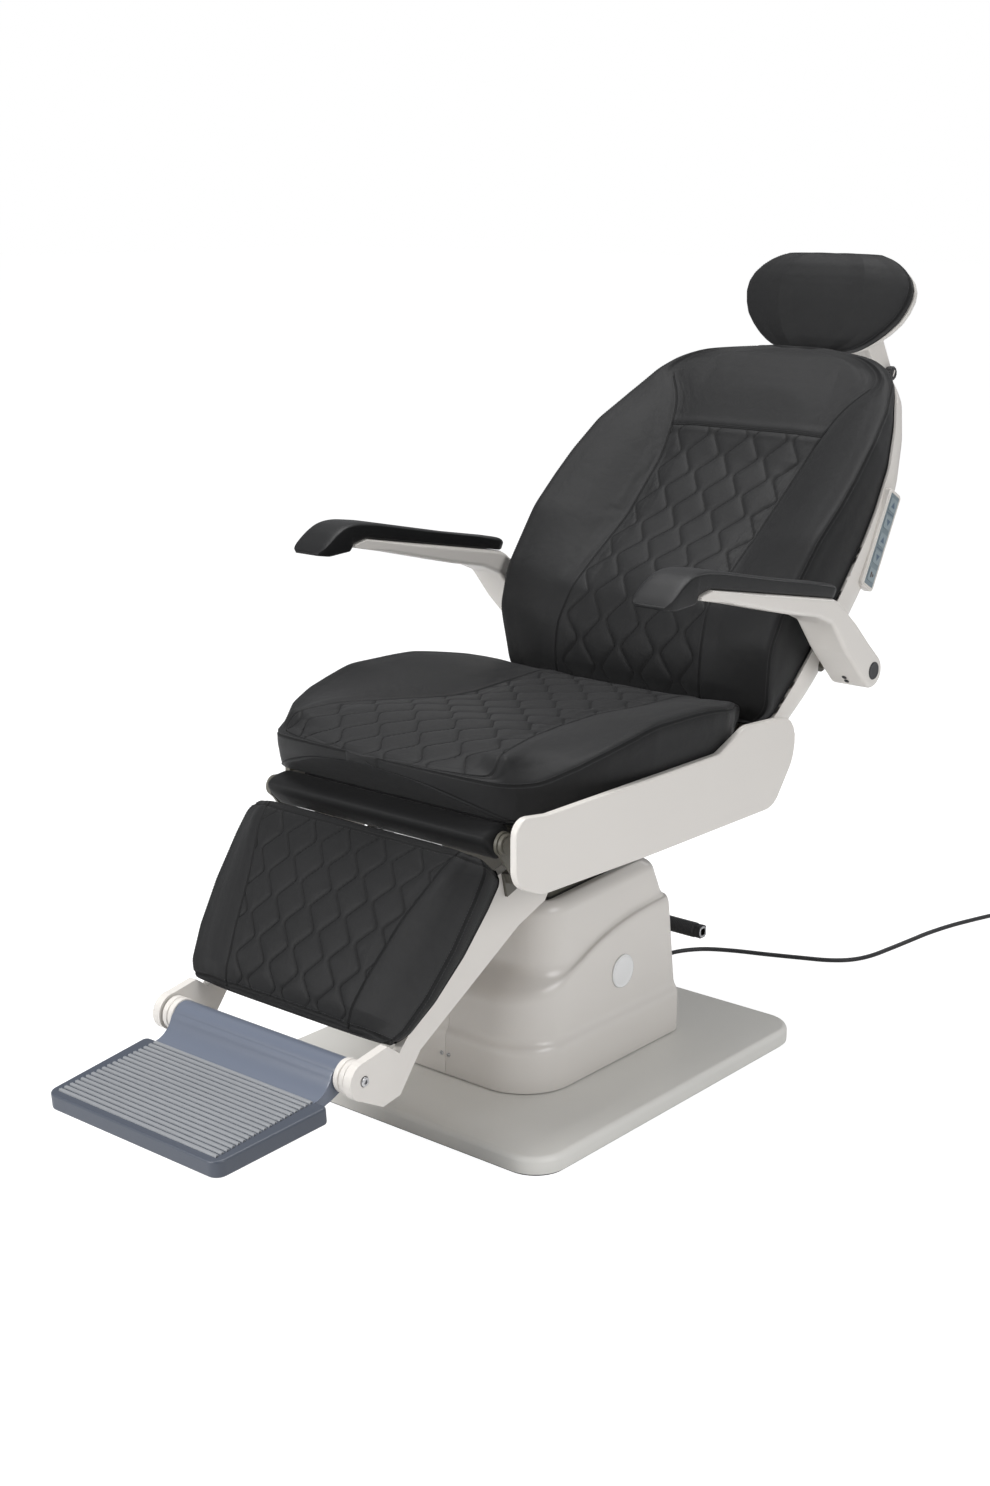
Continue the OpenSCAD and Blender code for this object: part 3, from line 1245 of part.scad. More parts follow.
module headrest_shell() {
    dy = head_pivot[0] - head_y;
    dz = head_pivot[1] - head_z;
    pivot = [dy*cos(head_lean) - dz*sin(head_lean), dy*sin(head_lean) + dz*cos(head_lean)];
    back = head_side_t + head_dome_t;
    web = unit([back*0.6, -head_h*0.34] - pivot);
    web_start = pivot + web*(head_cross_r + 2*head_web_t);
    web_end = [back*0.7, -head_h*0.34];
    thick = [-web[1], web[0]]*head_web_t/2;
    color(cover_colour)
    at_head() difference() {
        union() {
            sheet([for (i = [0:head_rows]) head_row(i/head_rows, 0)],
                [for (i = [0:head_rows]) head_row(i/head_rows, head_wall)]);
            both_sides() {
                cross_bar(head_in, head_in + head_cheek_t, pivot[0], pivot[1], head_cheek_r);
                side_cut(head_in, head_in + head_cheek_t, [pivot + cheek_low, [back*0.62, -head_h*0.36],
                    [back*0.9, -head_h*0.06], pivot + cheek_high, pivot + cheek_end]);
            }
            side_cut(-head_in - cut, head_in + cut, [web_start - thick, web_end - thick, web_end + thick, web_start + thick]);
        }
        both_sides() cross_bar(head_in - cut, head_in + head_cheek_t + cut, pivot[0], pivot[1], head_bolt_r + pin_gap);
    }
}
function head_ring(k) =
    let (s = mix(-head_h/2, head_h/2, k), half = head_w/2*lookup(k, head_half_shares),
        crown = head_crown*lookup(k, head_front_shares), cols = 14)
    concat([[-half + head_draw_in, head_side_t - side_gap, s], [half - head_draw_in, head_side_t - side_gap, s], [half, 0, s]],
        [for (j = [1:cols - 1]) let (u = cos(180*j/cols)) [half*u, -crown*pow(1 - u*u, 0.6), s]],
        [[-half, 0, s]]);
module headrest_cushion() {
    color(leather_colour)
    at_head() loft([for (i = [0:head_rows]) head_ring(i/head_rows)]);
}
module headrest_knob() {
    out = head_in + head_cheek_t + side_gap;
    color(dark_colour)
    union() {
        cross_bar(-out - head_bolt_end, out + cut, head_pivot[0], head_pivot[1], head_bolt_r);
        cross_bar(-out - head_bolt_end, -out, head_pivot[0], head_pivot[1], head_bolt_r*1.5);
        cross_bar(out, out + head_knob_l, head_pivot[0], head_pivot[1], head_knob_r);
    }
}

// Armrests

function arm_points(shares) = [for (p = shares) arm_place + p*arm_reach];
module arm_casting() {
    difference() {
        union() {
            side_cut(arm_in, arm_in + arm_w, concat(arm_points(arm_low_shares), arm_points(arm_high_shares)));
            cross_bar(arm_in, arm_in + arm_w, arm_place[0], arm_place[1], arm_end_r);
            cross_bar(arm_in + arm_w - cut, arm_in + arm_w + arm_cap_t, arm_place[0], arm_place[1], arm_cap_r);
        }
        cross_bar(arm_in - cut, arm_in + arm_stud_tip + side_gap, arm_place[0], arm_place[1], arm_stud_r + pin_gap);
    }
}
function pad_ring(p) =
    let (y = arm_place[0] + p*arm_reach, x = arm_in + arm_w/2, w = arm_w/2*lookup(p, pad_half_shares),
        top = arm_place[1] + arm_reach*lookup(p, pad_top_shares), low = arm_place[1] + arm_reach*lookup(p, pad_low_shares),
        edge = arm_place[1] + arm_reach*lookup(p, pad_edge_shares) - arm_pad_t*0.3)
    concat([[x - w + pad_draw_in, y, low + side_gap], [x + w - pad_draw_in, y, low + side_gap], [x + w, y, mix(low, edge, 0.5)]],
        [for (j = [0:10]) let (u = cos(180*j/10)) [x + w*u, y, edge + (top - edge)*pow(max(0, 1 - u*u), 0.45)]],
        [[x - w, y, mix(low, edge, 0.5)]]);
module arm_pad() {
    loft([for (p = pad_rows) pad_ring(p)]);
}
module armrest_left() {
    color(cover_colour) arm_casting();
}
module armrest_right() {
    color(cover_colour) mirror([1, 0, 0]) arm_casting();
}
module arm_pad_left() {
    color(cover_colour) arm_pad();
}
module arm_pad_right() {
    color(cover_colour) mirror([1, 0, 0]) arm_pad();
}

// Foot lever that frees the swivel: a bar with rubber sleeves on an arm behind the pedestal
lever_half_w = lever_arm_w/2;
lug_out = lever_half_w + side_gap + lever_lug_t;
module lever_bracket() {
    color(olive_colour)
    union() {
        both_sides() strap(lever_half_w + side_gap, lug_out, [lever_hinge_y, lever_hinge_z], lever_arm_r,
            [lever_hinge_y, base_top + lever_arm_r], lever_arm_r);
        span_box(-lug_out, lug_out, lever_hinge_y - 1.5*lever_arm_r, lever_hinge_y + 1.5*lever_arm_r,
            base_top, base_top + lever_lug_t);
        cross_bar(-lug_out + cut, lug_out - cut, lever_hinge_y, lever_hinge_z, lever_pivot_r);
    }
}
module lever_arm() {
    color(steel_colour)
    difference() {
        union() {
            strap(-lever_half_w, lever_half_w, [lever_hinge_y, lever_hinge_z], lever_arm_r,
                [lever_bar_y, lever_bar_z], lever_end_r);
            cross_bar(-lever_bar_l/2, lever_bar_l/2, lever_bar_y, lever_bar_z, lever_bar_r);
            both_sides() cross_bar(lever_bar_l/2 - lever_end_l, lever_bar_l/2, lever_bar_y, lever_bar_z, lever_end_r);
        }
        cross_bar(-lever_arm_w, lever_arm_w, lever_hinge_y, lever_hinge_z, lever_pivot_r + pin_gap);
    }
}
module lever_grips() {
    color(dark_colour)
    both_sides() difference() {
        cross_bar(lever_grip_start, lever_bar_l/2 - lever_end_l, lever_bar_y, lever_bar_z, lever_grip_r);
        cross_bar(lever_grip_start - cut, lever_bar_l/2, lever_bar_y, lever_bar_z, lever_bar_r + pin_gap);
    }
}

// Power cord: gland in the pedestal's skirt, the run on the floor, the coil and the plug

module gland_body(margin, y0, y1) {
    translate([gland_x, y0, gland_z]) rotate([-90, 0, 0]) cylinder(r = gland_neck_r + margin, h = y1 - y0);
}
module cord_gland() {
    collar = cover_l/2 + side_gap/3;
    color(dark_colour)
    union() {
        gland_body(0, cover_l/2 - gland_inside, collar + cut);
        translate([gland_x, collar, gland_z]) rotate([-90, 0, 0]) cylinder(r = gland_r, h = gland_collar_l);
        translate([gland_x, collar + gland_collar_l, gland_z]) rotate([-90, 0, 0])
            cylinder(r1 = gland_r*0.85, r2 = gland_tip_r, h = gland_tip_y - collar - gland_collar_l);
    }
}
function spline(p, i, u) = let (n = len(p), a = p[max(0, i - 1)], b = p[i], c = p[i + 1], d = p[min(n - 1, i + 2)])
    0.5*(2*b + (c - a)*u + (2*a - 5*b + 4*c - d)*u*u + (3*b - a - 3*c + d)*u*u*u);
function smooth_route(p, n) = [for (i = [0:len(p) - 2]) for (j = [0:n - 1]) spline(p, i, j/n), p[len(p) - 1]];
function tube_ring(p, along, r, sides) =
    let (x = unit(cross(along, [0, 0, 1])), z = cross(x, along))
    [for (i = [0:sides - 1]) let (w = 360*i/sides) p + r*(x*cos(w) + z*sin(w))];
module tube(points, r, sides) {
    n = len(points);
    loft([for (i = [0:n - 1]) tube_ring(points[i], unit(points[min(n - 1, i + 1)] - points[max(0, i - 1)]), r, sides)]);
}
module power_cord() {
    color(dark_colour) tube(smooth_route(cord_route, route_step), cord_d/2, cord_sides);
}

// Coil in two layers: it winds inwards on the floor, steps up and winds outwards again
coil_pitch = cord_d + coil_pitch_gap;
coil_z = cord_d/2;
coil_high = coil_z + coil_pitch;
coil_in_r = coil_out_r - coil_pitch*coil_turns;
coil_steps = coil_rings*coil_turns;
step_rings = ceil(coil_rings*coil_step_share);
function coil_point(r, turn, z) = [coil_centre[0] + r*cos(360*turn), coil_centre[1] + r*sin(360*turn), z];
coil_end_turn = 2*coil_turns + step_rings/coil_rings;
coil_end_way = [-sin(360*coil_end_turn), cos(360*coil_end_turn), 0];
coil_end = coil_point(coil_out_r, coil_end_turn, coil_high);
coil_path = concat([[coil_centre[0] + coil_out_r, coil_centre[1] - cord_d, coil_z]],
    [for (i = [0:coil_steps]) coil_point(coil_out_r - coil_pitch*i/coil_rings, i/coil_rings, coil_z)],
    [for (i = [1:step_rings]) coil_point(coil_in_r, coil_turns + i/coil_rings,
        mix(coil_z, coil_high, (1 - cos(180*i/step_rings))/2))],
    [for (i = [1:coil_steps]) coil_point(coil_in_r + coil_pitch*i/coil_rings,
        coil_turns + (step_rings + i)/coil_rings, coil_high)],
    [for (d = [cord_d*1.5, coil_tail - cord_d, coil_tail]) coil_end + coil_end_way*d]);
// Least gap between the tubes of turns that lie a turn or a layer apart
layer_gap = min([for (i = [0:4:len(coil_path) - 1]) for (j = [i + coil_rings - 4:1:len(coil_path) - 1])
    norm(coil_path[i] - coil_path[j])]) - cord_d;
echo(coil_least_gap = layer_gap);
module cord_coil() {
    color(dark_colour) tube(coil_path, cord_d/2, coil_sides);
}
plug_r = coil_high;
plug_turn = atan2(coil_end_way[1], coil_end_way[0]);
module power_plug() {
    color(dark_colour)
    translate(coil_end + coil_end_way*coil_tail) rotate([0, 0, plug_turn]) rotate([0, 90, 0]) union() {
        cylinder(r1 = gland_tip_r, r2 = gland_tip_r*1.5, h = plug_neck_l);
        translate([0, 0, plug_neck_l]) cylinder(r = plug_r, h = plug_l - plug_neck_l);
        for (side = [-1, 1]) translate([0, side*plug_pin_pitch/2, plug_l - cut]) cylinder(r = plug_pin_r, h = pin_l + cut);
    }
}

base_mat();
base_plate();
outer_column();
guide_pads();
lift_actuator();
cover_left();
cover_right();
cover_trim();
rim_seal();
control_box();
cord_gland();
power_cord();
cord_coil();
power_plug();
lever_bracket();
inner_column();
lift_rod();
lift_cover();
bearing_ring();
swivel_hub();
seat_frame();
seat_board();
seat_cushion();
side_plate_left();
side_plate_right();
hinge_tube();
knee_roll();
recline_motor();
leg_motor();
recline_rod();
leg_rod();
leg_arm_left();
leg_arm_right();
leg_tube();
leg_board();
leg_cushion();
leg_brackets();
foot_hubs();
footplate();
back_frame();
back_board();
back_cushion();
back_shell();
panel_bezel();
panel_membrane();
key_back_down();
key_back_up();
key_seat_down();
key_seat_up();
key_reset();
headrest_post();
headrest_shell();
headrest_cushion();
headrest_knob();
armrest_left();
armrest_right();
arm_pad_left();
arm_pad_right();
lever_arm();
lever_grips();
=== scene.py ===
import math

import bmesh
import bpy
import numpy as np
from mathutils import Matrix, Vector
from mathutils.kdtree import KDTree


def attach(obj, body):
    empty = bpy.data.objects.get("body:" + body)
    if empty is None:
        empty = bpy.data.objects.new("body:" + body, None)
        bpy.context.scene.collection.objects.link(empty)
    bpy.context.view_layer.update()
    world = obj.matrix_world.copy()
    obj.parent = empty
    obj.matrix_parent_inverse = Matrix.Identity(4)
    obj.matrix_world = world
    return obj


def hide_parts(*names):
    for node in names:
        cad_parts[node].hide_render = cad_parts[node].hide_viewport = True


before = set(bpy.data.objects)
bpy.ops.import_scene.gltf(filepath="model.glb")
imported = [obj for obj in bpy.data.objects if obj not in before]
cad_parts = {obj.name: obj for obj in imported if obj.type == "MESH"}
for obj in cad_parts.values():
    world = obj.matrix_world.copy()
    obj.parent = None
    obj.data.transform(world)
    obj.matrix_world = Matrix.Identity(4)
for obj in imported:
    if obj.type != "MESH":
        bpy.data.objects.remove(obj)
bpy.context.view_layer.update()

# Camera, floor and lights
# The chair is seen from its left front, from a little above the headrest, on a plain white floor.
# Large soft lamps stand in front, at its left and behind it, and one hangs overhead.

camera_data = bpy.data.cameras.new("camera")
camera_data.sensor_width = 36
camera_data.lens = 50.56
camera = bpy.data.objects.new("camera", camera_data)
camera.location = (2.013, -2.489, 1.404)
camera.rotation_euler = (math.radians(90 - 15.18), 0, math.radians(40.04))
bpy.context.scene.collection.objects.link(camera)
bpy.context.scene.camera = camera
bpy.context.scene.view_settings.view_transform = "Standard"


def soft_lamp(name, place, target, size, power):
    lamp = bpy.data.lights.new(name, "AREA")
    lamp.shape = "DISK"
    lamp.size = size
    lamp.energy = power
    holder = bpy.data.objects.new(name, lamp)
    holder.location = place
    holder.rotation_euler = (Vector(target) - Vector(place)).to_track_quat("-Z", "Y").to_euler()
    bpy.context.scene.collection.objects.link(holder)


soft_lamp("front_lamp", (-0.9, -3.6, 1.9), (0, -0.2, 0.55), 1.8, 104)
soft_lamp("left_lamp", (4.2, -0.6, 2.4), (0, 0, 0.6), 2.0, 74)
soft_lamp("top_lamp", (-0.4, 0.4, 4.2), (0, 0.1, 0.5), 3.0, 132)
soft_lamp("rear_lamp", (1.2, 4.4, 2.8), (0, 0.4, 0.8), 1.8, 26)

world = bpy.data.worlds.new("studio")
bpy.context.scene.world = world
world.use_nodes = True
nodes, links = world.node_tree.nodes, world.node_tree.links
nodes.clear()
path = nodes.new("ShaderNodeLightPath")
seen = nodes.new("ShaderNodeMath")
seen.operation = "MAXIMUM"
links.new(path.outputs["Is Camera Ray"], seen.inputs[0])
links.new(path.outputs["Is Transmission Ray"], seen.inputs[1])
soft, white, mixed = (nodes.new(kind) for kind in (
    "ShaderNodeBackground", "ShaderNodeBackground", "ShaderNodeMixShader"))
soft.inputs["Color"].default_value = (0.94, 0.96, 1, 1)
soft.inputs["Strength"].default_value = 0.25
white.inputs["Color"].default_value = (1, 1, 1, 1)
links.new(seen.outputs[0], mixed.inputs["Fac"])
links.new(soft.outputs[0], mixed.inputs[1])
links.new(white.outputs[0], mixed.inputs[2])
links.new(mixed.outputs[0], nodes.new("ShaderNodeOutputWorld").inputs["Surface"])

floor_mesh = bpy.data.meshes.new("floor")
floor_mesh.from_pydata([(-30, -30, 0), (30, -30, 0), (30, 30, 0), (-30, 30, 0)], [], [(0, 1, 2, 3)])
floor = bpy.data.objects.new("floor", floor_mesh)
bpy.context.scene.collection.objects.link(floor)
floor_finish = bpy.data.materials.new("floor")
floor_finish.use_nodes = True
nodes, links = floor_finish.node_tree.nodes, floor_finish.node_tree.links
floor_skin = nodes["Principled BSDF"]
floor_skin.inputs["Base Color"].default_value = (0.82, 0.82, 0.82, 1)
floor_skin.inputs["Roughness"].default_value = 0.85
path, glow, mixed, part = (nodes.new(kind) for kind in (
    "ShaderNodeLightPath", "ShaderNodeEmission", "ShaderNodeMixShader", "ShaderNodeMath"))
part.operation = "MULTIPLY"
part.inputs[1].default_value = 0.6
glow.inputs["Strength"].default_value = 1.54
links.new(path.outputs["Is Camera Ray"], part.inputs[0])
links.new(part.outputs[0], mixed.inputs["Fac"])
links.new(floor_skin.outputs[0], mixed.inputs[1])
links.new(glow.outputs[0], mixed.inputs[2])
links.new(mixed.outputs[0], nodes["Material Output"].inputs["Surface"])
floor.data.materials.append(floor_finish)

# Power cord, its coil, plug and gland
# A round black three-core lead, 8 mm thick and 2.8 m long. It leaves the pedestal's skirt through a
# tapered rubber gland, drops off the base plate and lies on the floor; the spare length is coiled.

cord_radius = 0.004
cord_route = [
    (-110, 232, 60), (-110, 246, 60), (-110, 262, 55), (-110, 282, 43), (-110, 300, 36.4), (-110, 320, 34.6),
    (-109, 336, 34.6), (-108, 352, 30.6), (-106, 372, 18), (-104, 392, 7), (-102, 412, 4), (-100, 450, 4),
    (-96, 490, 4), (-90, 528, 4), (-76, 558, 4), (-50, 587, 4), (-6, 612, 4), (50, 635, 4),
    (106, 660, 4), (152, 682, 4), (184, 711, 4), (202, 752, 4), (211, 810, 4), (218, 870, 4),
    (225, 930, 4), (238, 994, 4), (254, 1048, 4), (272, 1100, 4), (292, 1150, 4), (311, 1198, 4),
    (318, 1232, 4), (318, 1250, 4)]
coil_centre, coil_radius, coil_turns, coil_rings = np.array((0.266, 1.258)), 0.052, 3, 72
coil_pitch = 0.0087
step_share = 5 / 24


def smooth_through(points, steps):
    """Points on the Catmull-Rom curve through the given ones."""
    p = np.array([points[0], *points, points[-1]], float)
    out = []
    for a, b, c, d in zip(p[:-3], p[1:-2], p[2:-1], p[3:]):
        for u in np.arange(steps) / steps:
            out.append(0.5 * (2 * b + (c - a) * u + (2 * a - 5 * b + 4 * c - d) * u * u
                              + (3 * b - a - 3 * c + d) * u ** 3))
    return np.array(out + [p[-1]])


def coil_points():
    """Three turns inwards on the floor, a step up, and three turns outwards on top of them."""
    low, high = cord_radius, cord_radius + coil_pitch
    inner = coil_radius - coil_pitch * coil_turns
    steps = round(coil_rings * step_share)
    turn = [i / coil_rings for i in range(coil_rings * coil_turns + 1)]
    rows = [(coil_radius - coil_pitch * t, t, low) for t in turn]
    rows += [(inner, coil_turns + i / coil_rings,
              low + (high - low) * (1 - math.cos(math.pi * i / steps)) / 2)
             for i in range(1, steps + 1)]
    rows += [(inner + coil_pitch * t, coil_turns + step_share + t, high) for t in turn[1:]]
    return np.array([(coil_centre[0] + r * math.cos(2 * math.pi * t),
                      coil_centre[1] + r * math.sin(2 * math.pi * t), z)
                     for r, t, z in rows])


coil = coil_points()
tail_turn = 2 * math.pi * (2 * coil_turns + step_share)
tail_way = np.array((-math.sin(tail_turn), math.cos(tail_turn), 0))
tail_length = 0.06
plug_start = coil[-1] + tail_way * tail_length
tail = [coil[-1] + tail_way * d for d in np.linspace(0.006, tail_length, 10)]
flex_line = np.concatenate([smooth_through(cord_route, 5) / 1000, coil, tail])


def mesh_piece(name, points, faces, smooth=True):
    """A mesh object at the origin, with its place in its points and its faces outwards."""
    mesh = bpy.data.meshes.new(name)
    mesh.from_pydata([tuple(p) for p in points], [], [tuple(f) for f in faces])
    mesh.update()
    piece = bpy.data.objects.new(name, mesh)
    bpy.context.scene.collection.objects.link(piece)
    if smooth:
        mesh.polygons.foreach_set("use_smooth", [True] * len(mesh.polygons))
    if len(faces):
        mesh.calc_loop_triangles()
        corners = np.empty(3 * len(mesh.loop_triangles), np.int32)
        mesh.loop_triangles.foreach_get("vertices", corners)
        a, b, c = np.asarray(points, float)[corners.reshape(-1, 3)].transpose(1, 0, 2)
        if (np.cross(a, b) * c).sum() < 0:
            mesh.flip_normals()
    return piece


def grid_faces(rows, columns, closed):
    """Quads of a grid whose columns may close into a ring."""
    span = columns if closed else columns - 1
    return [(r * columns + c, r * columns + (c + 1) % columns, (r + 1) * columns + (c + 1) % columns,
             (r + 1) * columns + c)
            for r in range(rows - 1) for c in range(span)]


def capped_faces(rows, columns):
    """Faces of a grid of closed rings, with a flat cap over the first and the last."""
    return grid_faces(rows, columns, True) + [tuple(range(columns))[::-1],
                                              tuple(range((rows - 1) * columns, rows * columns))]


def stacked_rings(name, rings):
    """A closed skin over rings of equal length, with a flat cap at each end."""
    return mesh_piece(name, np.concatenate(rings), capped_faces(len(rings), len(rings[0])))


def tube_piece(name, line, radii, sides=14):
    """A closed tube along a line, with one radius a point."""
    line = np.asarray(line, float)
    way = np.gradient(line, axis=0)
    way /= np.linalg.norm(way, axis=1)[:, None]
    side = np.cross(way, (0, 0, 1))
    side /= np.linalg.norm(side, axis=1)[:, None]
    up = np.cross(way, side)
    turn = np.linspace(0, 2 * math.pi, sides, endpoint=False)
    rings = line[:, None] + np.asarray(radii)[:, None, None] * (
        np.cos(turn)[None, :, None] * side[:, None] + np.sin(turn)[None, :, None] * up[:, None])
    return stacked_rings(name, list(rings))


def turned(name, start, way, rings, sides=32):
    """A closed turned piece over (distance, radius) rings along a straight line."""
    start, way = np.asarray(start, float), np.asarray(way, float)
    side = np.cross(way, (0, 0, 1))
    side /= np.linalg.norm(side)
    turn = np.linspace(0, 2 * math.pi, sides, endpoint=False)[:, None]
    circle = np.cos(turn) * side + np.sin(turn) * np.cross(way, side)
    return stacked_rings(name, [start + way * d + circle * radius for d, radius in rings])


def shader_group(name, inputs):
    """A shader group that takes a colour and named values, with its input and output nodes. It gives a
    colour, a roughness and a normal."""
    group = bpy.data.node_groups.new(name, "ShaderNodeTree")
    face = group.interface
    face.new_socket("Color", in_out="INPUT", socket_type="NodeSocketColor")
    for label, value in inputs:
        face.new_socket(label, in_out="INPUT", socket_type="NodeSocketFloat").default_value = value
    for label, kind in (("Color", "Color"), ("Roughness", "Float"), ("Normal", "Vector")):
        face.new_socket(label, in_out="OUTPUT", socket_type="NodeSocket" + kind)
    return group, group.nodes.new("NodeGroupInput"), group.nodes.new("NodeGroupOutput")


def skin_group():
    """Shader group: soft colour drift and the fine texture of a moulded, painted or cast skin."""
    group, given, made = shader_group("fine_skin", (
        ("Drift", 0.04), ("Drift Scale", 6), ("Texture Scale", 900), ("Texture Height", 0.1),
        ("Roughness", 0.4)))
    n, wire = group.nodes, group.links.new
    place = n.new("ShaderNodeTexCoord")
    drift, fine = n.new("ShaderNodeTexNoise"), n.new("ShaderNodeTexNoise")
    wire(place.outputs["Object"], drift.inputs["Vector"])
    wire(place.outputs["Object"], fine.inputs["Vector"])
    wire(given.outputs["Drift Scale"], drift.inputs["Scale"])
    wire(given.outputs["Texture Scale"], fine.inputs["Scale"])
    fine.inputs["Detail"].default_value = 3
    centred, spread, one = (n.new("ShaderNodeMath") for _ in range(3))
    centred.operation, spread.operation, one.operation = "SUBTRACT", "MULTIPLY", "ADD"
    centred.inputs[1].default_value = 0.5
    one.inputs[1].default_value = 1
    wire(drift.outputs["Fac"], centred.inputs[0])
    wire(centred.outputs[0], spread.inputs[0])
    wire(given.outputs["Drift"], spread.inputs[1])
    wire(spread.outputs[0], one.inputs[0])
    tint = n.new("ShaderNodeVectorMath")
    tint.operation = "SCALE"
    wire(given.outputs["Color"], tint.inputs[0])
    wire(one.outputs[0], tint.inputs["Scale"])
    wire(tint.outputs[0], made.inputs["Color"])
    shine = n.new("ShaderNodeMath")
    shine.operation = "MULTIPLY"
    wire(given.outputs["Roughness"], shine.inputs[0])
    wire(one.outputs[0], shine.inputs[1])
    wire(shine.outputs[0], made.inputs["Roughness"])
    bump = n.new("ShaderNodeBump")
    bump.inputs["Distance"].default_value = 0.0004
    wire(given.outputs["Texture Height"], bump.inputs["Strength"])
    wire(fine.outputs["Fac"], bump.inputs["Height"])
    wire(bump.outputs[0], made.inputs["Normal"])
    return group


fine_skin = skin_group()


def grouped_material(name, group, values):
    """A material whose colour, roughness and normal come from a shader group, and its surface."""
    material = bpy.data.materials.new(name)
    material.use_nodes = True
    n, wire = material.node_tree.nodes, material.node_tree.links.new
    surface, skin = n["Principled BSDF"], n.new("ShaderNodeGroup")
    skin.node_tree = group
    for label, value in values:
        skin.inputs[label].default_value = value
    for label in ("Color", "Roughness", "Normal"):
        wire(skin.outputs[label], surface.inputs["Base Color" if label == "Color" else label])
    return material, surface


def skin_material(name, colour, roughness, height=0.1, grain=900, drift=0.04, metal=0, coat=0):
    """A moulded, painted, cast or rubber finish."""
    material, surface = grouped_material(name, fine_skin, (
        ("Color", (*colour, 1)), ("Drift", drift), ("Texture Scale", grain), ("Texture Height", height),
        ("Roughness", roughness)))
    surface.inputs["Metallic"].default_value = metal
    surface.inputs["Coat Weight"].default_value = coat
    surface.inputs["Coat Roughness"].default_value = 0.12
    return material


black_rubber = skin_material("black_rubber", (0.022, 0.022, 0.024), 0.5, height=0.25, grain=1400, drift=0.2)
flex = tube_piece("power_lead", flex_line, [cord_radius] * len(flex_line))
flex.data.materials.append(black_rubber)
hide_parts("power_cord", "cord_coil")
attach(flex, "base")

plug_reach = 0.0127
plug_rings = [(0, 0.0052), (0.001, 0.0056), (0.004, 0.0058), (0.006, 0.0048), (0.009, 0.0048),
              (0.011, 0.0064), (0.014, 0.0064), (0.016, 0.0054), (0.019, 0.0056), (0.022, 0.0085),
              (0.026, 0.0115), (0.03, 0.0125), (0.036, plug_reach), (0.044, plug_reach),
              (0.0455, 0.0118), (0.046, 0.0105)]
plug = turned("plug_body", plug_start, tail_way, plug_rings)
plug.data.materials.append(black_rubber)
pin_way = np.cross(tail_way, (0, 0, 1))
brass = skin_material("plug_brass", (0.62, 0.52, 0.3), 0.28, metal=1, height=0.05)
plug_pins = []
for side in (-1, 1):
    start = plug_start + tail_way * 0.045 + pin_way * side * 0.0095
    pin_rings = [(0, 0.0024), (0.017, 0.0024), (0.0192, 0.0018), (0.02, 0.0006)]
    plug_pins.append(turned("plug_pin_%s" % ("b" if side > 0 else "a"), start, tail_way, pin_rings, 20))
    plug_pins[-1].data.materials.append(brass)
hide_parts("power_plug")
for piece in (plug, *plug_pins):
    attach(piece, "base")

gland_rings = [(0, 0.0085), (0.0005, 0.0089), (0.0035, 0.009), (0.004, 0.0084), (0.0045, 0.0077)]
gland_rib, gland_taper = 0.0042, 0.0003
for i in range(6):
    gland_rings += [(at + gland_rib * i, radius - gland_taper * i)
                    for at, radius in ((0.007, 0.0075), (0.0085, 0.0066), (0.0092, 0.0066))]
gland_rings += [(0.0319, 0.0052)]
gland = turned("cord_relief", (-0.11, 0.2001, 0.06), (0, 1, 0), gland_rings)
gland.data.materials.append(black_rubber)
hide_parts("cord_gland")
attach(gland, "base")

# Base plate and mat
# A heavy steel plate with round corners and a rolled upper edge, powder-coated in warm grey. It rests on a
# thin black rubber mat that is a little smaller.


def turned_corner(centre, radius, start, steps):
    """Quarter turn of an outline about a corner's centre."""
    turn = np.radians(np.linspace(start, start + 90, steps + 1))
    return np.stack([centre[0] + radius * np.cos(turn), centre[1] + radius * np.sin(turn)], 1)


def round_box(half_w, y0, y1, radius, steps=20):
    """Outline of a rectangle with round corners, anticlockwise from the left rear."""
    return np.concatenate([
        turned_corner((half_w - radius, y1 - radius), radius, 0, steps),
        turned_corner((-half_w + radius, y1 - radius), radius, 90, steps),
        turned_corner((-half_w + radius, y0 + radius), radius, 180, steps),
        turned_corner((half_w - radius, y0 + radius), radius, 270, steps)])


def keep_flats_flat(piece, angle=32):
    """Sharp shading only where an edge turns by more than the angle. Flats stay flat beside rounds."""
    piece.data.set_sharp_from_angle(angle=math.radians(angle))
    steady = piece.modifiers.new("steady", "WEIGHTED_NORMAL")
    steady.keep_sharp = True
    bake_modifiers(piece)


def bake_modifiers(piece):
    """The piece with its modifiers made into its mesh."""
    done = bpy.data.meshes.new_from_object(piece.evaluated_get(bpy.context.evaluated_depsgraph_get()))
    piece.modifiers.clear()
    piece.data = done


def finish_piece(piece, material, slot, body, *nodes):
    """Material and body of a piece, and the CAD nodes that it stands for. The slot is not used."""
    piece.data.materials.clear()
    piece.data.materials.append(material)
    if nodes:
        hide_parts(*nodes)
    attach(piece, body)


def at_level(outline, height):
    """Points of an outline at one height."""
    return np.column_stack([outline, np.full(len(outline), height)])


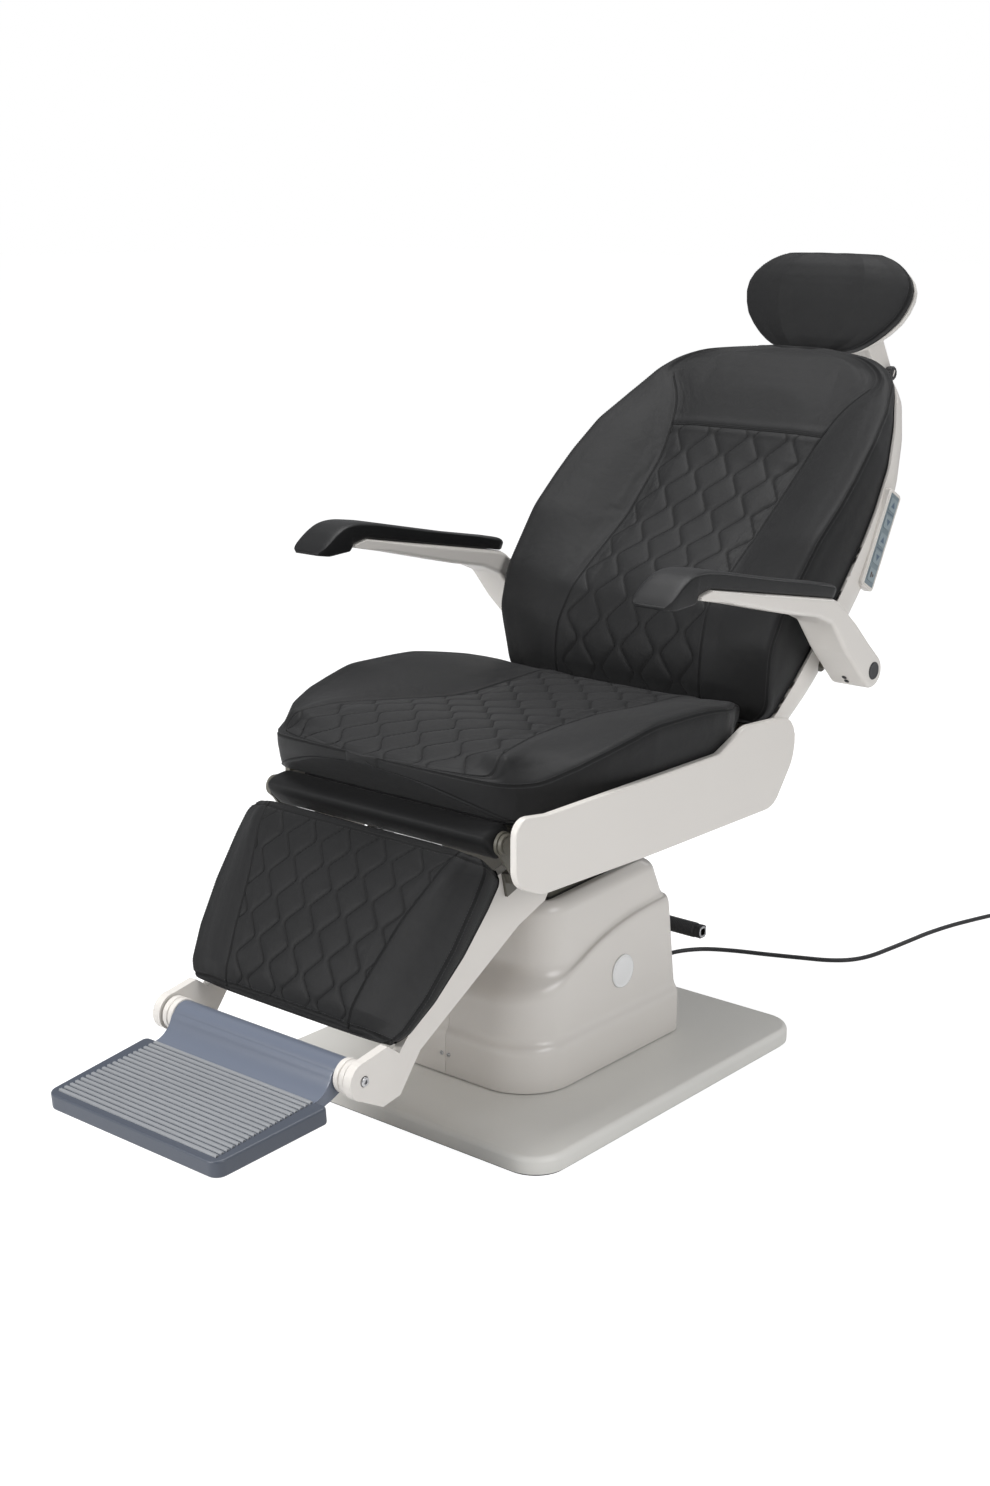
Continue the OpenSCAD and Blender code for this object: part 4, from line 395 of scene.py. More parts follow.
base_half_w, base_half_l, base_low, base_high = 0.3, 0.348, 0.003, 0.03
base_corner, base_edge = 0.055, 0.009
base_rings = []
for inset, height in ((0.0012, base_low), (0.0003, base_low + 0.0004), (0, base_low + 0.0015)):
    base_rings.append((inset, height))
for angle in range(0, 91, 9):
    a = math.radians(angle)
    base_rings.append((base_edge * (1 - math.cos(a)), base_high - base_edge * (1 - math.sin(a))))
rings = []
for inset, height in base_rings:
    outline = round_box(base_half_w - inset, -base_half_l + inset, base_half_l - inset, base_corner - inset)
    rings.append(at_level(outline, height))
base_paint = skin_material("base_paint", (0.74, 0.728, 0.69), 0.42, height=0.16, grain=420, drift=0.03)
base_plate = stacked_rings("base_plate_coated", rings)
keep_flats_flat(base_plate)
finish_piece(base_plate, base_paint, "base_paint", "base", "base_plate")


def finish_node(material, *names):
    """A CAD node keeps its mesh and gets its finish."""
    for name in names:
        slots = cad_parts[name].data.materials
        slots.clear()
        slots.append(material)


finish_node(black_rubber, "base_mat", "rim_seal")

# Pedestal cover
# Two thin plastic half shells that meet at a seam a little right of the middle: a skirt, a tier whose lip
# sweeps up towards the rear, and a tapering upper part round the lift column. Screws close the seam.

cover_half, cover_rear, cover_low, cover_front_corner, cover_rear_corner = 0.164, 0.2, 0.032, 0.09, 0.026
skirt_height, ledge_height, lip_height, top_height, top_slope = 0.068, 0.012, 0.236, 0.311, 0.02
lip_sweep = ((0, 0.62), (0.065, 0.645), (0.13, 0.67), (0.195, 0.71), (0.31, 0.80), (0.42, 0.885),
             (0.54, 0.94), (0.66, 0.98), (0.80, 1), (1, 1))
foot_sweep = ((0, 0.80), (0.13, 0.795), (0.20, 0.785), (0.27, 0.79), (0.35, 0.83), (0.46, 0.90),
              (0.58, 0.955), (0.70, 0.985), (0.88, 1.01), (1, 1.015))


def eased_table(pairs, spread=0.02):
    """A smooth function through a table of shares."""
    at, value = np.array(pairs).T
    fine = np.linspace(-0.1, 1.1, 961)
    reach = round(3 * spread * 800)
    weight = np.exp(-0.5 * (np.arange(-reach, reach + 1) / (spread * 800)) ** 2)
    straight = np.interp(fine, at, value)
    straight[fine < 0] = 2 * value[0] - np.interp(-fine[fine < 0], at, value)
    straight[fine > 1] = 2 * value[-1] - np.interp(2 - fine[fine > 1], at, value)
    smooth = np.convolve(np.pad(straight, reach, mode="edge"), weight / weight.sum(), mode="valid")
    return lambda k: np.interp(k, fine, smooth)


def cover_outline(half, y0, y1, front, rear):
    """Plan of a tier, with even steps round its corners and along its sides."""
    sides = 30
    left = np.column_stack([np.full(sides, -half), np.linspace(y1 - rear, y0 + front, sides + 2)[1:-1]])
    right = np.column_stack([np.full(sides, half), np.linspace(y0 + front, y1 - rear, sides + 2)[1:-1]])
    return np.concatenate([
        turned_corner((half - rear, y1 - rear), rear, 0, 10),
        turned_corner((-half + rear, y1 - rear), rear, 90, 10), left,
        turned_corner((-half + front, y0 + front), front, 180, 26),
        turned_corner((half - front, y0 + front), front, 270, 26),
        right])


lip_rise, foot_rise = eased_table(lip_sweep, 0.035), eased_table(foot_sweep, 0.03)


def along_cover(outline):
    """The share of the cover's length, from its front, at each point of an outline."""
    return (outline[:, 1] + cover_rear) / (2 * cover_rear)


def at_sweep(outline, rise):
    return np.column_stack([outline, cover_low + lip_height * rise(along_cover(outline))])


def at_slope(outline, drop):
    height = cover_low + top_height - (1 - along_cover(outline)) * top_slope - drop
    return np.column_stack([outline, height])


tier = cover_outline(cover_half - 0.007, -0.19, 0.198, cover_front_corner, cover_rear_corner)
skirt = cover_outline(cover_half, -cover_rear, cover_rear, cover_front_corner, cover_rear_corner)
lip = cover_outline(cover_half - 0.007, -0.19, 0.178, cover_front_corner, cover_rear_corner)
shoulder = cover_outline(cover_half - 0.018, -0.15, 0.173, 0.062, cover_rear_corner)
neck = cover_outline(cover_half - 0.023, -0.143, 0.152, 0.062, cover_rear_corner)
crown = cover_outline(cover_half - 0.034, -0.132, 0.134, 0.049, cover_rear_corner)
mouth = cover_outline(0.119, -0.124, 0.072, 0.026, 0.026)
profile = [at_level(skirt, cover_low), at_level(skirt, cover_low + skirt_height),
           at_level(tier, cover_low + skirt_height + ledge_height), at_sweep(lip, lip_rise),
           at_sweep(shoulder, foot_rise), at_slope(neck, 0.013), at_slope(crown, 0), at_slope(mouth, 0)]
bends = [0, 0.009, 0.01, 0.017, 0.013, 0.009, 0.007, 0.0015]


def rounded_profile(rings, radii, steps=7):
    """Rings of a profile in which every bend is a smooth curve."""
    out = [rings[0]]
    for before, here, after, radius in zip(rings[:-2], rings[1:-1], rings[2:], radii[1:-1]):
        down, up = before - here, after - here
        down_len = np.linalg.norm(down, axis=1)[:, None]
        up_len = np.linalg.norm(up, axis=1)[:, None]
        a = here + down / down_len * np.minimum(radius, down_len * 0.48)
        b = here + up / up_len * np.minimum(radius, up_len * 0.48)
        for u in np.linspace(0, 1, steps):
            out.append((1 - u) ** 2 * a + 2 * u * (1 - u) * here + u * u * b)
    return out + [rings[-1]]


cover_skin = skin_material("cover_shell", (0.68, 0.65, 0.612), 0.3, height=0.09, grain=520, drift=0.025)
cover_seam, cover_gap = -0.013, 0.00035


def cover_part(name, side):
    """One half of the cover: the skin cut at the seam and given its wall."""
    rings = rounded_profile(profile, bends)
    rings.insert(1, rings[0] * (0.6, 0.6, 0.6) + rings[1] * (0.4, 0.4, 0.4))
    whole = mesh_piece(name, np.concatenate(rings), grid_faces(len(rings), len(rings[0]), True))
    shell = bmesh.new()
    shell.from_mesh(whole.data)
    bmesh.ops.recalc_face_normals(shell, faces=shell.faces)
    bmesh.ops.bisect_plane(shell, geom=shell.verts[:] + shell.edges[:] + shell.faces[:], dist=1e-6,
                           plane_co=(cover_seam + side * cover_gap, 0, 0), plane_no=(side, 0, 0),
                           clear_inner=True)
    shell.to_mesh(whole.data)
    shell.free()
    wall = whole.modifiers.new("wall", "SOLIDIFY")
    wall.thickness = 0.003
    wall.offset = -1
    edge = whole.modifiers.new("edge", "BEVEL")
    edge.width = 0.0006
    edge.segments = 2
    edge.angle_limit = math.radians(50)
    edge.harden_normals = False
    bake_modifiers(whole)
    whole.data.polygons.foreach_set("use_smooth", [True] * len(whole.data.polygons))
    whole.data.set_sharp_from_angle(angle=math.radians(50))
    return whole


cover_left = cover_part("cover_left_moulding", 1)
cover_right = cover_part("cover_right_moulding", -1)
finish_piece(cover_left, cover_skin, "cover_shell", "base", "cover_left")
finish_piece(cover_right, cover_skin, "cover_shell", "base", "cover_right")

steel = skin_material("steel", (0.55, 0.55, 0.56), 0.3, height=0.12, grain=1800, drift=0.12, metal=1)


def socket_head(radius, height, sides=24):
    """Dished screw head with a hexagonal socket, standing on the XY plane."""
    turn = np.linspace(0, 2 * math.pi, sides, endpoint=False)
    hexagon = radius * 0.42 / np.maximum(1e-6, np.cos((turn % (math.pi / 3)) - math.pi / 6))
    levels = [(radius, 0), (radius, height * 0.55), (radius * 0.93, height * 0.86), (radius * 0.8, height)]
    rings = [np.column_stack([r * np.cos(turn), r * np.sin(turn), np.full(sides, z)]) for r, z in levels]
    for scale, z in ((1.06, height), (1, height * 0.9), (1, height * 0.1)):
        rings.append(np.column_stack([scale * hexagon * np.cos(turn), scale * hexagon * np.sin(turn),
                                      np.full(sides, z)]))
    return np.concatenate(rings), capped_faces(len(rings), sides)


def placing_tree():
    """Geometry Nodes: one part on every point, with its Z axis along the point's direction."""
    tree = bpy.data.node_groups.new("part_on_points", "GeometryNodeTree")
    face = tree.interface
    face.new_socket("Geometry", in_out="INPUT", socket_type="NodeSocketGeometry")
    face.new_socket("Part", in_out="INPUT", socket_type="NodeSocketObject")
    face.new_socket("Finish", in_out="INPUT", socket_type="NodeSocketMaterial")
    face.new_socket("Size", in_out="INPUT", socket_type="NodeSocketFloat").default_value = 1
    face.new_socket("Geometry", in_out="OUTPUT", socket_type="NodeSocketGeometry")
    n, wire = tree.nodes, tree.links.new
    given, made = n.new("NodeGroupInput"), n.new("NodeGroupOutput")
    way, along = n.new("GeometryNodeInputNamedAttribute"), n.new("GeometryNodeInputNamedAttribute")
    for node, label in ((way, "way"), (along, "along")):
        node.data_type = "FLOAT_VECTOR"
        node.inputs["Name"].default_value = label
    up, spin = n.new("FunctionNodeAlignRotationToVector"), n.new("FunctionNodeAlignRotationToVector")
    up.axis, spin.axis = "Z", "X"
    spin.pivot_axis = "Z"
    wire(way.outputs["Attribute"], up.inputs["Vector"])
    wire(up.outputs[0], spin.inputs["Rotation"])
    wire(along.outputs["Attribute"], spin.inputs["Vector"])
    part, place = n.new("GeometryNodeObjectInfo"), n.new("GeometryNodeInstanceOnPoints")
    wire(given.outputs["Part"], part.inputs["Object"])
    wire(given.outputs["Geometry"], place.inputs["Points"])
    wire(part.outputs["Geometry"], place.inputs["Instance"])
    wire(spin.outputs[0], place.inputs["Rotation"])
    wire(given.outputs["Size"], place.inputs["Scale"])
    solid, dress = n.new("GeometryNodeRealizeInstances"), n.new("GeometryNodeSetMaterial")
    wire(place.outputs["Instances"], solid.inputs["Geometry"])
    wire(solid.outputs[0], dress.inputs["Geometry"])
    wire(given.outputs["Finish"], dress.inputs["Material"])
    wire(dress.outputs[0], made.inputs["Geometry"])
    return tree


part_on_points = placing_tree()


def repeated(name, part, points, ways, alongs, material):
    """A mesh of one part repeated on points."""
    holder = mesh_piece(name, points, [], smooth=False)
    for label, values in (("way", ways), ("along", alongs)):
        field = holder.data.attributes.new(label, "FLOAT_VECTOR", "POINT")
        field.data.foreach_set("vector", np.asarray(values, float).ravel())
    one = mesh_piece(name + "_part", *part)
    one.data.set_sharp_from_angle(angle=math.radians(40))
    copier = holder.modifiers.new("repeat", "NODES")
    copier.node_group = part_on_points
    socket = {item.name: item.identifier for item in part_on_points.interface.items_tree
              if item.in_out == "INPUT"}
    copier[socket["Part"]] = one
    copier[socket["Finish"]] = material
    copier[socket["Size"]] = 1.0
    bake_modifiers(holder)
    bpy.data.objects.remove(one)
    for label in ("way", "along"):
        if label in holder.data.attributes:
            holder.data.attributes.remove(holder.data.attributes[label])
    return holder


screw_height = 0.066
screw_points = [(cover_seam + x * 0.007, y * 0.2003, screw_height) for x in (-1, 1) for y in (-1, 1)]
screw_ways = [(0, math.copysign(1, p[1]), 0) for p in screw_points]
seam_screws = repeated("seam_screws", socket_head(0.0035, 0.0018), screw_points, screw_ways,
                       [(1, 0, 0)] * 4, steel)
finish_piece(seam_screws, steel, "steel", "base", "cover_trim")

badge_rings = [(0, 0.0275), (0.0018, 0.0275), (0.0026, 0.027), (0.003, 0.026), (0.003, 0.0252),
               (0.0026, 0.0246), (0.0024, 0.0238), (0.0026, 0.02), (0.0029, 0.012), (0.003, 0.004)]
badge = turned("side_disc", (0.1571, 0.036, 0.178), (1, 0, 0), badge_rings, 64)
badge_finish = skin_material("badge_finish", (0.78, 0.78, 0.775), 0.22, height=0.03, coat=0.4)
finish_piece(badge, badge_finish, "cover_shell", "base")

# Lift column, its cover, the swivel and the foot lever's bracket
# Square steel tubes slide in each other on plastic pads, round a linear motor. A folded steel sleeve hides
# them and rises with the seat, which turns on a flat bearing ring.

frame_paint = skin_material("frame_paint", (0.115, 0.108, 0.088), 0.42, height=0.2, grain=500, drift=0.1)
dark_plastic = skin_material("dark_plastic", (0.03, 0.03, 0.032), 0.42, height=0.2, grain=700, drift=0.1)


def eased(node, name, material, slot, body, width, steps=3, angle=38, flat=0.5):
    """A copy of a CAD piece with its corners rounded, as paint and casting leave them."""
    piece = bpy.data.objects.new(name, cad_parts[node].data.copy())
    bpy.context.scene.collection.objects.link(piece)
    solid = bmesh.new()
    solid.from_mesh(piece.data)
    bmesh.ops.remove_doubles(solid, verts=solid.verts, dist=2e-6)
    bmesh.ops.dissolve_limit(solid, angle_limit=math.radians(flat), verts=solid.verts, edges=solid.edges)
    solid.to_mesh(piece.data)
    solid.free()
    piece.data.polygons.foreach_set("use_smooth", [True] * len(piece.data.polygons))
    edge = piece.modifiers.new("edge", "BEVEL")
    edge.width = width
    edge.segments = steps
    edge.limit_method = "ANGLE"
    edge.angle_limit = math.radians(angle)
    edge.use_clamp_overlap = True
    bake_modifiers(piece)
    keep_flats_flat(piece)
    finish_piece(piece, material, slot, body, node)
    return piece


finish_node(steel, "outer_column", "lift_actuator", "inner_column", "lift_rod", "bearing_ring", "swivel_hub",
            "recline_rod", "leg_rod", "leg_tube")
finish_node(dark_plastic, "guide_pads", "control_box", "recline_motor", "leg_motor")
finish_node(frame_paint, "hinge_tube")
eased("lift_cover", "lift_sleeve", frame_paint, "frame_paint", "lift", 0.0012)
eased("lever_bracket", "lever_mount", frame_paint, "frame_paint", "base", 0.001)

# Foot lever
# A steel arm behind the pedestal carries a cross bar with two ribbed rubber sleeves, which the foot
# presses to free the swivel. Square rubber collars with pale caps close the bar's ends.

eased("lever_arm", "lever_arm_steel", steel, "steel", "foot_lever", 0.0008)
bar_y, bar_z, bar_start = 0.3, 0.163, 0.02
sleeve_rib = ((0, 0.0129), (0.0004, 0.0131), (0.0011, 0.0131), (0.0015, 0.0129), (0.0019, 0.0121),
              (0.0027, 0.0121))
sleeve_pitch = 0.0032
sleeve_rings = [(0, 0.0108), (0.0008, 0.0124)]
for i in range(30):
    sleeve_rings += [(0.0022 + sleeve_pitch * i + at, radius) for at, radius in sleeve_rib]
sleeve_rings += [(0.0985, 0.0124), (0.0992, 0.0108)]
turn = np.radians(np.linspace(0, 360, 65)[:-1])
square = np.column_stack([np.sign(np.cos(turn)) * np.abs(np.cos(turn)) ** 0.62,
                          np.sign(np.sin(turn)) * np.abs(np.sin(turn)) ** 0.62])
collar_levels = ((0.0994, 0.0098), (0.1, 0.0108), (0.1104, 0.0112), (0.1111, 0.0109), (0.1114, 0.0102))
cap_levels = ((0.111, 0.0072), (0.1115, 0.0072), (0.1119, 0.0069), (0.112, 0.0064))


def at_side(outline, x):
    """Points of a side view at one place across it."""
    return np.column_stack([np.full(len(outline), x), outline])


for side, label in ((-1, "right"), (1, "left")):
    sleeve = turned("lever_sleeve_" + label, (side * bar_start, bar_y, bar_z), (side, 0, 0), sleeve_rings, 40)
    finish_piece(sleeve, black_rubber, "black_rubber", "foot_lever", "lever_grips")
    for kind, levels, finish, slot in (("collar", collar_levels, black_rubber, "black_rubber"),
                                       ("cap", cap_levels, cover_skin, "cover_shell")):
        piece = stacked_rings("lever_%s_%s" % (kind, label), [
            at_side((bar_y, bar_z) + half * square, side * (bar_start + d)) for d, half in levels])
        keep_flats_flat(piece, 50)
        finish_piece(piece, finish, slot, "foot_lever")

# Seat frame, boards and side plates
# A welded and painted steel frame carries the plywood boards of the cushions. Folded steel side plates,
# powder-coated like the covers, are screwed to its rails and hide the mechanism.


def ply_material():
    """Birch plywood: a streaked grain of pale and darker browns."""
    material = bpy.data.materials.new("board_wood")
    material.use_nodes = True
    n, wire = material.node_tree.nodes, material.node_tree.links.new
    surface = n["Principled BSDF"]
    place, stretch = n.new("ShaderNodeTexCoord"), n.new("ShaderNodeMapping")
    stretch.inputs["Scale"].default_value = (40, 3, 40)
    grain, tone, bump = n.new("ShaderNodeTexNoise"), n.new("ShaderNodeValToRGB"), n.new("ShaderNodeBump")
    grain.inputs["Scale"].default_value = 4
    grain.inputs["Detail"].default_value = 6
    tone.color_ramp.elements[0].color = (0.36, 0.24, 0.13, 1)
    tone.color_ramp.elements[1].color = (0.58, 0.43, 0.26, 1)
    bump.inputs["Strength"].default_value = 0.2
    bump.inputs["Distance"].default_value = 0.0005
    wire(place.outputs["Object"], stretch.inputs["Vector"])
    wire(stretch.outputs["Vector"], grain.inputs["Vector"])
    wire(grain.outputs["Fac"], tone.inputs["Fac"])
    wire(tone.outputs["Color"], surface.inputs["Base Color"])
    wire(grain.outputs["Fac"], bump.inputs["Height"])
    wire(bump.outputs["Normal"], surface.inputs["Normal"])
    surface.inputs["Roughness"].default_value = 0.6
    return material


board_wood = ply_material()
dust_cloth = skin_material("dust_cloth", (0.014, 0.014, 0.015), 0.8, height=0.5, grain=2200)
finish_node(board_wood, "leg_board", "back_board")
finish_node(dust_cloth, "seat_board")
eased("seat_frame", "seat_frame_painted", frame_paint, "frame_paint", "seat", 0.0012)
for side in ("left", "right"):
    eased("side_plate_" + side, "side_plate_%s_coated" % side, cover_skin, "cover_shell", "seat", 0.0026, 4)

# Seat cushion
# Foam on a board under soft charcoal leather: a quilted middle between two smooth bolsters, sewn along
# inner and outer seams, with a plain band round its sides and a rounded front over the knees.


def hide_group():
    """Shader group: the pebbled grain and soft creases of upholstery leather, with painted shade that darkens
    its seams.
    """
    group, given, made = shader_group("hide_grain", (
        ("Seam Tone", 0.35), ("Grain Scale", 1300), ("Grain Height", 0.25), ("Crease Height", 0.3),
        ("Roughness", 0.5)))
    n, wire = group.nodes, group.links.new

    def maths(kind, a, b=None, c=None):
        node = n.new("ShaderNodeMath")
        node.operation = kind
        for i, value in enumerate((a, b, c)):
            if value is None:
                continue
            if isinstance(value, (int, float)):
                node.inputs[i].default_value = value
            else:
                wire(value, node.inputs[i])
        return node.outputs[0]

    place, sewn = n.new("ShaderNodeTexCoord"), n.new("ShaderNodeAttribute")
    sewn.attribute_name = "seam"
    warp, pebble, cloud, wrinkle = (n.new(kind) for kind in (
        "ShaderNodeTexNoise", "ShaderNodeTexVoronoi", "ShaderNodeTexNoise", "ShaderNodeTexNoise"))
    warp.inputs["Scale"].default_value = 260
    blend = n.new("ShaderNodeMix")
    blend.data_type = "VECTOR"
    blend.inputs["Factor"].default_value = 0.0016
    wire(place.outputs["Object"], warp.inputs["Vector"])
    wire(place.outputs["Object"], blend.inputs["A"])
    wire(warp.outputs["Color"], blend.inputs["B"])
    pebble.feature = "DISTANCE_TO_EDGE"
    wire(blend.outputs["Result"], pebble.inputs["Vector"])
    wire(given.outputs["Grain Scale"], pebble.inputs["Scale"])
    cloud.inputs["Scale"].default_value = 9
    cloud.inputs["Detail"].default_value = 4
    wire(place.outputs["Object"], cloud.inputs["Vector"])
    wrinkle.inputs["Scale"].default_value = 38
    wrinkle.inputs["Detail"].default_value = 5
    wrinkle.inputs["Distortion"].default_value = 1.2
    wire(place.outputs["Object"], wrinkle.inputs["Vector"])
    # Painted shade: the colour is a little darker in the grooves between the grain's pebbles.
    valley = maths("MINIMUM", maths("MULTIPLY", pebble.outputs["Distance"], 3.5), 1)
    tone = maths("MULTIPLY_ADD", maths("SUBTRACT", cloud.outputs["Fac"], 0.5), 0.35, 1)
    tone = maths("MULTIPLY", tone, maths("MULTIPLY_ADD", valley, 0.14, 0.89))
    # Painted shade: the colour darkens along the seam mask, where the seams and quilting lines lie in shadow
    # in their grooves.
    shade = maths("MULTIPLY", sewn.outputs["Fac"], given.outputs["Seam Tone"])
    tone = maths("MULTIPLY", tone, maths("SUBTRACT", 1, shade))
    tint = n.new("ShaderNodeVectorMath")
    tint.operation = "SCALE"
    wire(given.outputs["Color"], tint.inputs[0])
    wire(tone, tint.inputs["Scale"])
    wire(tint.outputs[0], made.inputs["Color"])
    dull = maths("MULTIPLY_ADD", maths("SUBTRACT", cloud.outputs["Fac"], 0.5), 0.22, 1)
    dull = maths("MULTIPLY_ADD", sewn.outputs["Fac"], 0.25, dull)
    wire(maths("MULTIPLY", given.outputs["Roughness"], dull), made.inputs["Roughness"])
    fine, broad = n.new("ShaderNodeBump"), n.new("ShaderNodeBump")
    fine.inputs["Distance"].default_value = 0.0003
    broad.inputs["Distance"].default_value = 0.0016
    wire(given.outputs["Grain Height"], fine.inputs["Strength"])
    wire(valley, fine.inputs["Height"])
    wire(given.outputs["Crease Height"], broad.inputs["Strength"])
    wire(wrinkle.outputs["Fac"], broad.inputs["Height"])
    wire(broad.outputs["Normal"], fine.inputs["Normal"])
    wire(fine.outputs["Normal"], made.inputs["Normal"])
    return group


hide_grain = hide_group()


def leather(name, colour, roughness, grain_scale=1300, grain=0.25, crease=0.3, sheen=0.04, gloss=0.16):
    """Coated upholstery leather."""
    material, surface = grouped_material(name, hide_grain, (
        ("Color", (*colour, 1)), ("Seam Tone", 0.8), ("Grain Scale", grain_scale), ("Grain Height", grain),
        ("Crease Height", crease), ("Roughness", roughness)))
    surface.inputs["Sheen Weight"].default_value = sheen
    surface.inputs["Specular IOR Level"].default_value = gloss
    surface.inputs["Sheen Roughness"].default_value = 0.5
    return material


upholstery = leather("upholstery", (0.0142, 0.0142, 0.0146), 0.5, gloss=0.15)
thread = skin_material("sewing_thread", (0.02, 0.02, 0.021), 0.6, height=0.4, grain=3000)
# Near-black, darker than the leather and the thread: painted shade laid in the sewn channels.
channel_shade = skin_material("channel_shade", (0.0018, 0.0018, 0.002), 0.85, height=0.1, grain=3000)


def section_curve(half, inner, rear, seam, centre, draw, crown, bolster_crown, bulge, dome, fine=480):
    """Cross-section of a sewn cushion for each row, as (rows, fine, 2) of side and depth. It runs from the
    rear's left corner round the left side and the face to the right, with a fixed share for each part."""
    def rows(v):
        return np.asarray(v, float)[:, None]

    half, inner, rear, seam, centre = map(rows, (half, inner, rear, seam, centre))
    crown, bolster_crown, draw, bulge, dome = map(rows, (crown, bolster_crown, draw, bulge, dome))

    def domed(side, depth):
        whole = seam + (centre - seam) * (1 - np.clip(np.abs(side / half), 0, 1) ** 2.6) ** 0.75
        return [side, depth + dome * (whole - depth)]

    counts = (fine // 16, fine // 6, fine // 3, fine // 6, fine // 16)
    g = np.linspace(0, 1, counts[0], endpoint=False)[None]
    side = [half - draw * (1 - g) + bulge * np.sin(math.pi * g), rear + (seam - rear) * g]
    f = np.linspace(0, 1, counts[1], endpoint=False)[None]
    turn = 1 - f
    bolster = domed(half + (inner - half) * f,
                    centre + (seam - centre) * turn * turn * (3 - 2 * turn) + 4 * bolster_crown * f * (1 - f))
    m = np.linspace(1, -1, counts[2], endpoint=False)[None]
    middle = domed(inner * m, centre + crown * (1 - m * m))
    left = [np.concatenate([p[0], p[1], p[2]], 1) for p in zip(side, bolster, middle)]
    bolster_x, bolster_z = bolster[0][:, :0:-1], bolster[1][:, :0:-1]
    right = [np.concatenate([-inner, -bolster_x, -half, -side[0][:, :0:-1], -side[0][:, :1]], 1),
             np.concatenate([middle[1][:, :1], bolster_z, seam, side[1][:, :0:-1], side[1][:, :1]], 1)]
    curve = np.stack([np.concatenate([left[0], right[0]], 1), np.concatenate([left[1], right[1]], 1)], 2)
    marks = np.cumsum([0, *counts])
    marks[-1] = curve.shape[1] - 1
    return curve, marks


def round_over(curve, passes):
    """Softens the corners of each row's curve, and keeps its two ends."""
    out = curve.copy()
    for _ in range(passes):
        out[:, 1:-1] += 0.5 * ((out[:, :-2] + out[:, 2:]) / 2 - out[:, 1:-1])
    return out


def column_shares(marks, plan):
    """Places of the columns along the curve, closer at its seams. plan gives the columns of each part."""
    total = marks[-1]
    out = []
    for start, end, count in zip(marks[:-1], marks[1:], plan):
        u = np.linspace(0, 1, count, endpoint=False)
        lean = u - 0.11 * np.sin(2 * math.pi * u)
        out.append((start + (end - start) * lean) / total)
    return np.concatenate(out + [[1.0]])


def sampled(curve, shares):
    """Rows of a curve at given shares of its own points."""
    at = shares * (curve.shape[1] - 1)
    low = np.clip(np.floor(at).astype(int), 0, curve.shape[1] - 2)
    part = (at - low)[None, :, None]
    return curve[:, low] * (1 - part) + curve[:, low + 1] * part


def surface_normals(grid):
    """Outward normals of a grid of points whose columns run round the section."""
    along = np.gradient(grid, axis=0)
    round_ = np.gradient(grid, axis=1)
    normal = np.cross(along, round_)
    return normal / np.maximum(np.linalg.norm(normal, axis=2), 1e-12)[..., None]


def round_normals(grid):
    """Outward normals of a grid of points whose columns close into a ring."""
    return surface_normals(np.concatenate([grid[:, -1:], grid, grid[:, :1]], 1))[:, 1:-1]


quilt_margin, quilt_numbers = 0.0024, range(-8, 9)


def quilt_wave(number, along, quilt):
    """How far a quilting line stands off its middle. Each line is its neighbour's mirror image."""
    amplitude = quilt["spacing"] / 2 - quilt_margin
    turn = 2 * math.pi * (along - quilt.get("start", 0)) / quilt["pitch"]
    return (-1) ** number * amplitude * (2 / math.pi) * np.arcsin(0.9 * np.sin(turn))


def quilt_distance(x, along, quilt):
    """Distance from points to the nearest quilting line."""
    best = np.full(x.shape, 1.0)
    slope = (quilt["spacing"] / 2 - quilt_margin) * 4 / quilt["pitch"]
    for i in quilt_numbers:
        aside = np.abs(x - i * quilt["spacing"] - quilt_wave(i, along, quilt))
        best = np.minimum(best, aside / math.sqrt(1 + 0.75 * slope ** 2))
    return best


def seam_line(grid, normal, row_shares, column_shares, lift):
    """Points on a grid at given places of its rows and columns, raised by lift along the normals."""
    r = np.clip(row_shares, 0, grid.shape[0] - 1.001)
    c = np.clip(column_shares, 0, grid.shape[1] - 1.001)
    r0, c0 = r.astype(int), c.astype(int)
    fr, fc = (r - r0)[:, None], (c - c0)[:, None]

    def mixed(field):
        return ((field[r0, c0] * (1 - fr) + field[r0 + 1, c0] * fr) * (1 - fc)
                + (field[r0, c0 + 1] * (1 - fr) + field[r0 + 1, c0 + 1] * fr) * fc)

    ways = mixed(normal)
    ways /= np.linalg.norm(ways, axis=1)[:, None]
    return mixed(grid) + ways * lift, ways


def stitch_part(length=0.0034, radius=0.00032):
    """One stitch: a short round thread that dips at both ends."""
    turn = np.linspace(0, 2 * math.pi, 5, endpoint=False)
    rings = []
    for at, r, z in ((-0.5, 0.5, -0.9), (-0.3, 1, 0.25), (0.3, 1, 0.25), (0.5, 0.5, -0.9)):
        rings.append(np.column_stack([np.full(5, at * length), r * radius * np.cos(turn),
                                      radius * (z + r * np.sin(turn))]))
    return np.concatenate(rings), capped_faces(4, 5)


def stitched(name, lines, pitch=0.0046):
    """Stitches along lines of (points, normals)."""
    points, ways, alongs = [], [], []
    for line, up in lines:
        step = np.linalg.norm(np.diff(line, axis=0), axis=1)
        reach = np.concatenate([[0], np.cumsum(step)])
        if reach[-1] < pitch:
            continue
        at = np.arange(pitch / 2, reach[-1], pitch)
        place = np.column_stack([np.interp(at, reach, line[:, k]) for k in range(3)])
        points.append(place)
        ways.append(np.column_stack([np.interp(at, reach, up[:, k]) for k in range(3)]))
        alongs.append(np.gradient(place, axis=0) if len(place) > 1 else np.ones_like(place))
    return repeated(name, stitch_part(), np.concatenate(points), np.concatenate(ways),
                    np.concatenate(alongs), thread)


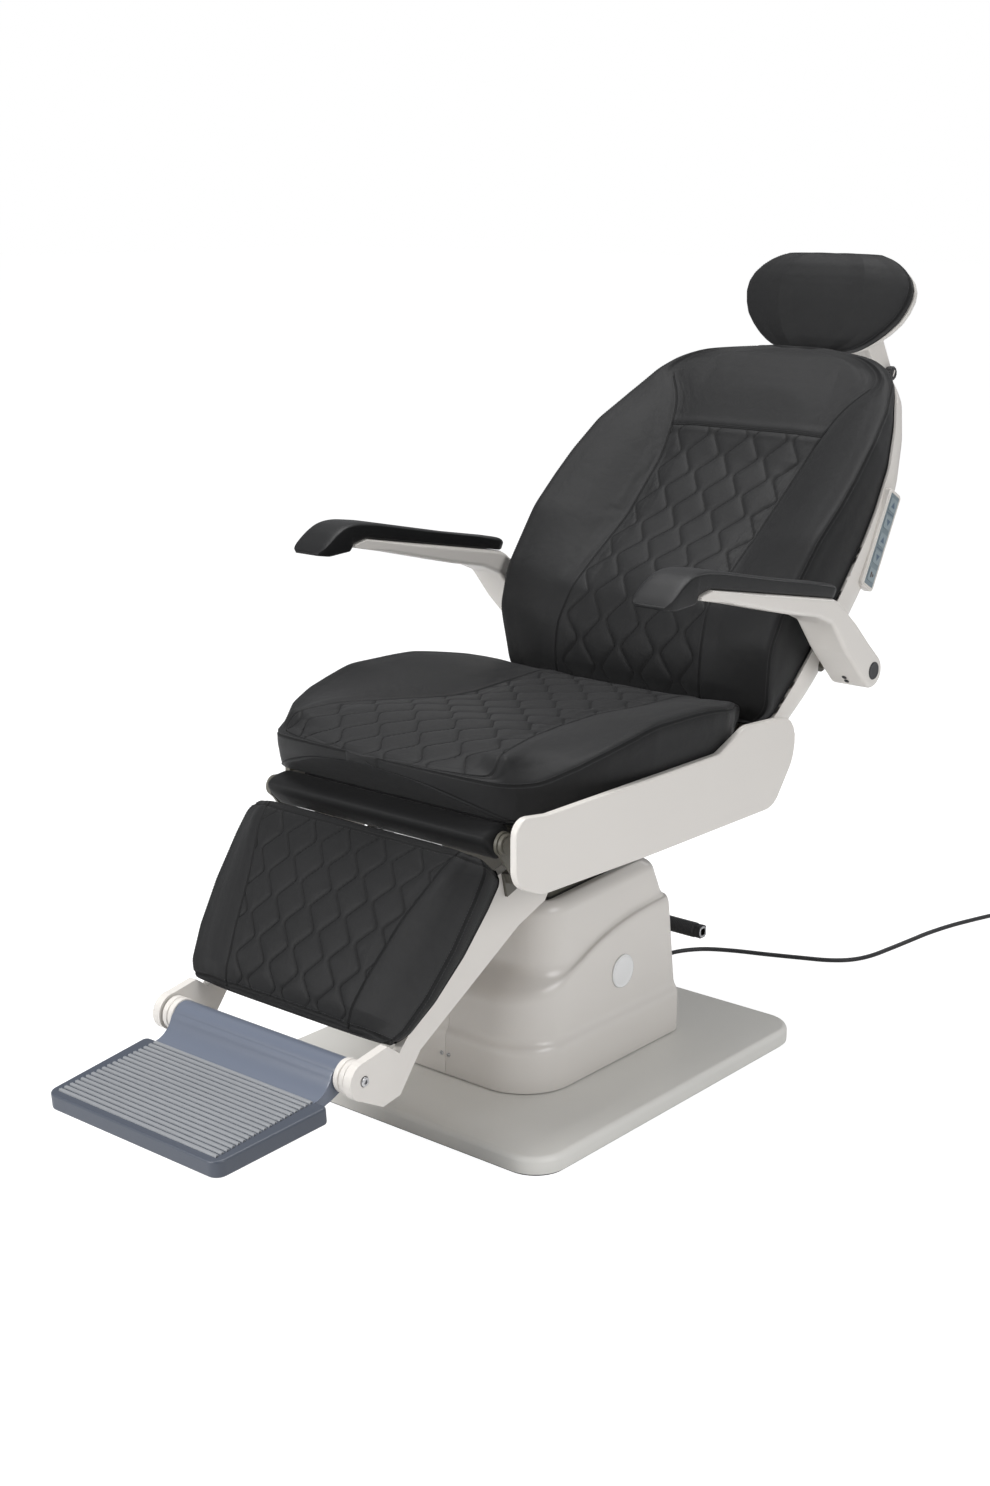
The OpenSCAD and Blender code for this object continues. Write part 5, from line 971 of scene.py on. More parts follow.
def plumped(name, grid, held, cap, voxel=0.008):
    """How far each point of a cushion moves when its cover fills: a coarse closed copy runs as cloth under
    pressure, held where it is sewn down, and its movement is read back for every point."""
    step, sewn_reach = 3, 0.014
    rows = np.unique(np.append(np.arange(0, grid.shape[0], step), grid.shape[0] - 1))
    columns = np.arange(0, grid.shape[1], step)
    coarse = grid[rows][:, columns]
    count = len(columns)
    cover = mesh_piece(name, coarse.reshape(-1, 3), capped_faces(len(rows), count))
    weave = cover.modifiers.new("weave", "REMESH")
    weave.mode = "VOXEL"
    weave.voxel_size = voxel
    bake_modifiers(cover)
    start = np.empty(len(cover.data.vertices) * 3)
    cover.data.vertices.foreach_get("co", start)
    start = start.reshape(-1, 3)
    seams = KDTree(len(held))
    for i, p in enumerate(held):
        seams.insert(p, i)
    seams.balance()
    pinned = cover.vertex_groups.new(name="sewn")
    for i, p in enumerate(start):
        near = seams.find(p)[2]
        if near < sewn_reach:
            pinned.add([i], min(1.0, 1.6 * (1 - near / sewn_reach)), "REPLACE")
    cloth = cover.modifiers.new("fill", "CLOTH")
    cloth.settings.quality = 4
    cloth.settings.mass = 0.3
    cloth.settings.tension_stiffness = cloth.settings.compression_stiffness = 25
    cloth.settings.shear_stiffness = 10
    cloth.settings.bending_stiffness = 0.8
    cloth.settings.use_pressure = True
    cloth.settings.uniform_pressure_force = 4
    cloth.settings.vertex_group_mass = "sewn"
    cloth.settings.effector_weights.gravity = 0
    cloth.collision_settings.use_collision = False
    for time in range(1, 21):
        bpy.context.scene.frame_set(time)
    bake_modifiers(cover)
    end = np.empty(len(start) * 3)
    cover.data.vertices.foreach_get("co", end)
    moved = end.reshape(-1, 3) - start
    bpy.data.objects.remove(cover)
    bpy.context.scene.frame_set(1)
    reach = np.linalg.norm(moved, axis=1)[:, None]
    moved *= np.minimum(1, cap / np.maximum(reach, 1e-9))
    tree = KDTree(len(start))
    for i, p in enumerate(start):
        tree.insert(p, i)
    tree.balance()
    out = np.zeros_like(coarse)
    for r in range(coarse.shape[0]):
        for c in range(coarse.shape[1]):
            found = tree.find_n(coarse[r, c], 6)
            weight = np.array([math.exp(-(d / 0.009) ** 2) + 1e-6 for _, _, d in found])
            out[r, c] = (moved[[i for _, i, _ in found]] * weight[:, None]).sum(0) / weight.sum()
    dense_r = np.arange(grid.shape[0])
    by_rows = np.stack([[np.interp(dense_r, rows, out[:, c, k]) for c in range(count)] for k in range(3)])
    dense_c = np.arange(grid.shape[1])
    whole = np.concatenate([by_rows, by_rows[:, :1]], 1)
    places = np.append(columns, grid.shape[1])
    return np.stack([[np.interp(dense_c, places, whole[k, :, r]) for r in range(grid.shape[0])]
                     for k in range(3)], 2)


def sewn_cushion(name, place, s, half, inner, rear, seam, centre, plan, draw=0.006, crown=0.0,
                 bolster_crown=0.009, bulge=0.003, passes=60, end_round=0.004, quilt=None, cross_seams=(),
                 end_seams=(), inner_until=2.0, fill_cap=0.006, groove=0.0022, dome=0.0):
    """A closed cushion over rows at s. plan gives the columns of its side, bolster and middle. Returns the
    piece, its grid, its normals, the columns of its seams and its rows' places."""
    count = len(s)
    full = [np.broadcast_to(np.asarray(v, float), (count,)) for v in (half, inner, rear, seam, centre)]
    extra = [np.broadcast_to(np.asarray(v, float), (count,))
             for v in (draw, crown, bolster_crown, bulge, dome)]
    curve, marks = section_curve(*full, *extra)
    curve = round_over(curve, passes)
    parts = [plan[0], plan[1], plan[2], plan[1], plan[0]]
    grid2 = sampled(curve, column_shares(marks, parts))
    first, last = grid2[:, :1], grid2[:, -1:]
    back = np.linspace(0, 1, plan[3] + 2)[None, 1:-1, None]
    ring = np.concatenate([grid2, last + (first - last) * back], 1)
    rows, rings = [], []
    turn = np.radians(np.linspace(90, 0, 7)[:-1])
    for a in turn:
        middle = ring[0].mean(0)
        rows.append(s[0] - end_round * math.sin(a))
        rings.append(middle + (ring[0] - middle) * max(0.02, math.cos(a)))
    rows += list(s)
    rings += list(ring)
    for a in turn[::-1]:
        middle = ring[-1].mean(0)
        rows.append(s[-1] + end_round * math.sin(a))
        rings.append(middle + (ring[-1] - middle) * max(0.02, math.cos(a)))
    rows, rings = np.array(rows), np.array(rings)
    face_columns = grid2.shape[1]
    grid = place(rings[..., 0], rows[:, None], rings[..., 1])
    marks = np.cumsum([0, *parts])
    across = np.cumsum(np.linalg.norm(np.diff(grid, axis=1), axis=2), axis=1)
    arc = np.concatenate([np.zeros((len(rows), 1)), across], 1)
    normal = round_normals(grid)
    face = slice(0, face_columns)
    to_outer = np.minimum(np.abs(arc - arc[:, marks[1], None]), np.abs(arc - arc[:, marks[4], None]))
    to_inner = np.minimum(np.abs(arc - arc[:, marks[2], None]), np.abs(arc - arc[:, marks[3], None]))
    middle_line = (marks[2] + marks[3]) // 2
    travel = np.concatenate([[0], np.cumsum(np.linalg.norm(np.diff(grid[:, middle_line], axis=0), axis=1))])
    held = [grid[:, c] for c in (marks[1], marks[2], marks[3], marks[4])]
    held += [grid[:, face_columns - 1:].reshape(-1, 3), grid[:, 0], grid[:8].reshape(-1, 3),
             grid[-8:].reshape(-1, 3)]
    held = np.concatenate(held)[::2]
    shrink = np.minimum(1, np.minimum(to_outer, to_inner) / 0.03)[..., None] * fill_cap * 0.5
    shrink[:, face_columns:] = 0
    grid = grid - normal * shrink
    grid = grid + plumped(name + "_fill", grid, held, fill_cap)
    normal = round_normals(grid)

    height = np.zeros(arc.shape)
    # sewn marks the seams and quilting lines; the leather shader darkens its colour there as painted shade,
    # and makes it rougher.
    sewn = np.zeros(arc.shape)
    until = np.clip((inner_until - rows) / 0.012, 0, 1)[:, None]

    def press(distance, depth, width, mask=1.0):
        line = np.exp(-(distance / width) ** 2) * mask
        np.subtract(height, depth * line, out=height)
        np.maximum(sewn, np.exp(-(distance / (width * 0.75)) ** 2) * mask, out=sewn)

    on_face = np.zeros(arc.shape[1])
    on_face[face] = 1
    middle = np.zeros(arc.shape[1])
    middle[marks[2]:marks[3] + 1] = 1
    number = np.arange(len(rows))
    end_fade = np.clip(np.minimum(number - 5, len(rows) - 6 - number) / 4, 0, 1)[:, None]
    if quilt:
        low, high, at = quilt["from"], quilt["to"], rows[:, None]
        d = quilt_distance(grid[..., 0], travel[:, None] - np.interp(low, rows, travel), quilt)
        inside = middle[None] * np.clip((at - low) / 0.004, 0, 1) * np.clip((high - at) / 0.004, 0, 1)
        soft = np.minimum(1, to_inner / 0.02) * inside * end_fade
        ends = np.minimum(np.abs(at - low), np.abs(at - high))
        soft = soft * np.minimum(1, ends / 0.014)
        height += soft * quilt["puff"] * (1 - np.exp(-(d / 0.0075) ** 1.4))
        press(d, 0.0012, 0.0016, inside * np.minimum(1, to_inner / 0.002) * end_fade)
    for at in cross_seams:
        press(np.abs(rows[:, None] - at), groove, 0.0018, middle[None])
        height += 0.0012 * np.exp(-((np.abs(rows[:, None] - at) - 0.009) / 0.007) ** 2) * middle[None]
    for at in end_seams:
        press(np.abs(rows[:, None] - at), groove * 0.8, 0.0016, on_face[None])
    press(to_inner, groove, 0.0018, until * on_face[None] * end_fade)
    press(to_outer, groove * 0.8, 0.0016, on_face[None] * end_fade)
    grid = grid + normal * height[..., None]
    piece = mesh_piece(name, grid.reshape(-1, 3), capped_faces(len(rows), grid.shape[1]))
    # The seam attribute carries the mask of the painted shade along the seams.
    field = piece.data.attributes.new("seam", "FLOAT", "POINT")
    field.data.foreach_set("value", sewn.ravel())
    return dict(piece=piece, grid=grid, normal=round_normals(grid), marks=marks, rows=rows, arc=arc,
                travel=travel)


def beside_seam(cushion, mark, offset, start, end, lift=0.0001):
    """A line of points that follows a seam at a distance, between two places of the rows."""
    rows, arc = cushion["rows"], cushion["arc"]
    at = np.flatnonzero((rows >= start) & (rows <= end))
    columns = [np.interp(arc[r, cushion["marks"][mark]] + offset, arc[r], np.arange(arc.shape[1]))
               for r in at]
    return seam_line(cushion["grid"], cushion["normal"], at.astype(float), np.array(columns), lift)


def across_seam(cushion, at, first=2, last=3, lift=0.0001):
    """A line of points across a cushion, from one of its seams to another."""
    row = np.interp(at, cushion["rows"], np.arange(len(cushion["rows"])))
    columns = np.arange(cushion["marks"][first] + 1.0, cushion["marks"][last])
    return seam_line(cushion["grid"], cushion["normal"], np.full(len(columns), row), columns, lift)


def quilt_lines(cushion, quilt, lift=-0.0002):
    """The quilting lines of a cushion as lines of points on its skin."""
    rows, grid, marks = cushion["rows"], cushion["grid"], cushion["marks"]
    travel = cushion["travel"] - np.interp(quilt["from"], rows, cushion["travel"])
    lines = []
    for i in quilt_numbers:
        run_r, run_c = [], []
        for t in np.arange(0, np.interp(quilt["to"], rows, travel), 0.002):
            x = i * quilt["spacing"] + quilt_wave(i, t, quilt)
            r = float(np.interp(t, travel, np.arange(len(rows))))
            row = -grid[int(r), marks[2]:marks[3] + 1, 0]
            if row[0] + 0.002 < -x < row[-1] - 0.002:
                run_r.append(r)
                run_c.append(marks[2] + float(np.interp(-x, row, np.arange(len(row)))))
            elif run_r:
                lines.append((run_r, run_c))
                run_r, run_c = [], []
        if run_r:
            lines.append((run_r, run_c))
    return [seam_line(grid, cushion["normal"], np.array(r), np.array(c), lift)
            for r, c in lines if len(r) > 4]


def channel_shade_tubes(name, lines, radius=0.001, sides=6):
    """Thin near-black tubes laid in the sewn channels as painted shade, along lines of (points, normals)."""
    points, faces, count = [], [], 0
    turn = np.linspace(0, 2 * math.pi, sides, endpoint=False)[None, :, None]
    for line, up in lines:
        across = np.cross(np.gradient(line, axis=0), up)
        across /= np.linalg.norm(across, axis=1)[:, None]
        rings = line[:, None] + radius * (np.cos(turn) * across[:, None] + np.sin(turn) * up[:, None])
        faces += [tuple(count + v for v in face) for face in capped_faces(len(line), sides)]
        points.append(rings.reshape(-1, 3))
        count += len(line) * sides
    return mesh_piece(name, np.concatenate(points), faces)


def upholstered(cushion, threads, channels, body, nodes):
    """Leather and body of a cushion, its threads and the painted shade in its channels."""
    finish_piece(cushion["piece"], upholstery, "upholstery", body, *nodes)
    finish_piece(threads, thread, "upholstery", body)
    finish_piece(channels, channel_shade, "upholstery", body)


seat_start, seat_length, seat_half, seat_pad, seat_level = -0.393, 0.623, 0.314, 0.1, 0.525
seat_half_shares = ((0, 0.10), (0.006, 0.28), (0.013, 0.37), (0.029, 0.49), (0.053, 0.625), (0.069, 0.688),
                    (0.098, 0.752), (0.149, 0.82), (0.23, 0.92), (0.31, 0.965), (0.39, 0.986), (0.47, 1),
                    (0.71, 1), (0.78, 0.99), (0.82, 0.965), (0.872, 0.905), (0.952, 0.80), (1, 0.76))
seat_rear_shares = ((0, 0.60), (0.029, 0.38), (0.069, 0.14), (0.098, 0.01), (0.12, 0), (1, 0))
seat_seam_shares = ((0, 0.75), (0.069, 0.62), (0.149, 0.59), (0.23, 0.81), (0.31, 0.95), (0.39, 1.05),
                    (0.47, 1.15), (0.631, 1.13), (0.711, 1.10), (0.791, 1.01), (0.872, 0.92),
                    (0.952, 0.79), (1, 0.68))
seat_centre_shares = ((0, 0.77), (0.029, 0.84), (0.069, 0.90), (0.149, 0.95), (0.23, 0.96), (0.31, 0.92),
                      (0.39, 0.87), (0.47, 0.82), (0.551, 0.77), (0.71, 0.75), (0.79, 0.73), (0.96, 0.73),
                      (1, 0.67))
seat_inner_shares = ((0, 0.09), (0.006, 0.265), (0.013, 0.355), (0.029, 0.472), (0.053, 0.602),
                     (0.069, 0.655), (0.085, 0.675), (0.098, 0.66), (0.149, 0.63), (0.23, 0.589),
                     (0.31, 0.529), (0.39, 0.481), (0.47, 0.427), (0.551, 0.392), (0.631, 0.376),
                     (0.711, 0.398), (0.791, 0.424), (1, 0.47))
k = np.concatenate([0.06 * np.linspace(0, 1, 34)[:-1] ** 1.8, np.linspace(0.06, 1, 232)])
seat_quilt = {"from": seat_start + 0.002, "to": seat_start + seat_length, "pitch": 0.08, "spacing": 0.04,
              "puff": 0.0017}


def seat_place(x, s, t):
    return np.stack(np.broadcast_arrays(x, s, seat_level + t), -1)


front_fade = np.minimum(1, k / 0.03)
front_dome = np.clip((0.12 - k) / 0.051, 0, 1)
seat = sewn_cushion(
    "seat_cushion_leather", seat_place, seat_start + k * seat_length,
    seat_half * eased_table(seat_half_shares, 0.006)(k),
    seat_half * eased_table(seat_inner_shares, 0.008)(k), seat_pad * eased_table(seat_rear_shares, 0.008)(k),
    seat_pad * eased_table(seat_seam_shares, 0.02)(k), seat_pad * eased_table(seat_centre_shares, 0.02)(k),
    (22, 44, 150, 40), draw=(0.004 + 0.012 * np.clip((k - 0.1) / 0.2, 0, 1)) * front_fade,
    bolster_crown=0.009 * front_fade * np.minimum(1, (1 - k) / 0.12), bulge=0.006 * front_fade, passes=45,
    quilt=seat_quilt, fill_cap=0.007, dome=front_dome * front_dome * (3 - 2 * front_dome))


def sewn_lines(cushion, quilt, low, high, inner_low, inner_high):
    """The stitches beside a cushion's outer seams, and the channels of its quilting and seams."""
    stitches = [beside_seam(cushion, mark, gap, low, high) for mark in (1, 4) for gap in (-0.0032, 0.0032)]
    channels = quilt_lines(cushion, quilt)
    channels += [beside_seam(cushion, mark, 0, inner_low, inner_high, 0.0001) for mark in (2, 3)]
    return stitches, channels + [beside_seam(cushion, mark, 0, low, high, 0) for mark in (1, 4)]


stitches, channels = sewn_lines(seat, seat_quilt, seat_start + 0.001, seat_start + seat_length,
                                seat_start + 0.04, seat_start + seat_length)
upholstered(seat, stitched("seat_threads", stitches), channel_shade_tubes("seat_channels", channels), "seat",
            ("seat_cushion",))

# Knee roll
# A soft roll under the seat's front edge closes the gap to the leg cushion. Its section is a rounded wedge
# with the nose in front; the leather is drawn round foam on the knee tube and gathered at both ends.

knee_y, knee_z = -0.345, 0.5


def closed_spline(points, steps):
    """Points on a smooth closed curve through the given ones."""
    p = np.asarray(points, float)
    line = smooth_through(np.concatenate([p[-2:], p, p[:3]]), steps)
    return line[2 * steps:(2 + len(p)) * steps]


def round_ends(half, radius, shrink, steps=7, between=2):
    """Places along X and sizes of a prism's sections, so that its ends close over a radius."""
    turn = np.radians(np.linspace(90, 0, steps))
    low = [(-half + radius * (1 - math.sin(a)), 1 - shrink * (1 - math.cos(a))) for a in turn]
    inner = [(x, 1.0) for x in np.linspace(-half + radius, half - radius, between + 2)[1:-1]]
    return low + inner + [(-x, size) for x, size in low[::-1]]


def swept(name, section, stations, middle=None):
    """A closed prism of a (Y, Z) section along X."""
    section = np.asarray(section, float)
    middle = section.mean(0) if middle is None else np.asarray(middle)
    return stacked_rings(name, [at_side(middle + (section - middle) * size, x) for x, size in stations])


roll_points = ((-30.5, 11), (-27.5, 16.5), (-19, 21), (-5, 24), (11, 24.5), (21, 19), (25, 9), (25, -4),
               (19, -16), (9.5, -23.5), (1, -25.5), (-9, -20), (-20, -8.5), (-28, 2))
roll_section = closed_spline(roll_points, 6) / 1000 + (knee_y, knee_z)
roll_stations = [(x, size * (1 + 0.006 * math.sin(23 * x) + 0.004 * math.sin(61 * x + 1)))
                 for x, size in round_ends(0.222, 0.012, 0.42, 9, 70)]
roll = swept("knee_roll_leather", roll_section, roll_stations, (knee_y, knee_z))
finish_piece(roll, upholstery, "upholstery", "seat", "knee_roll")
roll_seam = np.column_stack([np.linspace(-0.214, 0.214, 120), np.full(120, knee_y + 0.0225),
                             np.full(120, knee_z + 0.0135)])
roll_threads = stitched("roll_threads", [(roll_seam, np.tile((0, 0.75, 0.66), (120, 1)))])
finish_piece(roll_threads, thread, "upholstery", "seat")

# Leg rest
# Two cast arms hang from the knee tube and carry the leg cushion on its board. The cushion is quilted between
# two plain bolsters, with a sewn edge all round. Painted angle brackets join the arms to the tube.

leg_lean = math.radians(36.4)


def leg_place(x, s, t):
    """Points at a depth t and a place s along the hanging leg rest."""
    return np.stack(np.broadcast_arrays(x, knee_y + s * math.sin(leg_lean) - t * math.cos(leg_lean),
                                        knee_z + s * math.cos(leg_lean) + t * math.sin(leg_lean)), -1)


def with_close_ends(count, reach=0.05, ends=20):
    """Shares from 0 to 1 that lie close together at both ends."""
    start = reach * np.linspace(0, 1, ends)[:-1] ** 1.7
    return np.concatenate([start, np.linspace(reach, 1 - reach, count), 1 - start[::-1]])


leg_low, leg_length, leg_half, leg_seam, leg_band, leg_puff = -0.319, 0.284, 0.241, 0.027, 0.051, 0.024
leg_half_shares = ((0, 0.80), (0.025, 0.845), (0.08, 0.895), (0.27, 0.958), (0.53, 0.996), (0.79, 1),
                   (0.93, 0.99), (0.97, 0.965), (1, 0.915))
leg_face_shares = ((0, 0.05), (0.03, 0.35), (0.1, 0.7), (0.3, 0.95), (0.6, 1), (0.85, 0.93), (0.95, 0.75),
                   (1, 0.45))
leg_inner_shares = ((0, 0.515), (0.13, 0.53), (0.32, 0.573), (0.59, 0.643), (0.84, 0.747), (1, 0.80))
leg_quilt = {"from": leg_low + 0.006, "to": leg_low + leg_length - 0.009, "pitch": 0.064, "spacing": 0.035,
             "puff": 0.0015, "start": 0.03}
k = with_close_ends(140)
leg_seams = (leg_low + 0.005, leg_low + leg_length - 0.0075)
leg = sewn_cushion(
    "leg_cushion_leather", leg_place, leg_low + k * leg_length,
    leg_half * eased_table(leg_half_shares, 0.012)(k),
    leg_half * eased_table(leg_inner_shares, 0.03)(k), leg_seam - leg_band * (0.37 + 0.63 * k), leg_seam,
    leg_seam + leg_puff * eased_table(leg_face_shares, 0.012)(k), (20, 34, 140, 30), draw=0.005, crown=0.004,
    bolster_crown=0.005 * np.minimum(1, np.minimum(k, 1 - k) / 0.1), bulge=0.003, passes=30, quilt=leg_quilt,
    end_seams=leg_seams, fill_cap=0.005)
stitches, channels = sewn_lines(leg, leg_quilt, leg_low + 0.002, leg_low + leg_length - 0.002,
                                leg_low + 0.006, leg_low + leg_length - 0.008)
for at in leg_seams:
    stitches.append(across_seam(leg, at - math.copysign(0.0034, at + 0.177), 1, 4))
    channels.append(across_seam(leg, at, 1, 4, 0))
upholstered(leg, stitched("leg_threads", stitches), channel_shade_tubes("leg_channels", channels), "leg",
            ("leg_cushion",))
for side in ("left", "right"):
    eased("leg_arm_" + side, "leg_arm_%s_casting" % side, cover_skin, "cover_shell", "leg", 0.003, steps=4)
eased("leg_brackets", "leg_bracket_plates", frame_paint, "frame_paint", "leg", 0.0008)

# Footrest
# A cast plate with slate paint and pale grey ribs slopes down from a thick tube. The plate is a darker slate
# than the tube, as painted shade between the ribs. The tube turns between pale double hubs, and a socket bolt
# through each arm holds it.

foot_y, foot_z = leg_place(0, -0.3794, 0.0445)[1:]
foot_slope, foot_tube_half = math.radians(4.5), 0.163


def foot_place(points):
    """Points of the footrest's own frame, which slopes down to the front."""
    x, y, z = np.asarray(points, float).T
    return np.column_stack([x, foot_y + y * math.cos(foot_slope) - z * math.sin(foot_slope),
                            foot_z + y * math.sin(foot_slope) + z * math.cos(foot_slope)])


def rounded_polygon(corners, radii, inset=0.0, steps=6):
    """Outline of an anticlockwise polygon with round corners, moved inwards, at a fixed number of points."""
    c = np.asarray(corners, float)
    out = []
    for i, wanted in enumerate(radii):
        before, here, after = c[i - 1], c[i], c[(i + 1) % len(c)]
        shortest = min(np.linalg.norm(before - here), np.linalg.norm(after - here))
        u = (before - here) / np.linalg.norm(before - here)
        v = (after - here) / np.linalg.norm(after - here)
        half = math.acos(float(np.clip(u @ v, -1, 1))) / 2
        radius = min(wanted, 0.498 * shortest * math.tan(half))
        bend = (here - before)[0] * (after - here)[1] - (here - before)[1] * (after - here)[0]
        centre = here + (u + v) / np.linalg.norm(u + v) * radius / math.sin(half)
        start, end = (here + w * radius / math.tan(half) - centre for w in (u, v))
        a = math.atan2(start[1], start[0])
        turn = (math.atan2(end[1], end[0]) - a + math.pi) % (2 * math.pi) - math.pi
        shown = max(radius - math.copysign(inset, bend), 2e-5)
        for w in np.linspace(0, 1, steps + 1):
            out.append(centre + shown * np.array((math.cos(a + turn * w), math.sin(a + turn * w))))
    return np.array(out)


def slab_levels(low, high, edge, steps=4):
    """Levels of a slab as (inset, height), with both its edges rounded."""
    turn = np.radians(np.linspace(90, 0, steps + 1))
    levels = [(edge * (1 - math.cos(a)), low + edge * (1 - math.sin(a))) for a in turn]
    return levels + [(inset, low + high - z) for inset, z in levels[::-1]]


def slab(name, corners, radii, low, high, edge, place, steps=6, fade=None, rounds=4):
    """A slab over a polygon with round corners and edges. place sets outline points at a height, and fade
    gives the share of the rounding at each of them."""
    outline = rounded_polygon(corners, radii, 0, steps)
    step_in = (rounded_polygon(corners, radii, edge, steps) - outline) / edge
    if fade is not None:
        step_in *= fade(outline)[:, None]
    piece = stacked_rings(name, [place(outline + step_in * inset, height)
                                 for inset, height in slab_levels(low, high, edge, rounds)])
    keep_flats_flat(piece, 40)
    return piece


foot_paint = skin_material("foot_paint", (0.128, 0.147, 0.19), 0.32, height=0.35, grain=650, drift=0.05)
# Painted shade: the plate is a darker slate than the tube, for the shade between its ribs.
plate_paint_with_shade = skin_material("footplate_paint_with_shade", (0.06, 0.07, 0.092), 0.4, height=0.35, grain=650, drift=0.05)
# The ribs are a paler grey than the plate, with a little metal.
rib_finish = skin_material("pale_ribs", (0.3, 0.31, 0.325), 0.36, height=0.25, grain=700, drift=0.12,
                           metal=0.2)
plate_corners = ((-0.185, -0.056), (-0.172, -0.25), (0.172, -0.25), (0.185, -0.056))
plate_low, plate_high = -0.0425, -0.0175
footplate = slab("footplate_cast", plate_corners, (0.009, 0.018, 0.018, 0.009), plate_low, plate_high,
                 0.0035, lambda outline, z: foot_place(at_level(outline, z)), steps=8)
finish_piece(footplate, plate_paint_with_shade, "foot_paint", "foot", "footplate")
turn = np.radians(np.linspace(0, 360, 73)[:-1])
tube_section = 0.023 * np.column_stack([np.cos(turn), np.sin(turn)])
foot_tube = swept("foot_tube", tube_section, round_ends(foot_tube_half, 0.0025, 0.08, 5), (0, 0))
bend = np.radians(np.linspace(-8, -90, 14))
neck_line = [(-0.0625 + 0.0405 * math.cos(a), 0.0230 + 0.0405 * math.sin(a)) for a in bend]
neck_section = [(-0.012, -0.012), (-0.014, 0.006), (-0.0205, 0.0128)] + neck_line[2:] + [
    (-0.068, -0.0185), (-0.068, -0.033), (-0.058, -0.0345), (-0.03, -0.029), (-0.006, -0.0215)]
foot_neck = swept("foot_neck", neck_section, round_ends(0.162, 0.004, 0.05, 5), (-0.03, -0.012))
for piece in (foot_tube, foot_neck):
    points = np.array([v.co for v in piece.data.vertices])
    piece.data.vertices.foreach_set("co", foot_place(points).ravel())
    keep_flats_flat(piece, 50)
    finish_piece(piece, foot_paint, "foot_paint", "foot")
rib_count = 19
rib_pitch = 0.182 / rib_count
rib_shape = []
for reach, lift, wide in ((1, -0.0006, 0.0034), (1, 0.0011, 0.0032), (0.998, 0.0021, 0.0024),
                          (0.996, 0.0025, 0.0012)):
    half_x = 0.16 * reach
    rib_shape.append(np.array([(x * (half_x - (0.002 if i % 2 else 0)), y * wide, lift)
                               for i, (x, y) in enumerate(((-1, -0.4), (-1, -1), (1, -1), (1, -0.4),
                                                           (1, 0.4), (1, 1), (-1, 1), (-1, 0.4)))]))
rib_points = foot_place([(0, -0.058 - (i + 0.5) * rib_pitch, plate_high) for i in range(rib_count)])
ribs = repeated("footplate_ribs", (np.concatenate(rib_shape), capped_faces(4, 8)), rib_points,
                [(0, -math.sin(foot_slope), math.cos(foot_slope))] * rib_count,
                [(1, 0, 0)] * rib_count, rib_finish)
finish_piece(ribs, rib_finish, "foot_paint", "foot")

hub_rings = [(0, 0.0235), (0.001, 0.0246), (0.0018, 0.025), (0.0078, 0.025), (0.0086, 0.0246),
             (0.0092, 0.0234), (0.0096, 0.0225), (0.0104, 0.0225), (0.0108, 0.0234), (0.0114, 0.0246),
             (0.0122, 0.025), (0.0188, 0.025), (0.0194, 0.0246), (0.0198, 0.0238)]
for side in (-1, 1):
    hub = turned("foot_hub_" + ("right" if side < 0 else "left"), (side * foot_tube_half, foot_y, foot_z),
                 (side, 0, 0), hub_rings, 72)
    keep_flats_flat(hub, 40)
    finish_piece(hub, cover_skin, "cover_shell", "foot", "foot_hubs")
bolt_points = [(side * 0.2003, foot_y, foot_z) for side in (-1, 1)]
foot_bolts = repeated("foot_bolts", socket_head(0.0072, 0.0022, 36), bolt_points, [(-1, 0, 0), (1, 0, 0)],
                      [(0, 1, 0)] * 2, steel)
finish_piece(foot_bolts, steel, "steel", "foot")

# Backrest
# A steel frame carries the board and its cushion, which is quilted between two bolsters that meet the top
# panel. A thin moulded shell, open in front, covers the frame from behind.

back_lean, hinge_y, hinge_z = math.radians(38.95), 0.2, 0.528
eased("back_frame", "back_frame_painted", frame_paint, "frame_paint", "back", 0.0012)


def back_place(x, s, t):
    """Points at a depth t and a place s up the backrest."""
    return np.stack(np.broadcast_arrays(x, hinge_y + s * math.sin(back_lean) - t * math.cos(back_lean),
                                        hinge_z + s * math.cos(back_lean) + t * math.sin(back_lean)), -1)


back_low, back_length, back_half, back_pad = 0.064, 0.726, 0.298, 0.1
back_half_shares = ((0, 0.82), (0.012, 0.87), (0.029, 0.903), (0.058, 0.913), (0.121, 0.94),
                    (0.219, 0.966), (0.285, 0.98), (0.39, 0.993), (0.494, 1), (0.577, 0.993),
                    (0.689, 0.963), (0.796, 0.896), (0.887, 0.812), (0.93, 0.735), (0.966, 0.604),
                    (0.985, 0.46), (1, 0.27))
back_seam_shares = ((0, -0.30), (0.029, -0.12), (0.058, 0.13), (0.121, 0.63), (0.219, 0.84), (0.285, 0.81),
                    (0.39, 0.80), (0.494, 0.63), (0.577, 0.50), (0.689, 0.30), (0.796, 0.01),
                    (0.887, -0.19), (0.966, -0.36), (1, -0.50))
back_centre_shares = ((0, -0.25), (0.017, 0.06), (0.06, 0.32), (0.109, 0.54), (0.198, 0.68), (0.293, 0.49),
                      (0.44, 0.15), (0.631, -0.11), (0.726, -0.14), (0.843, -0.18), (0.966, -0.27),
                      (1, -0.48))
back_inner_shares = ((0, 0.50), (0.109, 0.497), (0.198, 0.463), (0.293, 0.46), (0.44, 0.453),
                     (0.631, 0.48), (0.726, 0.52), (0.792, 0.567), (0.844, 0.644), (0.883, 0.74),
                     (0.93, 0.66), (0.966, 0.50), (1, 0.2))
back_rear_shares = ((0, -0.47), (0.86, -0.47), (0.93, -0.53), (1, -0.66))
back_half_at, back_rear_at = eased_table(back_half_shares, 0.008), eased_table(back_rear_shares, 0.01)
back_cross = 0.591
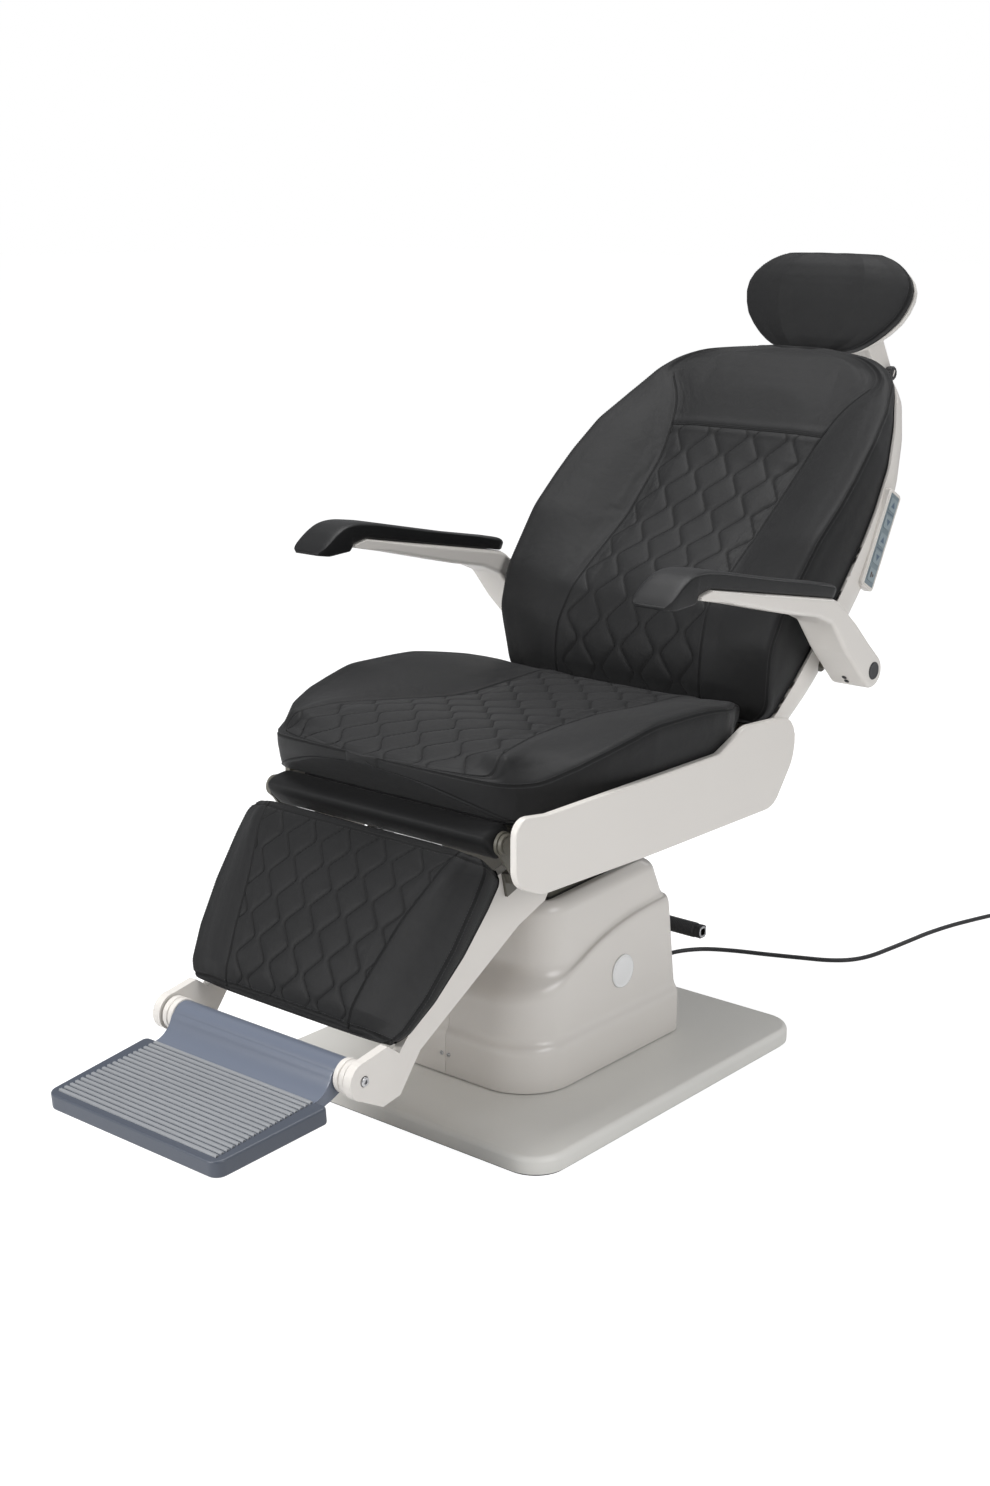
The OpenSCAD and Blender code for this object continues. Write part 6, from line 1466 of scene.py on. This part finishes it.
back_quilt = {"from": 0.076, "to": back_cross, "pitch": 0.085, "spacing": 0.04, "puff": 0.0017}
k = with_close_ends(216, 0.05, 24)
end_fade = np.minimum(1, np.minimum(k, 1 - k) / 0.04)
back = sewn_cushion(
    "back_cushion_leather", back_place, back_low + k * back_length, back_half * back_half_at(k),
    back_half * eased_table(back_inner_shares, 0.02)(k), back_pad * back_rear_at(k),
    back_pad * eased_table(back_seam_shares, 0.015)(k), back_pad * eased_table(back_centre_shares, 0.015)(k),
    (22, 44, 150, 36), draw=0.006, bolster_crown=0.008 * end_fade, bulge=0.004 * end_fade, passes=45,
    quilt=back_quilt, cross_seams=(back_cross,), inner_until=0.702, fill_cap=0.007)
stitches, channels = sewn_lines(back, back_quilt, back_low + 0.001, back_low + back_length - 0.001,
                                back_low + 0.01, 0.698)
stitches.append(across_seam(back, 0.5945))
channels.append(across_seam(back, back_cross, lift=0))
upholstered(back, stitched("back_threads", stitches), channel_shade_tubes("back_channels", channels), "back",
            ("back_cushion",))


def even_columns(curve, count):
    """Rows of a curve at places an equal distance apart."""
    reach = np.cumsum(np.pad(np.linalg.norm(np.diff(curve, axis=1), axis=2), ((0, 0), (1, 0))), 1)
    return np.array([np.column_stack([np.interp(np.linspace(0, way[-1], count), way, row[:, axis])
                                      for axis in range(row.shape[1])])
                     for row, way in zip(curve, reach)])


def sheet(name, outer, wall):
    """A shell of even wall behind a grid of points whose normals face outwards, closed along its rim."""
    rows, columns = outer.shape[:2]
    inner = outer - wall * surface_normals(outer)
    count = rows * columns
    index = np.arange(count).reshape(rows, columns)
    front = grid_faces(rows, columns, False)
    rim = np.concatenate([index[0, :-1], index[:-1, -1], index[-1, :0:-1], index[:0:-1, 0]])
    faces = front + [tuple(v + count for v in face[::-1]) for face in front]
    faces += [(b, a, a + count, b + count) for a, b in zip(rim, np.roll(rim, -1))]
    piece = mesh_piece(name, np.concatenate([outer.reshape(-1, 3), inner.reshape(-1, 3)]), faces)
    edge = piece.modifiers.new("edge", "BEVEL")
    edge.width, edge.segments, edge.limit_method, edge.angle_limit = 0.0012, 3, "ANGLE", math.radians(60)
    bake_modifiers(piece)
    return piece


shell_low, shell_high, shell_depth, shell_round = 0.04, 0.764, 0.148, 0.012
shell_depth_shares = ((0, 0.80), (0.09, 0.87), (0.2, 0.96), (0.38, 1.01), (0.51, 1.03), (0.64, 0.985),
                      (0.72, 0.90), (0.81, 0.86), (0.89, 0.81), (0.95, 0.72), (0.98, 0.60), (1, 0.50))
rise = np.concatenate([np.linspace(shell_low, shell_high - shell_round, 120),
                       shell_high - shell_round * (1 - np.sin(np.radians(np.linspace(10, 90, 9)))),
                       np.full(8, shell_high)])
narrow = np.concatenate([np.zeros(120), shell_round * (1 - np.cos(np.radians(np.linspace(10, 90, 9)))),
                         np.full(8, shell_round)])
fold = np.concatenate([np.ones(129), np.linspace(0.88, 0.06, 8)])
up_back = (rise - back_low) / back_length
up_shell = (rise - shell_low) / (shell_high - shell_low)
half = back_half * back_half_at(up_back) - 0.004 - 0.4 * narrow
front = np.maximum(0.0475, 0.0008 - back_pad * back_rear_at(up_back))
deep = shell_depth * eased_table(shell_depth_shares, 0.02)(up_shell) - narrow
deep = front + (deep - front) * fold
w = np.radians(np.linspace(0, 180, 721))
shell_curve = np.stack([half[:, None] * np.sign(np.cos(w)) * np.sqrt(np.abs(np.cos(w))),
                        np.broadcast_to(rise[:, None], (len(rise), 721)),
                        -(front[:, None] + (deep - front)[:, None] * np.sqrt(np.sin(w)))], 2)
shell_curve = even_columns(shell_curve, 141)[:, ::-1]
shell = sheet("back_shell_moulded", back_place(*shell_curve.transpose(2, 0, 1)), 0.004)


def cut_away(piece, cutters):
    """The piece without what lies inside the cutters."""
    for cutter in cutters:
        cut = piece.modifiers.new("cut", "BOOLEAN")
        cut.object, cut.operation, cut.solver = cutter, "DIFFERENCE", "EXACT"
        bake_modifiers(piece)
        bpy.data.objects.remove(cutter)


panel_tilt, panel_rise, panel_depth = math.radians(10), 0.448, 0.086


def panel_place(points):
    """Points of the control panel's own frame, on the backrest's left side."""
    x, y, z = np.asarray(points, float).T
    return back_place(x, y * math.sin(panel_tilt) + z * math.cos(panel_tilt) + panel_rise,
                      -(y * math.cos(panel_tilt) - z * math.sin(panel_tilt) + panel_depth))


def oblong(half_x, half_y):
    """Corners of a rectangle about the origin, anticlockwise."""
    return (-half_x, -half_y), (half_x, -half_y), (half_x, half_y), (-half_x, half_y)


def panel_slab(name, half_y, half_z, radius, low, high, edge):
    """A plate with round corners in the panel's frame."""
    return slab(name, oblong(half_y, half_z), (radius,) * 4, low, high, edge,
                lambda outline, x: panel_place(at_side(outline, x)))


arm_axis = back_place(0, 0.217, -0.097)
post_slot = [back_place(x, s, -t) for t in (0.092, 0.16)
             for x, s in ((-0.029, 0.65), (0.029, 0.65), (0.029, 0.82), (-0.029, 0.82))]
cut_away(shell, [
    turned("arm_hole_left", arm_axis + (0.24, 0, 0), (1, 0, 0), [(0, 0.018), (0.08, 0.018)], 48),
    turned("arm_hole_right", arm_axis - (0.24, 0, 0), (-1, 0, 0), [(0, 0.018), (0.08, 0.018)], 48),
    panel_slab("panel_opening", 0.0213, 0.0863, 0.0073, 0.262, 0.31, 0.0001),
    stacked_rings("post_opening", [np.array(post_slot[:4]), np.array(post_slot[4:])])])
keep_flats_flat(shell, 40)
finish_piece(shell, cover_skin, "cover_shell", "back", "back_shell")

# Control panel
# A moulded bezel with a raised lip sits in the shell's left side. Its membrane shows blue-grey keys with
# darker arrows in two pairs, and a small mark on the lowest.

bezel_levels = ((0.0012, 0.284), (0.0002, 0.2845), (0, 0.2855), (0, 0.2965), (0.0003, 0.2973),
                (0.001, 0.2976), (0.0019, 0.2976), (0.0023, 0.2978), (0.0025, 0.2984), (0.0028, 0.2991),
                (0.0034, 0.2995), (0.0048, 0.2995), (0.0056, 0.2992), (0.006, 0.2985), (0.006, 0.2975))
bezel = stacked_rings("panel_bezel_moulded", [
    panel_place(at_side(rounded_polygon(oblong(0.021, 0.086), (0.007,) * 4, inset), x))
    for inset, x in bezel_levels])
keep_flats_flat(bezel, 50)
finish_piece(bezel, cover_skin, "cover_shell", "back", "panel_bezel")
membrane_skin = skin_material("membrane", (0.19, 0.235, 0.258), 0.4, height=0.15, grain=1500)
key_skin = skin_material("key_plastic", (0.245, 0.295, 0.32), 0.38, height=0.12, grain=1500)
key_mark = skin_material("key_mark", (0.085, 0.125, 0.175), 0.45, height=0.05)
reset_mark = skin_material("reset_mark", (0.06, 0.03, 0.02), 0.5, height=0.05)
membrane = panel_slab("panel_membrane_sheet", 0.0148, 0.0798, 0.0015, 0.2975, 0.2988, 0.0003)
finish_piece(membrane, membrane_skin, "membrane", "back", "panel_membrane")
key_half, key_pitch = 0.011, 0.031
up_arrow = ((-0.006, -0.0045), (0.006, -0.0045), (0, 0.006))
down_arrow = ((-0.006, 0.0045), (0, -0.006), (0.006, 0.0045))
reset_signs = (((-0.005, -0.0048), (-0.0015, -0.0048), (-0.0015, 0.0048), (-0.005, 0.0048)),
               ((0.0008, -0.004), (0.0045, -0.0012), (0.0045, 0.0012), (0.0008, 0.004)))


def key_row(at):
    """Places an outline in one row of the keys, counted up from the middle one."""
    return lambda outline, x: panel_place(at_side(outline + (0, at * key_pitch), x))


for number, (node, at, signs) in enumerate((
        ("key_back_up", 2, (up_arrow,)), ("key_back_down", 1, (down_arrow,)),
        ("key_seat_up", 0, (up_arrow,)), ("key_seat_down", -1, (down_arrow,)),
        ("key_reset", -2, reset_signs))):
    body = "key_%d" % (number + 1)
    key = slab(node + "_key", oblong(key_half, key_half), (0.0022,) * 4, 0.2972, 0.3003, 0.0005, key_row(at))
    finish_piece(key, key_skin, "key_plastic", body, node)
    for i, corners in enumerate(signs):
        sign = slab("%s_mark_%d" % (node, i + 1), corners, (0.0006,) * len(corners), 0.3002, 0.30045,
                    0.00008, key_row(at), 3)
        finish_piece(sign, reset_mark if node == "key_reset" else key_mark, "key_plastic", body)
for at, label in ((1.5, "upper"), (-0.5, "lower")):
    bar = slab("key_divider_" + label, oblong(key_half, 0.0007), (0.0003,) * 4, 0.2986, 0.2993, 0.0001,
               key_row(at))
    finish_piece(bar, key_mark, "membrane", "back")

# Headrest
# An oval leather cushion on a cast shell with two cheeks, which clamp on the cross tube of a bent steel post.
# The post slides in the backrest, and a fluted knob fixes the tilt.

head_lean, head_y, head_z = math.radians(22), 0.8239, 1.185


def head_place(x, s, t):
    """Points at a depth t and a height s of the headrest."""
    return np.stack(np.broadcast_arrays(x, head_y - t * math.cos(head_lean) + s * math.sin(head_lean),
                                        head_z + t * math.sin(head_lean) + s * math.cos(head_lean)), -1)


eased("headrest_post", "headrest_post_steel", steel, "steel", "head_post", 0.0015)
head_half_shares = ((0, 0.24), (0.015, 0.36), (0.05, 0.50), (0.10, 0.60), (0.17, 0.705), (0.26, 0.81),
                    (0.37, 0.91), (0.48, 0.965), (0.60, 1), (0.70, 0.995), (0.79, 0.95), (0.87, 0.87),
                    (0.93, 0.78), (0.975, 0.68), (1, 0.59))
head_front_shares = ((0, 0.12), (0.04, 0.40), (0.12, 0.70), (0.25, 0.90), (0.5, 1), (0.75, 0.92),
                     (0.88, 0.72), (0.96, 0.42), (1, 0.14))
head_half_at, head_front_at = eased_table(head_half_shares, 0.012), eased_table(head_front_shares, 0.02)
k = with_close_ends(96, 0.08, 22)
head_low, head_length, head_half = -0.091, 0.182, 0.17
head = sewn_cushion(
    "headrest_leather", head_place, head_low + head_length * k, head_half * head_half_at(k),
    head_half / 2 * head_half_at(k), -0.0197, 0.0, 0.022 * head_front_at(k), (16, 40, 80, 30), draw=0.003,
    crown=0.003 * head_front_at(k), bolster_crown=0.0035 * np.minimum(1, np.minimum(k, 1 - k) / 0.1),
    bulge=0.0015, passes=24, end_round=0.003, inner_until=-1.0, fill_cap=0.004, groove=0.0018, dome=1)
head_threads = [beside_seam(head, mark, gap, -0.09, 0.09) for mark, gap in ((1, 0.003), (4, -0.003))]
head_channels = [beside_seam(head, mark, 0, -0.09, 0.09, 0) for mark in (1, 4)]
upholstered(head, stitched("head_threads", head_threads), channel_shade_tubes("head_channels", head_channels), "head",
            ("headrest_cushion",))
head_rise = -0.088 + 0.176 * k
head_deep = 0.02 + 0.034 * head_front_at(k)
head_curve = np.stack([
    (head_half * head_half_at(k) - 0.001)[:, None] * np.sign(np.cos(w)) * np.abs(np.cos(w)) ** 0.65,
    np.broadcast_to(head_rise[:, None], (len(k), 721)),
    -(head_deep[:, None] * np.sin(w) ** 0.6 + 0.02 * (1 - np.sin(w) ** 0.6))], 2)
head_shell = sheet("headrest_shell_cast",
                   head_place(*even_columns(head_curve, 121)[:, ::-1].transpose(2, 0, 1)), 0.004)
keep_flats_flat(head_shell, 40)
finish_piece(head_shell, cover_skin, "cover_shell", "head", "headrest_shell")
pivot = np.array((0.1221, -0.0855))
cheek = np.array([pivot + (-0.006, -0.017), (0.0335, -0.0655), (0.0486, -0.0109),
                  pivot + (0.01, 0.015), pivot + (0.0255, 0.009), pivot + (0.019, -0.0255)])


def beside_head(outline, x):
    """Points of a side view of the headrest, at a place across it."""
    return head_place(np.full(len(outline), x), outline[:, 1], -outline[:, 0])


cheek_inner, cheek_outer = 0.0784, 0.0912
for side, label in ((-1, "right"), (1, "left")):
    arm = slab("headrest_cheek_" + label, cheek[[1, 0, 5, 4, 3, 2]],
               (0.004, 0.03, 0.018, 0.018, 0.03, 0.004), cheek_inner, cheek_outer, 0.003,
               lambda outline, x, side=side: beside_head(outline, side * x), steps=8)
    finish_piece(arm, cover_skin, "cover_shell", "head")
web_way = np.array((0.0324, -0.0619)) - pivot
web_way /= np.linalg.norm(web_way)
web_ends = pivot + web_way * 0.026, pivot + web_way * 0.098
web_side = np.array((-web_way[1], web_way[0])) * 0.003
web_outline = np.array([web_ends[0] - web_side, web_ends[1] - web_side, web_ends[1] + web_side,
                        web_ends[0] + web_side])
web = slab("headrest_web", web_outline, (0.002,) * 4, -0.0785, 0.0785, 0.0008, beside_head)
finish_piece(web, cover_skin, "cover_shell", "head")
knob_centre = head_place(0, pivot[1], -pivot[0])
flutes = np.radians(np.linspace(0, 360, 97)[:-1])
flute_depth = 1 - 0.045 * (1 + np.cos(12 * flutes))
knob_profile = ((0, 0.0105, 0), (0.0006, 0.0115, 0), (0.0022, 0.0122, 1), (0.0035, 0.013, 1),
                (0.0112, 0.013, 1), (0.0128, 0.0122, 1), (0.0137, 0.0106, 0.5), (0.014, 0.008, 0),
                (0.0135, 0.0072, 0))
knob_rings = []
for d, radius, fluted in knob_profile:
    reach = radius * (1 + (flute_depth - 1) * fluted)
    knob_rings.append(np.column_stack([np.full(96, 0.0916 + d), knob_centre[1] + reach * np.cos(flutes),
                                       knob_centre[2] + reach * np.sin(flutes)]))
knob = stacked_rings("clamp_knob", knob_rings)
keep_flats_flat(knob, 45)
finish_piece(knob, dark_plastic, "dark_plastic", "head_clamp", "headrest_knob")
knob_slot = slab("clamp_knob_inset", oblong(0.0062, 0.0016), (0.0012,) * 4, 0.1048, 0.1058, 0.0003,
                 lambda outline, x: np.column_stack([
                     np.full(len(outline), x), knob_centre[1] + outline @ (0.45, 0.89),
                     knob_centre[2] + outline @ (0.89, -0.45)]))
finish_piece(knob_slot, cover_skin, "cover_shell", "head_clamp")
bolt_rings = [(-0.0915, 0.008), (0.0914, 0.008), (0.0915, 0.0118), (0.0965, 0.0118), (0.0973, 0.011),
              (0.0975, 0.0095)]
bolt_end = turned("clamp_bolt", (0, *knob_centre[1:]), (-1, 0, 0), bolt_rings, 36)
keep_flats_flat(bolt_end, 50)
finish_piece(bolt_end, steel, "steel", "head_clamp")

# Armrests
# Painted castings turn on studs behind the backrest's sides. Each carries a moulded pad of soft black foam
# skin that ends in a broad hand rest. A dark cap closes the pivot, and small screws sit under the elbow.

arm_reach, arm_low, arm_high, arm_centre = 0.572, 0.302, 0.372, 0.337
arm_corners = arm_axis[1:] + arm_reach * np.array([
    (-0.865, 0.332), (-0.712, 0.297), (-0.449, 0.231), (-0.301, 0.199), (-0.227, 0.168), (-0.149, 0.075),
    (0.0013, -0.0717), (0.0717, 0.0013), (-0.021, 0.08), (-0.1, 0.152), (-0.196, 0.226), (-0.22, 0.238),
    (-0.28, 0.25), (-0.565, 0.304), (-0.815, 0.351), (-0.865, 0.3405)])
arm_radii = (0.002, 0.1, 0.08, 0.04, 0.03, 0.06, 0.029, 0.029, 0.05, 0.06, 0.01, 0.01, 0.03, 0.1, 0.01, 0.002)
pad_half_shares = ((-1, 0.8), (-0.993, 0.9), (-0.98, 0.975), (-0.96, 1), (-0.9, 1), (-0.225, 1),
                   (-0.205, 0.86), (-0.19, 0.62))
pad_top_shares = ((-1, 0.336), (-0.985, 0.35), (-0.941, 0.382), (-0.905, 0.398), (-0.87, 0.403),
                  (-0.839, 0.402), (-0.769, 0.391), (-0.698, 0.376), (-0.393, 0.311), (-0.21, 0.277),
                  (-0.19, 0.262))
pad_edge_shares = ((-1, 0.338), (-0.985, 0.346), (-0.941, 0.374), (-0.905, 0.391), (-0.87, 0.396),
                   (-0.84, 0.394), (-0.769, 0.384), (-0.698, 0.369), (-0.566, 0.341), (-0.332, 0.297),
                   (-0.19, 0.257))
pad_low_shares = ((-1, 0.325), (-0.96, 0.318), (-0.876, 0.322), (-0.869, 0.3418), (-0.815, 0.352),
                  (-0.565, 0.305), (-0.28, 0.251), (-0.22, 0.239), (-0.19, 0.239))
pad_span, pad_inset = 0.81, 0.003


def pad_table(pairs, spread):
    """A table over the pad's own places, from its tip to its rear end."""
    shifted = tuple(((p + 1) / pad_span, value) for p, value in pairs)
    return lambda p: eased_table(shifted, spread)((p + 1) / pad_span)


arm_skin = leather("arm_skin", (0.0075, 0.0075, 0.008), 0.45, grain_scale=1500, grain=0.16, crease=0.12,
                   gloss=0.26)
p = -1 + pad_span * with_close_ends(110, 0.12, 24)
pad_half = 0.035 * pad_table(pad_half_shares, 0.006)(p)
pad_top, pad_edge, pad_low = (arm_axis[2] + arm_reach * pad_table(table, spread)(p)
                              for table, spread in ((pad_top_shares, 0.01), (pad_edge_shares, 0.02),
                                                    (pad_low_shares, 0.003)))
pad_low = pad_low + 0.0004
pad_edge = pad_edge - 0.001
u = np.cos(np.radians(np.linspace(0, 180, 61)))
under = np.linspace(-1, 1, 9)[1:-1]
corner = np.radians(np.linspace(0, 90, 5))
pad_rings = []
for y, half, top, edge, low in zip(arm_axis[1] + arm_reach * p, pad_half, pad_top, pad_edge, pad_low):
    soft = min(0.004, 0.3 * half, 0.3 * max(edge - low, 0.002))
    flat = half - pad_inset - soft
    ring = [(x * flat, low) for x in under]
    ring += [(flat + soft * math.sin(a), low + soft * (1 - math.cos(a))) for a in corner]
    ring += [(half * c, edge + (top - edge) * (1 - abs(c) ** 5) ** 0.4) for c in u]
    ring += [(-flat - soft * math.sin(a), low + soft * (1 - math.cos(a))) for a in corner[::-1]]
    ring = np.array(ring)
    pad_rings.append(np.column_stack([arm_centre + ring[:, 0], np.full(len(ring), y), ring[:, 1]]))
pad_rings = np.array(pad_rings)
for side, label in ((-1, "right"), (1, "left")):
    casting = slab("armrest_%s_casting" % label, arm_corners, arm_radii, arm_low, arm_high, 0.007,
                   lambda outline, x, side=side: at_side(outline, side * x), steps=8, rounds=6,
                   fade=lambda outline: np.clip((outline[:, 0] - arm_axis[1] + 0.865 * arm_reach) / 0.09,
                                                0.12, 1))
    finish_piece(casting, cover_skin, "cover_shell", "arm_" + label, "armrest_" + label)
    pad = stacked_rings("arm_pad_%s_foam" % label, list(pad_rings * (side, 1, 1)))
    finish_piece(pad, arm_skin, "arm_skin", "arm_" + label, "arm_pad_" + label)
    cap = turned("pivot_cap_" + label, (side * 0.3712, *arm_axis[1:]), (side, 0, 0),
                 [(0, 0.0145), (0.0016, 0.0145), (0.0024, 0.0139), (0.0027, 0.013), (0.0024, 0.0122),
                  (0.0022, 0.006)], 56)
    keep_flats_flat(cap, 50)
    finish_piece(cap, dark_plastic, "dark_plastic", "arm_" + label)
    facing, under_way = np.array((0, -0.694, -0.72)), np.array((0, -0.72, 0.694))
    spots = [arm_axis * (0, 1, 1) + (side * arm_centre, 0, 0) + facing * 0.0291 + under_way * d
             for d in (0.004, 0.015)]
    screws = repeated("elbow_screws_" + label, socket_head(0.0042, 0.001, 24), spots, [facing] * 2,
                      [(1, 0, 0)] * 2, dark_plastic)
    finish_piece(screws, dark_plastic, "dark_plastic", "arm_" + label)
